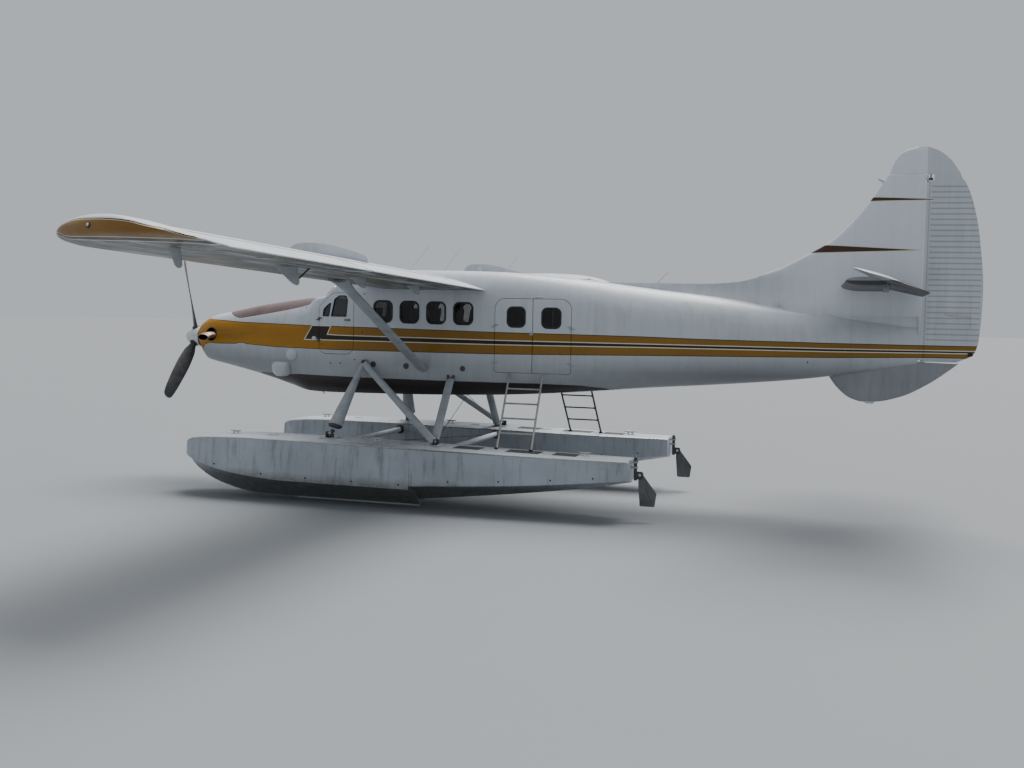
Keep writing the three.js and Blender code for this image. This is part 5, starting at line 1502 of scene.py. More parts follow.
# Float stations: x, deck height, deck half width, chine height, chine half width, keel height
FLOAT = np.array([
    [1.070, -1.650, 0.070, -1.730, 0.075, -1.790], [1.130, -1.570, 0.170, -1.770, 0.180, -1.900],
    [1.300, -1.500, 0.270, -1.830, 0.280, -2.050], [1.700, -1.458, 0.370, -1.930, 0.385, -2.230],
    [2.300, -1.438, 0.425, -2.010, 0.455, -2.345], [3.000, -1.436, 0.450, -2.050, 0.490, -2.360],
    [5.000, -1.460, 0.450, -2.060, 0.490, -2.360], [5.001, -1.460, 0.450, -2.010, 0.478, -2.270],
    [6.400, -1.482, 0.400, -1.930, 0.420, -2.110], [7.600, -1.497, 0.320, -1.830, 0.335, -1.940],
    [8.180, -1.500, 0.280, -1.770, 0.290, -1.830],
])
FLOAT_Y = 1.580
# Where the struts stand on the deck, and the height of their pads
FRONT_FOOT_X = 3.510
REAR_FOOT_X = 5.215
PAD_HIGH = 0.014


def float_at(x):
    part = FLOAT[:7] if x <= 5.0 else FLOAT[7:]
    return row_at(part, x)


def deck_at(x):
    return float(np.interp(x, FLOAT[:, 0], FLOAT[:, 1]))


def float_section(x):
    deck, deck_half, chine, chine_half, keel = float_at(x)
    crown = min(0.030, 0.3 * (deck - chine))
    turns = np.linspace(0, math.pi / 2, 7)
    half = [(0.0, deck), (deck_half * 0.5, deck)]
    soft = deck_half * 0.5
    for t in turns[1:]:
        half.append((deck_half * 0.5 + soft * math.sin(t), deck - crown + crown * math.cos(t)))
    for t in (0.15, 0.4, 0.7, 0.93, 1.0):
        half.append((deck_half + (chine_half - deck_half) * t, (deck - crown) + (chine - deck + crown) * t))
    half.append((chine_half + 0.006, chine - 0.006))
    half.append((chine_half - 0.004, chine - 0.016))
    for t in (0.25, 0.5, 0.75, 1.0):
        sag = 0.030 * math.sin(t * math.pi) * min(1.0, (chine - keel) / 0.2)
        half.append((chine_half + (0.012 - chine_half) * t, chine + (keel - chine) * t + sag))
    return half


def floats():
    for side, word in SIDES:
        shape = Shape()

        def hull(stations):
            rings = []
            for x in stations:
                half = float_section(x)
                ring = [(x, side * FLOAT_Y + a, b) for a, b in half]
                ring += [(x, side * FLOAT_Y - a, b) for a, b in half[::-1]][:-1]
                rings.append(ring)
            shape.loft(rings, 0)

        hull(np.concatenate([1.070 + 1.0 * np.linspace(0, 1, 22) ** 1.8, np.arange(2.15, 4.99, 0.15),
                             [5.0]]))
        hull(np.concatenate([[5.001], np.arange(5.15, 8.12, 0.15), [8.180]]))
        shape.box((2.990, side * FLOAT_Y - 0.022, -2.380), (4.995, side * FLOAT_Y + 0.022, -2.335), 0.004,
                  1)
        keel = [(x, side * FLOAT_Y, float_at(x)[4] + 0.004) for x in np.linspace(1.35, 2.99, 20)]
        shape.tube(keel, 0.014, 8, 1)
        # Bright strips along both deck edges
        for way in (-1, 1):
            path = []
            for x in np.concatenate([np.linspace(1.16, 2.2, 16), np.linspace(2.35, 8.17, 30)]):
                deck, deck_half, *_ = float_at(x)
                path.append((x, side * FLOAT_Y + way * (deck_half - 0.004), deck - 0.024))
            shape.tube(path, 0.011, 8, 2)
        # Mooring cleats on small base plates
        for x in (1.9, 4.3, 7.5):
            z = deck_at(x)
            mid = side * FLOAT_Y
            shape.box((x - 0.075, mid - 0.032, z - 0.004), (x + 0.075, mid + 0.032, z + 0.006), 0.003, 1)
            for d in (-0.035, 0.035):
                shape.lathe([(0, 0.016), (0.02, 0.011), (0.04, 0.011)], (x + d, mid, z), (0, 0, 1), 14, 2)
            bar = [(x + t * 0.095, mid, z + 0.044 + 0.010 * t * t) for t in np.linspace(-1, 1, 13)]
            shape.tube(bar, [0.013 * math.sqrt(max(0.15, 1 - (i / 6 - 1) ** 2 * 0.8)) for i in range(13)],
                       12, 2)
        # Deck hatches, walkway mats and strut pads
        for x in (2.55, 4.75, 6.05, 6.95):
            shape.lathe([(0, 0.088), (0.008, 0.088), (0.012, 0.080), (0.012, 0.070), (0.007, 0.066),
                         (0.007, 0.004)],
                        (x, side * FLOAT_Y, deck_at(x) - 0.003), (0, 0, 1), 28, 1)
        for x in (FRONT_FOOT_X, REAR_FOOT_X):
            z = deck_at(x)
            shape.box((x - 0.13, side * FLOAT_Y - 0.13, z - 0.02),
                      (x + 0.13, side * FLOAT_Y + 0.13, z + PAD_HIGH), 0.004, 1)
            for dx in (-0.1, 0.1):
                for dy in (-0.1, 0.1):
                    shape.lathe([(0, 0.013), (0.009, 0.013), (0.013, 0.008)],
                                (x + dx, side * FLOAT_Y + dy, z + 0.012),
                                (0, 0, 1), 6, 2)
        for x0, x1 in ((5.55, 5.95), (6.35, 6.85), (7.05, 7.40)):
            mat = [[(x, side * FLOAT_Y + y, deck_at(x) + h) for y, h in
                    ((-0.15, -0.002), (-0.15, 0.003), (0.15, 0.003), (0.15, -0.002))] for x in (x0, x1)]
            shape.loft(mat, 3)
        # Rubber bumper on the bow, drain plugs along the side and the stern fittings
        bow = [(1.082, side * FLOAT_Y, z) for z in np.linspace(-1.840, -1.660, 9)]
        shape.tube(bow, [0.030, 0.040, 0.044, 0.045, 0.045, 0.045, 0.044, 0.040, 0.030], 18, 3)
        for x in (1.75, 2.6, 3.35, 4.1, 4.85, 5.6, 6.35, 7.1, 7.7):
            _, _, chine, chine_half, _ = float_at(x)
            for way in (-1, 1):
                shape.lathe([(0, 0.013), (0.004, 0.012), (0.006, 0.006)],
                            (x, side * FLOAT_Y + way * (chine_half - 0.001), chine + 0.055), (0, way, 0.1),
                            10, 4)
        for z in (-1.540, -1.615):
            plate = panel((8.150, -0.038), (8.273, 0.038), 0.030)
            shape.prism([(a, side * FLOAT_Y + b) for a, b in plate], z - 0.012, z + 0.012, "z", 1)
        shape.make(f"float_hull_{word}", ["float", "grey", "steel", "rubber", "black"], "airframe",
                   "float_alloy",
                   [f"float_{word}"], sharp=28)


floats()


# Struts between body, wing and floats
def streamline(count=20):
    t = np.linspace(0, 2 * math.pi, count, endpoint=False)
    along = np.cos(t)
    across = np.sin(t) * (1 - 0.22 * np.cos(t))
    return along, across


def strut(shape, a, b, size_a, size_b, mat=0, steps=2, count=20, sizes=None):
    """A strut of streamlined section from a to b; sizes are length fore and aft, and width."""
    a, b = np.asarray(a, float), np.asarray(b, float)
    along, across = streamline(count)
    axis = (b - a) / np.linalg.norm(b - a)
    fore = np.array([1.0, 0, 0]) - axis[0] * axis
    fore /= np.linalg.norm(fore)
    wide = np.cross(axis, fore)
    rings = []
    for t in np.linspace(0, 1, steps):
        long, thick = sizes(t) if sizes else [size_a[k] + (size_b[k] - size_a[k]) * t for k in (0, 1)]
        rings.append(a + (b - a) * t - np.outer(along, fore) * long / 2 + np.outer(across, wide)
                     * thick / 2)
    return shape.loft(rings, mat)


def wing_struts():
    for side, word in SIDES:
        shape = Shape()
        top = wing_points(3.3, [(4.480 - 3.714) / 1.976], -1)[0]
        foot = np.array([4.700, -0.790, -0.395])
        past = foot + (top - foot) * 1.005
        flip = np.array([1, -side, 1])
        strut(shape, foot * flip, past * flip, (0.175, 0.075), (0.175, 0.075), 0, 12)

        def cuff(t):
            grow = t ** 1.6
            return 0.185 + 0.140 * grow, 0.085 + 0.042 * grow

        low = foot + (top - foot) * 0.895
        strut(shape, low * flip, past * flip, (0, 0), (0, 0), 1, 8, 24, cuff)
        shape.box(foot * flip + (-0.07, -0.010, -0.030), foot * flip + (0.07, 0.010, 0.030), 0.008, 1)
        for x in (-0.045, 0.045):
            shape.lathe([(0, 0.011), (0.004, 0.011), (0.008, 0.006)], foot * flip + (x, side * 0.012, 0.0),
                        (0, side, 0), 8, 2)
        shape.make(f"wing_brace_{word}", ["grey", "grey", "dark_metal"], "airframe", "grey_skin",
                   [f"wing_strut_{word}"], sharp=35)


def float_struts():
    for side, word in SIDES:
        flip = np.array([1, -side, 1])
        shape = Shape()
        top = np.array([3.730, -0.860, -0.310])
        foot = np.array([FRONT_FOOT_X, -FLOAT_Y, deck_at(FRONT_FOOT_X) + PAD_HIGH])
        upper = foot + (top - foot) * 0.155

        # Wrapped sleeve: overlapping turns of sheet, each a little proud of the next
        def sleeve(t):
            turn = (t * 17) % 1.0
            lip = 0.0045 * (1 - turn)
            return 0.235 + (0.075 - 0.235) * t + lip, 0.120 + (0.055 - 0.120) * t + lip

        strut(shape, upper * flip, (foot + (top - foot) * 0.97) * flip, (0, 0), (0, 0), 0, 171, 28, sleeve)
        # Dark foot fitting: fork, bolt and clamp under the sleeve's square end
        shape.lathe([(0, 0.052), (0.02, 0.046), (0.05, 0.034), (0.13, 0.034)], foot * flip,
                    (top - foot) * flip, 20, 1)
        for d in (-0.045, 0.045):
            shape.box(foot * flip + (d - 0.012, -0.035, 0.0), foot * flip + (d + 0.012, 0.035, 0.090),
                      0.004, 1)
        shape.bar(foot * flip + (-0.075, 0, 0.060), foot * flip + (0.075, 0, 0.060), 0.013, sides=12, mat=2)
        strut(shape, (foot + (top - foot) * 0.135) * flip, (foot + (top - foot) * 0.16) * flip,
              (0.215, 0.105),
              (0.245, 0.13), 1, 2, 28)
        rear = np.array([5.260, -1.630, deck_at(REAR_FOOT_X) + PAD_HIGH])
        strut(shape, (rear + (top - rear) * 0.03) * flip, top * flip, (0.118, 0.060), (0.105, 0.055), 3, 10)
        shape.box(rear * flip + (-0.045, -0.02, 0), rear * flip + (0.045, 0.02, 0.085), 0.005, 1)
        shape.bar(rear * flip + (0, -0.04, 0.055), rear * flip + (0, 0.04, 0.055), 0.012, sides=12, mat=2)
        bar = np.array([3.730, -0.815, -0.310])
        shape.lathe([(0, 0.040), (0.004, 0.042), (0.11, 0.042), (0.125, 0.034), (0.127, 0.020),
                     (0.135, 0.018)],
                    (bar + (0, 0.055, 0)) * flip, (0, side, 0), 24, 1)
        shape.make(f"forward_braces_{word}", ["grey", "dark_metal", "steel", "grey"], "airframe",
                   "float_alloy",
                   [f"forward_float_struts_{word}"], sharp=30)
        shape = Shape()
        rear_foot = np.array([5.180, -1.510, deck_at(REAR_FOOT_X) + PAD_HIGH])
        rear_top = np.array([5.165, -0.775, -0.470])
        strut(shape, (rear_foot + (rear_top - rear_foot) * 0.03) * flip,
              (rear_foot + (rear_top - rear_foot) * 0.94) * flip, (0.135, 0.060), (0.130, 0.058), 0, 12)
        for way in (-1, 1):
            lug = rear_top + (way * 0.045, -0.02, -0.005)
            shape.tube([(rear_foot + (rear_top - rear_foot) * 0.90 + (way * 0.03, 0, 0)) * flip,
                        lug * flip], 0.018, 12, 1)
            shape.lathe([(0, 0.017), (0.008, 0.017), (0.014, 0.010)], lug * flip, (0, side, 0), 10, 1)
        shape.box(rear_foot * flip + (-0.045, -0.02, 0), rear_foot * flip + (0.045, 0.02, 0.085), 0.005, 1)
        shape.make(f"rear_brace_{word}", ["grey", "dark_metal"], "airframe", "float_alloy",
                   [f"rear_float_strut_{word}"], sharp=35)


def inner_wall(x, z):
    """The float's inner side at a height, measured from the middle plane."""
    deck, deck_half, chine, chine_half, _ = float_at(x)
    t = np.clip(((deck - 0.03) - z) / (deck - 0.03 - chine), 0, 1)
    return FLOAT_Y - (deck_half + (chine_half - deck_half) * t)


SPREADER_Z = -1.555


def spreaders():
    for name, x in (("front", 3.530), ("rear", 5.280)):
        shape = Shape()
        reach = inner_wall(x, SPREADER_Z)
        shape.tube([(x, y, SPREADER_Z) for y in np.linspace(-reach, reach, 9)], 0.042, 24, 0)
        for way in (-1, 1):
            shape.lathe([(0, 0.075), (0.012, 0.075), (0.02, 0.055), (0.06, 0.050)],
                        (x, way * reach, SPREADER_Z),
                        (0, -way, 0), 24, 1)
        shape.make(f"spreader_bar_{name}", ["white", "dark_metal"], "airframe", "float_alloy",
                   [f"spreader_{name}"])


wing_struts()
float_struts()
spreaders()


# Propeller, spinner and exhaust
def blade_paint():
    g = Graph("blade_paint", rough=0.45, metal=0.1)
    worn = g.noise((8, 8, 8), 5)
    color = g.mix(g.ramp(worn, 0.35, 0.7), (0.035, 0.037, 0.042), (0.07, 0.072, 0.078))
    scratch = g.ramp(g.noise((60, 60, 14), 5, 0.7), 0.58, 0.66)
    color = g.mix(g.mul(scratch, 0.5), color, (0.22, 0.225, 0.23))
    g.set("Base Color", color)
    g.set("Roughness", g.ramp(worn, 0.3, 0.7, 0.34, 0.55))
    g.raise_by(g.noise((40, 40, 40), 3), 0.0003)
    return g.done()


M["blade"] = blade_paint()
# Blade sections outwards: radius, chord, thickness, pitch in degrees
BLADE = np.array([
    [0.060, 0.090, 0.080, 55], [0.200, 0.110, 0.062, 50], [0.360, 0.190, 0.036, 43],
    [0.700, 0.235, 0.022, 34],
    [1.080, 0.215, 0.015, 27], [1.300, 0.160, 0.010, 23], [1.345, 0.070, 0.006, 22],
])
PROP_X = 0.205
BLADE_TURNS = (17, 137, 257)


def propeller():
    shape = Shape()
    for turn in BLADE_TURNS:
        t = math.radians(turn)
        rings = []
        for r in np.concatenate([np.linspace(0.06, 0.4, 12), np.linspace(0.45, 1.25, 14),
                                 [1.28, 1.30, 1.32, 1.335, 1.345]]):
            chord, thick, pitch = row_at(BLADE, r)
            p = math.radians(pitch)
            a = np.linspace(0, 2 * math.pi, 28, endpoint=False)
            flat = np.clip((r - 0.22) / 0.25, 0, 1)
            u = np.cos(a) * chord / 2
            v = np.sin(a) * thick / 2 * (1 - flat * 0.25 * np.cos(a))
            x = PROP_X - u * math.sin(p) + v * math.cos(p)
            y = u * math.cos(p) + v * math.sin(p)
            rings.append(np.column_stack([x, y * math.cos(t) - r * math.sin(t),
                                          y * math.sin(t) + r * math.cos(t)]))
        shape.loft(rings, 0)
        out = np.array([0, -math.sin(t), math.cos(t)])
        shape.lathe([(0.07, 0.062), (0.11, 0.066), (0.125, 0.060), (0.15, 0.056), (0.17, 0.060),
                     (0.18, 0.052)],
                    (PROP_X, 0, 0), out, 28, 1)
    shape.lathe([(-0.060, 0.060), (-0.055, 0.085), (-0.03, 0.095), (0.04, 0.095), (0.062, 0.085),
                 (0.065, 0.045),
                 (0.5545, 0.045)], (PROP_X, 0, 0), (1, 0, 0), 32, 1)
    shape.make("propeller_blades", ["blade", "dark_metal"], "propeller", "blade_paint", ["propeller"],
               sharp=40)


SPINNER_T = np.linspace(0, 1, 60)
SPINNER_R = monotone_all([0, 0.02, 0.09, 0.22, 0.42, 0.68, 1.0],
                         [0, 0.032, 0.074, 0.113, 0.146, 0.168, 0.178], SPINNER_T)


def spinner():
    cone = Shape()
    profile = []
    for t in np.linspace(0, 1, 40) ** 1.6:
        profile.append((t * 0.318 + 0.002, max(0.0005, float(np.interp(t, SPINNER_T, SPINNER_R)))))
    sides = 96
    turns = np.linspace(0, 2 * math.pi, sides, endpoint=False)

    def clear(point):
        for turn in BLADE_TURNS:
            t = math.radians(turn)
            out = np.array([0, -math.sin(t), math.cos(t)])
            rel = point - np.array([PROP_X, 0, 0])
            if rel @ out > 0.05 and np.linalg.norm(rel - (rel @ out) * out) < 0.072:
                return False
        return True

    rings = [[(x, r * math.cos(a), r * math.sin(a)) for a in turns] for x, r in profile]
    points = np.array(rings)
    faces = []
    for i in range(len(profile) - 1):
        for j in range(sides):
            k = (j + 1) % sides
            middle = (points[i, j] + points[i, k] + points[i + 1, j] + points[i + 1, k]) / 4
            if clear(middle):
                faces.append((i * sides + j, (i + 1) * sides + j, (i + 1) * sides + k, i * sides + k))
    cone.put(points.reshape(-1, 3), faces, 0)
    obj = cone.make("spinner_cone", ["spinner"], "propeller", "white_skin", ["spinner"], sharp=50,
                    outward=False)
    solid = obj.modifiers.new("sheet", "SOLIDIFY")
    solid.thickness = 0.003
    solid.offset = 1
    plate = Shape()
    plate.lathe([(0.0, 0.048), (0.0, 0.172), (0.003, 0.174), (0.0, 0.174)], (0.3150, 0, 0), (1, 0, 0), 64,
                0)
    plate.make("spinner_plate", ["dark_metal"], "propeller", "white_skin", ())


def exhaust_paint():
    g = Graph("exhaust_steel", rough=0.45, metal=0.85)
    heat = g.noise((7, 7, 7), 5, 0.6)
    color = g.mix(g.ramp(heat, 0.35, 0.68), (0.50, 0.38, 0.27), (0.26, 0.19, 0.14))
    g.set("Base Color", g.mix(g.ramp(g.noise((25, 25, 25), 4), 0.5, 0.75), color, (0.13, 0.11, 0.10)))
    g.set("Roughness", g.ramp(heat, 0.3, 0.7, 0.35, 0.65))
    g.raise_by(g.noise((60, 60, 60), 3), 0.0006)
    return g.done()


M["exhaust"] = exhaust_paint()
g = Graph("spinner_paint", rough=0.25, Coat_Weight=0.4, Coat_Roughness=0.08)
g.set("Base Color", g.mix(g.ramp(g.noise((9, 30, 30), 5), 0.45, 0.75), (0.64, 0.67, 0.70),
                          (0.46, 0.48, 0.50)))
g.set("Roughness", g.ramp(g.noise((12, 12, 12), 4), 0.3, 0.7, 0.18, 0.36))
g.raise_by(g.noise((30, 30, 30), 2), 0.0004)
M["spinner"] = g.done()


def catmull(points, count):
    p = np.asarray(points, float)
    p = np.vstack([2 * p[0] - p[1], p, 2 * p[-1] - p[-2]])
    result = []
    for i in range(1, len(p) - 2):
        for t in np.linspace(0, 1, count, endpoint=False):
            a, b, c, d = p[i - 1:i + 3]
            result.append(0.5 * (2 * b + (c - a) * t + (2 * a - 5 * b + 4 * c - d) * t**2
                                 + (3 * b - a - 3 * c + d) * t**3))
    result.append(p[-2])
    return np.array(result)


def exhausts():
    for side, word in SIDES:
        shape = Shape()
        route = catmull([(0.810, -0.215, 0.045), (0.730, -0.300, 0.045), (0.670, -0.430, 0.035),
                         (0.672, -0.575, 0.004)], 8)
        route = route * [1, -side, 1]
        steps = np.gradient(route, axis=0)
        turns = np.linspace(0, 2 * math.pi, 40, endpoint=False)

        def ring(i, r):
            along = steps[i] / np.linalg.norm(steps[i])
            up = np.array([0, 0, 1.0]) - along[2] * along
            up /= np.linalg.norm(up)
            across = np.cross(along, up)
            return route[i] + np.outer(np.cos(turns), across) * r * 1.4 + np.outer(np.sin(turns),
                                                                                   up) * r * 0.75

        outer = [ring(i, 0.072) for i in range(len(route))]
        lip = [ring(len(route) - 1, 0.0745), ring(len(route) - 1, 0.066)]
        inner = [ring(i, 0.064) for i in range(len(route) - 1, 1, -1)]
        shape.loft(outer, 0, caps=False)
        shape.loft([outer[-2] + (outer[-1] - outer[-2]) * 0.5, lip[0], lip[1], inner[0]], 0, caps=False)
        # The pipe's inside is flat black and closed by a black cap: painted shade deep in the pipe
        shape.loft(inner, 1, caps=False)
        shape.put(inner[-1], [tuple(range(40))], 1)
        # A flat black block behind the cowl's opening: painted shade in the cavity
        shape.box((0.80, side * 0.205, -0.045), (0.97, side * 0.265, 0.135), 0.01, 1)
        shape.make(f"exhaust_stack_{word}", ["exhaust", "black"], "airframe", "engine_steel",
                   [f"exhaust_{word}"], sharp=45)
        # Dark rim round the opening in the cowl
        rim = Shape()
        loop = []
        for a in np.linspace(0, 2 * math.pi, 49):
            loop.append(SURFACE.on_side(EXHAUST_X + 0.107 * math.cos(a), EXHAUST_Z + 0.107 * math.sin(a),
                                        side, 0.002))
        rim.tube(loop, 0.0075, 8, 0, caps=False)
        rim.make(f"exhaust_rim_{word}", ["black"], "airframe", "white_skin")


propeller()
spinner()
exhausts()


# Windows: panes in the walls' openings with rubber seals round them
SEAL_OUT = 0.005
SEAL_PROUD = 0.005


def gasket(shape, side, outline, inn):
    """A seal round a pane, reaching inwards by inn over the glass."""
    edge = dense(outline, 0.025)
    profile = [
        (SEAL_OUT, -0.003), (SEAL_OUT, SEAL_PROUD * 0.7), (SEAL_OUT - 0.005, SEAL_PROUD),
        (0.004 - inn, SEAL_PROUD * 0.9), (-inn, SEAL_PROUD * 0.4), (-inn, -0.016),
    ]
    loops = [grown(edge, by) for by, _ in profile]
    rings = [[SURFACE.on_side(*loop[i], side, rise) for loop, (_, rise) in zip(loops, profile)]
             for i in range(len(edge))]
    shape.loft([*rings, rings[0]], caps=False)


def glazing(name, side, outlines, body, node, inn=0.024, pane="glass"):
    glass = Skin()
    for outline in outlines:
        skin(glass, side, to_sheet(grown(outline, -0.003), 0.02), [], 0.005, 0.08, (0, 0, 0), 0.012)
    glass.finish(name, [pane], body, "clear_glass", [node])
    seal = Shape()
    for outline in outlines:
        gasket(seal, side, outline, inn)
    seal.make(f"{name}_seal", ["rubber"], body, None, sharp=50)


def windscreen():
    glass = Skin()
    frame_bars = Shape()
    edge = screen_loop()
    for side, _ in SIDES:
        middle = [(x, 0.0) for x in np.arange(3.025, 2.690, -0.02)]
        skin(glass, side, np.vstack([screen_loop(-0.003), middle]), [], 0.006, 0.06, (0, 0, 0), 0.010)
        seal = []
        for x, v in edge:
            point = SURFACE.at(x, v / V_SCALE) + SURFACE.normal(x, v / V_SCALE) * 0.001
            seal.append(point * [1, side, 1])
        frame_bars.tube(seal, 0.012, 10, 1)
    glass.finish("windscreen_panes", ["screen_glass"], "airframe", "clear_glass", ["windscreen"])
    post = [SURFACE.at(x, 0) + np.array([0, 0, 0.002]) for x in np.linspace(2.675, 3.050, 14)]
    frame_bars.tube(post, 0.017, 12, 1)
    frame_bars.make("windscreen_frame", ["rubber", "white"], "airframe", "white_skin")


for side, word in SIDES:
    glazing(f"window_panes_{word}", side, CABIN_WINDOWS, "airframe", f"window_glass_{word}")
    glazing(f"cockpit_panes_{word}", side, [COCKPIT_PANE, QUARTER_PANE], f"cockpit_door_{word}",
            f"cockpit_door_glass_{word}", 0.010, "cockpit_glass")
glazing("cargo_pane_front", PORT, [CARGO_WINDOWS["front"]], "cargo_door_front", "cargo_glass_front")
glazing("cargo_pane_rear", PORT, [CARGO_WINDOWS["rear"]], "cargo_door_rear", "cargo_glass_rear")
glazing("cabin_pane_starboard", STARBOARD, [CARGO_WINDOWS["starboard"]], "cabin_door_starboard",
        "cabin_door_glass")
windscreen()


# Door furniture: hinge straps with knuckles, handles, latches.
# Hinges: door, station of the axis, way the leaf lies from it, side, heights, finish
HINGES = [
    ("cockpit_door_port", 2.9015, 1, PORT, (0.0, 0.330), "dark_metal"),
    ("cockpit_door_starboard", 2.9015, 1, STARBOARD, (0.0, 0.330), "dark_metal"),
    ("cargo_door_front", 5.8635, 1, PORT, (-0.275, 0.285), "grey"),
    ("cargo_door_rear", 7.0515, -1, PORT, (-0.275, 0.270), "grey"),
    ("cabin_door_starboard", 6.3465, 1, STARBOARD, (-0.275, 0.285), "grey"),
]


def hinge_axis(x):
    """How far out the doors' axis stands at a station."""
    return float(np.interp(x, (2.8, 3.06, 5.7, 6.65, 7.3), (0.752, 0.792, 0.817, 0.802, 0.762)))


def hinge_half(shape, x, side, reach, z, high):
    half = hinge_axis(x) - 0.017
    near, far = x + reach * 0.009, x + reach * 0.058
    middle = z + high / 2
    rings = []
    for share in np.linspace(0, 1, 6):
        a = near + (far - near) * share
        tall = high / 2 * (1 - 0.45 * share)
        skin_y = side * SURFACE.on_side(a, middle, side)[1]
        rings.append([(a, side * (skin_y + out), middle + up)
                      for out, up in ((-0.004, -tall), (0.006, -tall), (0.008, -tall * 0.6),
                                      (0.008, tall * 0.6),
                                      (0.006, tall), (-0.004, tall))])
    shape.loft(rings, 0)
    shape.lathe([(0, 0.0095), (0.001, 0.0108), (high - 0.001, 0.0108), (high, 0.0095)],
                (x, side * (half + 0.017), z), (0, 0, 1), 20, 0)
    web = [(near, side * (half - 0.002)), (x, side * (half + 0.008)), (x, side * (half + 0.017)),
           (near, side * (half + 0.010))]
    shape.prism(web, z + 0.003, z + high - 0.003, "z", 0)
    for share in (0.45, 0.8):
        a = near + (far - near) * share
        spot = SURFACE.on_side(a, middle, side, 0.006)
        shape.lathe([(0, 0.0045), (0.003, 0.004), (0.004, 0.002)], spot, (0, side, 0), 8, 1)


for body, x, way, side, heights, finish in HINGES:
    fixed, moving = Shape(), Shape()
    for z in heights:
        hinge_half(fixed, x, side, -way, z, 0.026)
        pin_y = side * hinge_axis(x)
        fixed.bar((x, pin_y, z), (x, pin_y, z + 0.053), 0.0055, sides=12, mat=1)
        hinge_half(moving, x, side, way, z + 0.0263, 0.0257)
    fixed.make(f"hinge_frame_{body}", [finish, "steel"], "airframe", "grey_skin")
    moving.make(f"hinge_leaf_{body}", [finish, "steel"], body, "grey_skin")


def raised_plate(shape, side, outline, rises):
    """A low plate on the skin, its outline grown and lifted in steps."""
    rings = []
    for by, rise in rises:
        edge = dense(grown(outline, by), 0.02)
        rings.append([SURFACE.on_side(a, b, side, rise) for a, b in edge])
    shape.loft(rings)


PLATE_TALL = 0.030


def lever(shape, side, x0, x1, z):
    """A flush handle: low plate with a lever across it."""
    plate = panel((x0, z - PLATE_TALL / 2), (x1, z + PLATE_TALL / 2), PLATE_TALL * 0.45)
    raised_plate(shape, side, plate, ((0.0, -0.002), (0.0, 0.003), (-0.004, 0.005)))
    grip = [SURFACE.on_side(a, z, side, 0.012 + 0.006 * math.sin(math.pi * t))
            for t, a in zip(np.linspace(0, 1, 9), np.linspace(x0 + 0.012, x1 - 0.030, 9))]
    shape.tube([SURFACE.on_side(x0 + 0.012, z, side, 0.0), *grip,
                SURFACE.on_side(x1 - 0.030, z, side, 0.0)], 0.006, 10, 1)


for side, word in SIDES:
    shape = Shape()
    lever(shape, side, 3.360, 3.466, 0.347)
    shape.make(f"cockpit_handle_{word}", ["dark_metal", "steel"], f"cockpit_door_{word}", "grey_skin")
# The cargo door's handle: a round boss with a short grip
shape = Shape()
CARGO_HANDLE = (6.438, 0.198)
normal = SURFACE.on_side(*CARGO_HANDLE, PORT, 0.02) - SURFACE.on_side(*CARGO_HANDLE, PORT, 0.0)
spot = SURFACE.on_side(*CARGO_HANDLE, PORT, -0.002)
shape.lathe([(0, 0.030), (0.006, 0.029), (0.009, 0.024), (0.009, 0.012), (0.016, 0.010), (0.018, 0.005)],
            spot,
            normal, 28, 0)
shape.tube([spot + normal * 0.8 + (-0.022, 0, -0.012), spot + normal * 0.8 + (0.022, 0, 0.012)], 0.006, 10,
           0)
shape.make("cargo_handle", ["grey"], "cargo_door_front", "grey_skin")
shape = Shape()
lever(shape, STARBOARD, 6.900, 7.000, 0.180)
shape.make("cabin_door_handle", ["dark_metal", "steel"], "cabin_door_starboard", "grey_skin")
# Latch housing over the cargo doors, with a small stud above it
shape = Shape()
latch = panel((6.475, 0.738), (6.605, 0.762), 0.011)
raised_plate(shape, PORT, latch, ((0.0, -0.003), (0.0, 0.010), (-0.005, 0.014)))
shape.lathe([(0, 0.012), (0.006, 0.011), (0.010, 0.006)], SURFACE.on_side(6.53, 0.775, PORT, 0.0),
            (0, -1, 0.3), 16, 0)
shape.make("door_latch_cover", ["white"], "airframe", "white_skin")


# Nose and body fittings
def on_body(shape, x, z, side, profile, mat, sides=24):
    base = SURFACE.on_side(x, z, side, 0.0)
    out = SURFACE.on_side(x, z, side, 0.05) - base
    shape.lathe(profile, base, out, sides, mat)


def blister(shape, x, z, side, radius, high, mat, long=1.0):
    rings = []
    for share in np.linspace(0, 1, 12):
        angle = share * math.pi / 2
        r, rise = radius * math.cos(angle) + 0.0005, high * math.sin(angle)
        rings.append([SURFACE.on_side(x + long * r * math.cos(t), z + r * math.sin(t), side, rise - 0.004)
                      for t in np.linspace(0, 2 * math.pi, 32, endpoint=False)])
    shape.loft(rings, mat)


def scoop(shape, side):
    """A rounded fairing on the lower side of the nose."""
    rings = []
    for x, low, high, out in ((1.955, -0.475, -0.430, 0.004), (1.975, -0.525, -0.385, 0.045),
                              (2.01, -0.555, -0.360, 0.085),
                              (2.07, -0.570, -0.350, 0.110), (2.16, -0.575, -0.347, 0.118),
                              (2.24, -0.572, -0.350, 0.114),
                              (2.290, -0.566, -0.356, 0.098), (2.312, -0.555, -0.366, 0.070),
                              (2.322, -0.540, -0.382, 0.030)):
        middle, tall = (low + high) / 2, (high - low) / 2
        ring = []
        for t in np.linspace(0, 2 * math.pi, 36, endpoint=False):
            z = middle + tall * math.copysign(abs(math.sin(t)) ** 0.8, math.sin(t))
            rise = out * max(0.0, math.cos(t)) ** 0.7 - 0.006
            ring.append(SURFACE.on_side(x, z, side, rise))
        rings.append(ring)
    shape.loft(rings, 0)


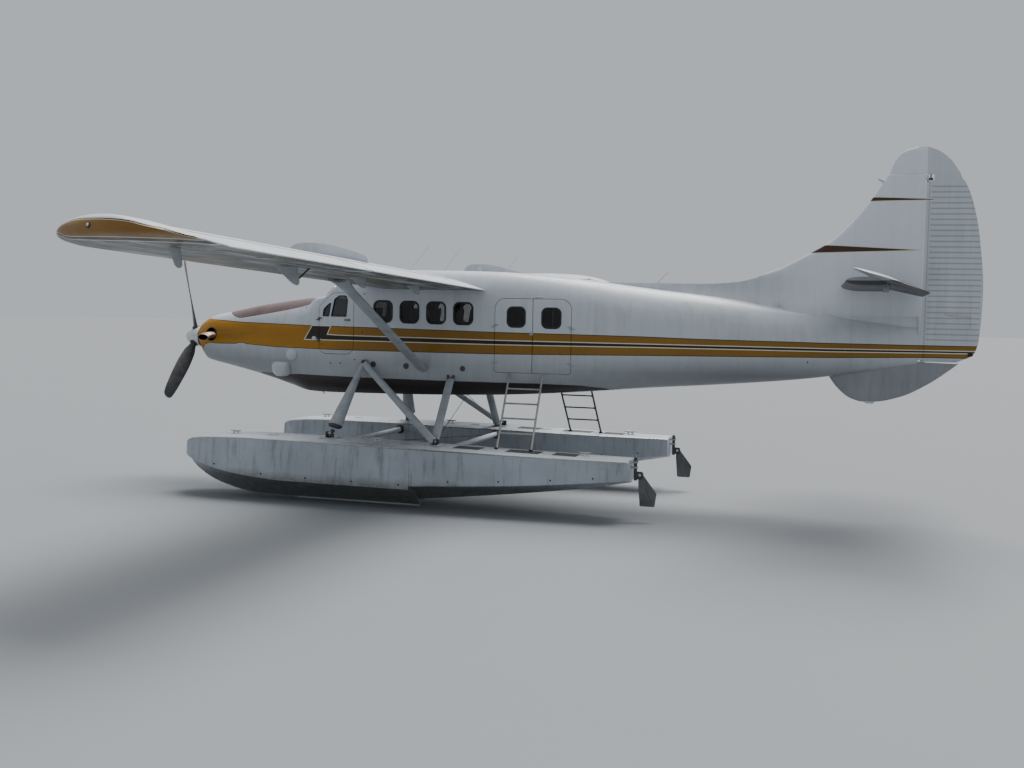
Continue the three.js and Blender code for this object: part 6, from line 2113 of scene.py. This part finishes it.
shape = Shape()
scoop(shape, PORT)
blister(shape, 2.364, -0.230, PORT, 0.098, 0.060, 0, 1.12)
for side, _ in SIDES:
    blister(shape, 2.804, 0.048, side, 0.030, 0.016, 0, 1.5)
    for x, z, r in ((3.870, -0.335, 0.046), (4.423, -0.347, 0.046), (5.357, -0.358, 0.042)):
        on_body(shape, x, z, side, [(-0.004, r), (0.003, r), (0.005, r - 0.006), (0.001, r - 0.010),
                                    (0.001, 0.004)], 2)
    for x, z in ((2.591, 0.532), (2.955, -0.045), (3.670, 0.164), (3.119, -0.342), (3.298, -0.336),
                 (3.545, -0.273),
                 (3.705, 0.760), (10.452, -0.122)):
        on_body(shape, x, z, side, [(-0.002, 0.012), (0.003, 0.012), (0.006, 0.006)], 2, 12)
    # Cowl latches
    for x, z in ((1.05, -0.30), (1.45, -0.36), (1.85, -0.42), (1.25, 0.36), (1.75, 0.44), (2.25, 0.52)):
        on_body(shape, x, z, side, [(-0.002, 0.009), (0.0015, 0.009), (0.003, 0.005)], 3, 12)
# Bright strip along the bottom of the nose and a small mast behind it
strip = [SURFACE.at(x, 1.0) + np.array([0, 0, 0.002]) for x in np.linspace(0.50, 2.96, 44)]
shape.tube(strip, 0.009, 8, 3)
shape.tube([(2.575, 0, -0.815), (2.600, 0, -0.860), (2.640, 0, -0.900)], [0.012, 0.010, 0.007], 10, 3)
# Whip antennas, a blade antenna and the fin's probe
for (x0, z0), (x1, z1) in (((4.18, 1.196), (4.496, 1.587)), ((4.733, 1.144), (5.003, 1.505)),
                           ((5.773, 1.135), (5.956, 1.394)),
                           ((8.172, 0.985), (8.348, 1.174))):
    roof = station(x0)[0]
    slope = (z1 - z0) / (x1 - x0)
    foot = np.array([x0 + (roof - z0) / slope, 0, roof])
    shape.lathe([(-0.004, 0.026), (0.005, 0.024), (0.014, 0.012), (0.022, 0.009)], foot, (0, 0, 1), 18, 4)
    shape.tube([foot + (0, 0, 0.010), ((foot[0] + x1) / 2, 0, (foot[2] + z1) / 2), (x1, 0, z1)],
               [0.0095, 0.0085, 0.0055],
               10, 4)
blade = [(5.270, 1.120), (5.390, 1.120), (5.350, 1.205), (5.310, 1.212)]
rings = []
for share in np.linspace(0, 1, 6):
    a, b = (np.array(low) + (np.array(high) - np.array(low)) * share
            for low, high in ((blade[0], blade[3]), (blade[1], blade[2])))
    t = np.linspace(0, 2 * math.pi, 20, endpoint=False)
    rings.append(np.column_stack([(a[0] + b[0]) / 2 - (b[0] - a[0]) / 2 * np.cos(t),
                                  0.012 * (1 - 0.4 * share) * np.sin(t),
                                  np.full(20, a[1])]))
shape.loft(rings, 4)
shape.prism([(11.452, 2.418), (11.452, 2.470), (11.334, 2.520), (11.320, 2.508), (11.395, 2.455)], -0.009,
            0.009, "y", 4)
shape.make("body_fittings", ["white", "black", "dark_metal", "steel", "white"], "airframe", "white_skin",
           sharp=40)


# Bracing wires between the float struts
def wires():
    shape = Shape()
    pairs = []
    for side in (-1, 1):
        pairs.append((np.array([5.150 + 0.012 * side, side * 0.775, -0.470]),
                      np.array([5.175 + 0.012 * side, -side * 1.500, -1.430])))
        pairs.append((np.array([3.600, side * 1.10, SPREADER_Z + 0.012 * side]),
                      np.array([5.200, -side * 1.10, SPREADER_Z + 0.012 * side])))
    for a, b in pairs:
        shape.bar(a, b, 0.0042, sides=8, mat=0)
        along = (b - a) / np.linalg.norm(b - a)
        for end, way in ((a, along), (b, -along)):
            shape.lathe([(0, 0.011), (0.05, 0.009), (0.11, 0.0085), (0.12, 0.005)], end, way, 12, 1)
    shape.make("float_wires", ["dark_metal", "steel"], "airframe", "float_alloy")


wires()


# Boarding ladders
def ladders():
    wide = 0.524
    for word, side, top_x, foot_x, finish in (("port", PORT, 6.111, 6.157, "worn_alloy"),
                                              ("starboard", STARBOARD, 6.400, 6.490, "dark_metal")):
        shape = Shape()
        top = np.array([top_x, 0.806, -0.415])
        deck = deck_at(foot_x - 0.030)
        foot = np.array([foot_x, 1.500, deck + 0.012])
        flip = np.array([1, side, 1])
        for d in (0.0, wide):
            shift = np.array([d, 0, 0])
            rail = [(top + shift) * flip, (foot + shift) * flip]
            shape.tube([rail[0] + (rail[1] - rail[0]) * t for t in (0.0, 0.5, 1.0)], 0.0155, 16, 0)
            # Hook over the sill's bracket and a rubber foot
            hook = top + shift
            shape.tube([(hook + (0, -0.004, -0.030)) * flip, (hook + (0, 0.012, 0.004)) * flip,
                        (hook + (0, -0.006, 0.020)) * flip], 0.012, 12, 0)
            base = deck_at(foot_x + d - 0.030) + 0.001
            shape.box(np.array([foot_x + d - 0.028, 1.472, base]) * flip,
                      np.array([foot_x + d + 0.028, 1.528, base + 0.028])
                      * flip, 0.008, 1)
        for t in (0.2, 0.4, 0.6, 0.8):
            a = top + (foot - top) * t
            b = a + np.array([wide, 0, 0])
            line = [a * flip, (a * 0.75 + b * 0.25) * flip, (a * 0.25 + b * 0.75) * flip, b * flip]
            shape.tube(line, 0.0135, 14, 0)
            for end, way in ((a, 1), (b, -1)):
                shape.lathe([(0.012, 0.0185), (0.022, 0.0185), (0.027, 0.014)], end * flip, (way, 0, 0), 14,
                            0)
        shape.make(f"boarding_ladder_{word}", [finish, "rubber"], "airframe", "float_alloy",
                   [f"ladder_{word}"], sharp=40)


M["worn_alloy"] = plain("worn_alloy", (0.42, 0.42, 0.41), (0.22, 0.21, 0.20), 0.42, 0.6, (7, 7, 7), 0.0003)
ladders()


# Water rudders: steering post with its fork, and the lifting blade
POST_X = 8.235
PIVOT_X, PIVOT_Z = 8.300, -1.720


def water_rudders():
    for side, word in SIDES:
        y = side * FLOAT_Y
        post = Shape()
        post.lathe([(0, 0.018), (0.004, 0.0235), (0.324, 0.0235), (0.330, 0.018)], (POST_X, y, -1.800),
                   (0, 0, 1), 28, 0)
        post.lathe([(0, 0.034), (0.002, 0.036), (0.012, 0.036), (0.014, 0.034)], (POST_X, y, -1.5277),
                   (0, 0, 1), 28, 0)
        for s in (-1, 1):
            plate = panel((8.222, -1.780), (8.345, -1.675), 0.020, 0.035)
            post.prism(plate, y + s * 0.0225 - 0.0055, y + s * 0.0225 + 0.0055, "y", 0)
            post.lathe([(0, 0.021), (0.004, 0.021), (0.008, 0.014)], (PIVOT_X, y + s * 0.028, PIVOT_Z),
                       (0, s, 0), 20, 1)
        post.make(f"rudder_post_{word}", ["dark_metal", "steel"], f"water_rudder_{word}", "float_alloy",
                  [f"water_rudder_post_{word}"], sharp=40)
        blade = Shape()
        px, pz = PIVOT_X, PIVOT_Z
        outline = softened([(px - 0.022, pz + 0.025), (px + 0.025, pz + 0.030), (px + 0.240, pz - 0.250),
                            (px + 0.215, pz - 0.440), (px + 0.005, pz - 0.440), (px - 0.022, pz - 0.120)],
                            0.020)
        edge = dense(outline, 0.03)
        rings = []
        for by, out in ((-0.006, -0.008), (-0.0015, -0.0072), (0.0, -0.004), (0.0, 0.004),
                        (-0.0015, 0.0072), (-0.006, 0.008)):
            rings.append([(a, y + out, b) for a, b in grown(edge, by)])
        blade.loft(rings, 0)
        # Pressed ribs and the pivot pin
        for (x0, z0), (x1, z1) in (((px + 0.045, pz - 0.10), (px + 0.180, pz - 0.400)),
                                   ((px + 0.015, pz - 0.15), (px + 0.10, pz - 0.405))):
            for s in (-1, 1):
                line = [(x0 + (x1 - x0) * t, y + s * 0.0075, z0 + (z1 - z0) * t)
                        for t in np.linspace(0, 1, 8)]
                blade.tube(line, [0.003, 0.006, 0.007, 0.007, 0.007, 0.007, 0.006, 0.003], 10, 0)
        blade.bar((px, y - 0.0315, pz), (px, y + 0.0315, pz), 0.0115, sides=20, mat=1)
        blade.make(f"rudder_blade_{word}", ["worn_alloy_dark", "steel"], f"water_rudder_blade_{word}",
                   "float_alloy",
                   [f"water_rudder_blade_{word}"], sharp=40)


M["worn_alloy_dark"] = plain("worn_alloy_dark", (0.16, 0.165, 0.17), (0.08, 0.08, 0.08), 0.45, 0.5,
                             (7, 7, 3), 0.0004)
water_rudders()


# Seats: stuffed cushions with seams on light frames
def cloth_material(name, base, other, weave):
    g = Graph(name, rough=0.85, Sheen_Weight=0.3)
    broad = g.noise((4, 4, 4), 5)
    thread = g.noise((240, 240, 240), 3, 0.7)
    color = g.mix(g.ramp(broad, 0.35, 0.7), base, other)
    g.set("Base Color", g.mix(g.mul(g.ramp(thread, 0.4, 0.7), 0.45), color, tuple(0.55 * v for v in base)))
    g.raise_by(thread, weave)
    g.raise_by(g.noise((18, 18, 18), 4), 0.0012)
    return g.done()


M["seat_cloth"] = cloth_material("seat_cloth", (0.13, 0.14, 0.17), (0.09, 0.095, 0.12), 0.0009)
M["seat_leather"] = cloth_material("seat_leather", (0.19, 0.165, 0.14), (0.13, 0.11, 0.095), 0.0003)
FLOOR_TOP = -0.430
# How far a cushion's sides pull in between its corners
PULL = 0.016


def cushion_shape(long, wide, thick, channels):
    """A crowned cushion round its own middle: sides pulled in between the corners, channels across it."""
    shape = Shape()
    us = np.linspace(-1, 1, 33)
    vs = np.linspace(-1, 1, 37)
    grid = {}
    for way in (1, -1):
        for i, u in enumerate(us):
            for j, v in enumerate(vs):
                x = long / 2 * u * (1 - PULL * 2 / long * (1 - v * v) * abs(u) ** 3)
                y = wide / 2 * v * (1 - PULL * 2 / wide * (1 - u * u) * abs(v) ** 3)
                round_off = (1 - abs(u) ** 6) ** 0.5 * (1 - abs(v) ** 6) ** 0.5
                crown = 0.72 + 0.28 * (1 - u * u) * (1 - v * v)
                seam = sum(math.exp(-(((u - c) * long / 2 / 0.009) ** 2))
                           for c in channels) if way > 0 else 0
                wrinkle = 0.0018 * math.sin(9.0 * u + 4.0 * v) * math.sin(7.0 * v - 3.0 * u)
                high = thick / 2 * round_off * crown - 0.010 * min(1.0, seam) * round_off
                if way < 0:
                    high = thick / 2 * round_off
                grid[(way, i, j)] = (x, y, way * (high + wrinkle * round_off))
    index = {}
    verts = []
    for key, point in grid.items():
        way, i, j = key
        if way < 0 and (i in (0, 32) or j in (0, 36)):
            index[key] = index[(1, i, j)]
            continue
        index[key] = len(verts)
        verts.append(point)
    faces = []
    for way in (1, -1):
        for i in range(32):
            for j in range(36):
                face = [index[(way, i, j)], index[(way, i + 1, j)], index[(way, i + 1, j + 1)],
                        index[(way, i, j + 1)]]
                faces.append(face if way > 0 else face[::-1])
    shape.put(verts, faces, 0)
    # Piping round the seam
    rim = []
    for t in np.linspace(0, 2 * math.pi, 97)[:-1]:
        c, s = math.cos(t), math.sin(t)
        u = math.copysign(abs(c) ** 0.28, c)
        v = math.copysign(abs(s) ** 0.28, s)
        rim.append((long / 2 * u * (1 - 0.032 / long * (1 - v * v) * abs(u) ** 3) * 0.985,
                    wide / 2 * v * (1 - 0.032 / wide * (1 - u * u) * abs(v) ** 3) * 0.985, 0.0))
    shape.tube([*rim, rim[0]], 0.0045, 6, 1, caps=False)
    return shape


def moved(shape, origin, along, up):
    """The shape turned so that its x runs along and its z up, round the origin."""
    along = np.asarray(along, float) / np.linalg.norm(along)
    up = np.asarray(up, float) / np.linalg.norm(up)
    across = np.cross(up, along)
    shape.verts = [tuple(np.asarray(origin) + v[0] * along + v[1] * across + v[2] * up)
                   for v in shape.verts]
    return shape


def seat(name, x, y, wide, node, cloth):
    floor = FLOOR_TOP
    lower = moved(cushion_shape(0.455, wide - 0.012, 0.122, (-0.35, 0.35)), (x, y, floor + 0.325),
                  (1, 0, 0), (0, 0, 1))
    piece = lower.make(f"{name}_cushion", [cloth, "rubber"], "airframe", "seat_cloth", [node], sharp=70)
    lean = np.array([0.108, 0, 0.612])
    middle = np.array([x + 0.237, y, floor + 0.693])
    back = moved(cushion_shape(0.610, wide - 0.012, 0.088, (-0.5, 0.0, 0.5)), middle, lean,
                 (-0.612, 0, 0.108))
    piece = back.make(f"{name}_back", [cloth, "rubber"], "airframe", "seat_cloth", sharp=70)
    legs = Shape()
    for side in (-1, 1):
        b = y + side * (wide / 2 - 0.075)
        legs.tube([(x - 0.140, b, floor + 0.022), (x - 0.125, b, floor + 0.255),
                   (x + 0.135, b, floor + 0.262),
                   (x + 0.145, b, floor + 0.022)], 0.011, 12, 0)
        legs.tube([(x + 0.150, b, floor + 0.300), (x + 0.215, b, floor + 0.400),
                   (x + 0.285, b, floor + 0.800)], 0.010, 12, 0)
    for a in (-0.135, 0.142):
        legs.bar((x + a, y - wide / 2 + 0.075, floor + 0.045), (x + a, y + wide / 2 - 0.075, floor + 0.045),
                 0.008, sides=10)
    legs.make(f"{name}_frame", ["worn_alloy"], "airframe", "cabin_lining")


def seats():
    for side, word in SIDES:
        seat(f"pilot_seat_{word}", 3.420, side * 0.330, 0.470, f"crew_seat_{word}", "seat_leather")
        for row, x in enumerate((4.150, 4.850, 5.500)):
            seat(f"row_{row + 1}_seat_{word}", x, side * 0.410, 0.480, f"cabin_seats_{word}", "seat_cloth")
        rails = Shape()
        for y, x0, x1 in ((side * 0.330, 3.160, 3.680), (side * 0.410, 3.890, 5.760)):
            for d in (-0.10, 0.10):
                rails.box((x0, y + d - 0.012, FLOOR_TOP + 0.001), (x1, y + d + 0.012, FLOOR_TOP + 0.024),
                          0.004, 0)
        rails.make(f"seat_rails_{word}", ["worn_alloy"], "airframe", "cabin_lining")


seats()


# Instrument panel with round dials, its shade and the centre pedestal
def cockpit_panel():
    shape = Shape()
    shape.box((2.842, -0.558, 0.092), (2.880, 0.558, 0.538), 0.010, 0)
    arc = [(2.772, 0.542), (2.958, 0.542), (2.958, 0.556), (2.900, 0.563), (2.790, 0.564), (2.772, 0.556)]
    shape.prism(arc, -0.538, 0.538, "y", 1)
    shape.box((2.847, -0.108, FLOOR_TOP + 0.001), (2.958, 0.108, 0.118), 0.012, 0)
    for side in (-1, 1):
        for row, z in enumerate((0.450, 0.350, 0.250)):
            for column in range(3):
                y = side * (0.215 + column * 0.105)
                r = 0.042 if row < 2 else 0.030
                shape.lathe([(0, r), (0.004, r), (0.006, r - 0.004), (0.003, r - 0.007), (0.003, 0.003)],
                            (2.878, y, z),
                            (1, 0, 0), 24, 2)
                turn = 0.7 + row + column * 1.3
                tip = (2.8835, y + (r - 0.012) * math.sin(turn), z + (r - 0.012) * math.cos(turn))
                shape.bar((2.8835, y, z), tip, 0.0012, sides=6, mat=3)
    for y in (-0.06, 0.0, 0.06):
        for z in (0.42, 0.33, 0.24, 0.15):
            shape.box((2.878, y - 0.026, z - 0.018), (2.884, y + 0.026, z + 0.018), 0.003, 1)
    for y in (-0.04, 0.0, 0.04):
        shape.tube([(2.900, y, 0.110), (2.930, y, 0.170), (2.950, y, 0.200)], 0.005, 10, 3)
        shape.lathe([(0, 0.010), (0.006, 0.014), (0.018, 0.014), (0.024, 0.008)], (2.948, y, 0.194),
                    (0.5, 0, 0.8), 14, 1)
    shape.make("flight_panel", ["lining", "rubber", "black", "white"], "airframe", "cabin_lining",
               ["instrument_panel"])
    # Control wheels on their columns
    wheel = Shape()
    for side in (-1, 1):
        y = side * 0.330
        wheel.bar((2.872, y, 0.200), (3.010, y, 0.215), 0.012, sides=14, mat=0)
        ring = [(3.010 + 0.006 * math.cos(t), y + 0.135 * math.sin(t), 0.215 + 0.115 * math.cos(t))
                for t in np.linspace(0.6, 2 * math.pi - 0.6, 33)]
        wheel.tube(ring, 0.011, 12, 1)
        wheel.bar((3.010, y - 0.130, 0.215), (3.010, y + 0.130, 0.215), 0.010, sides=12, mat=0)
    wheel.make("control_wheels", ["dark_metal", "rubber"], "airframe", "cabin_lining")


cockpit_panel()


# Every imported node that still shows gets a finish
FINISH = {
    "engine_block": "dark_metal", "exhaust": "steel", "cabin_floor": "floor_mat",
    "instrument_panel": "lining",
    "crew_seat": "lining", "cabin_seats": "lining", "fin": "tail", "ventral_fin": "grey",
    "stabilizer": "grey",
    "wing_strut": "grey", "wing": "white", "windscreen": "screen_glass", "window_glass": "glass",
    "float": "grey",
    "forward_float_struts": "grey", "rear_float_strut": "grey", "spreader": "white", "ladder": "grey",
    "propeller": "dark_metal", "spinner": "white", "flap": "white", "aileron": "white", "rudder": "tail",
    "elevator": "grey", "water_rudder": "dark_metal", "cockpit_door_glass": "glass", "cargo_glass": "glass",
    "cabin_door_glass": "glass",
}
for node_name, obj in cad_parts.items():
    if obj.hide_render:
        continue
    fits = [key for key in FINISH if node_name.startswith(key)]
    obj.data.materials.clear()
    obj.data.materials.append(M[FINISH[max(fits, key=len)]] if fits else M["white"])


# Camera solved from the photograph, in the part's frame
FOCUS_PX = 1176.626
YAW, PITCH, ROLL = 0.30331, -0.06451, 0.01795
EYE = (5.06027, -17.73918, 2.96284)
SENSOR_MM = 36
PHOTO_WIDE = 1024
cy, sy = math.cos(YAW), math.sin(YAW)
cp, sp = math.cos(PITCH), math.sin(PITCH)
cr, sr = math.cos(ROLL), math.sin(ROLL)
turned = (
    Matrix(((cr, 0, sr), (0, 1, 0), (-sr, 0, cr)))
    @ Matrix(((1, 0, 0), (0, cp, sp), (0, -sp, cp)))
    @ Matrix(((cy, sy, 0), (-sy, cy, 0), (0, 0, 1)))
)
camera_data = bpy.data.cameras.new("camera")
camera_data.sensor_width = SENSOR_MM
camera_data.lens = FOCUS_PX * SENSOR_MM / PHOTO_WIDE
camera_data.clip_end = 500
camera = bpy.data.objects.new("camera", camera_data)
bpy.context.scene.collection.objects.link(camera)
right, depth, up = turned[0], turned[1], turned[2]
axes = Matrix((right, up, -depth)).transposed().to_4x4()
camera.matrix_world = Matrix.Translation(Vector(EYE)) @ axes
bpy.context.scene.camera = camera


# Pale floor and soft light
def studio():
    g = Graph("studio_floor", rough=0.9)
    g.set("Base Color", g.mix(g.noise((0.4, 0.4, 0.4), 3), (0.199, 0.212, 0.227), (0.210, 0.223, 0.239)))
    M["studio_floor"] = g.done()
    mesh = bpy.data.meshes.new("studio_floor")
    size = 160
    mesh.from_pydata([(-size, -size, 0), (size, -size, 0), (size, size, 0), (-size, size, 0)], [],
                     [(0, 1, 2, 3)])
    mesh.materials.append(M["studio_floor"])
    floor = bpy.data.objects.new("studio_floor", mesh)
    bpy.context.scene.collection.objects.link(floor)
    world = bpy.data.worlds.new("studio_world")
    bpy.context.scene.world = world
    world.use_nodes = True
    background = world.node_tree.nodes["Background"]
    background.inputs[0].default_value = (0.90, 0.95, 1.0, 1)
    background.inputs[1].default_value = 0.56

    data = bpy.data.lights.new("sky_light", "SUN")
    data.energy = 6.0
    data.angle = math.radians(45)
    data.color = (1.0, 0.985, 0.96)
    light = bpy.data.objects.new("sky_light", data)
    bpy.context.scene.collection.objects.link(light)
    light.rotation_euler = (Vector((0, 0, 0)) - Vector((1.5, 5.0, 9.0))).to_track_quat("-Z", "Y").to_euler()


studio()
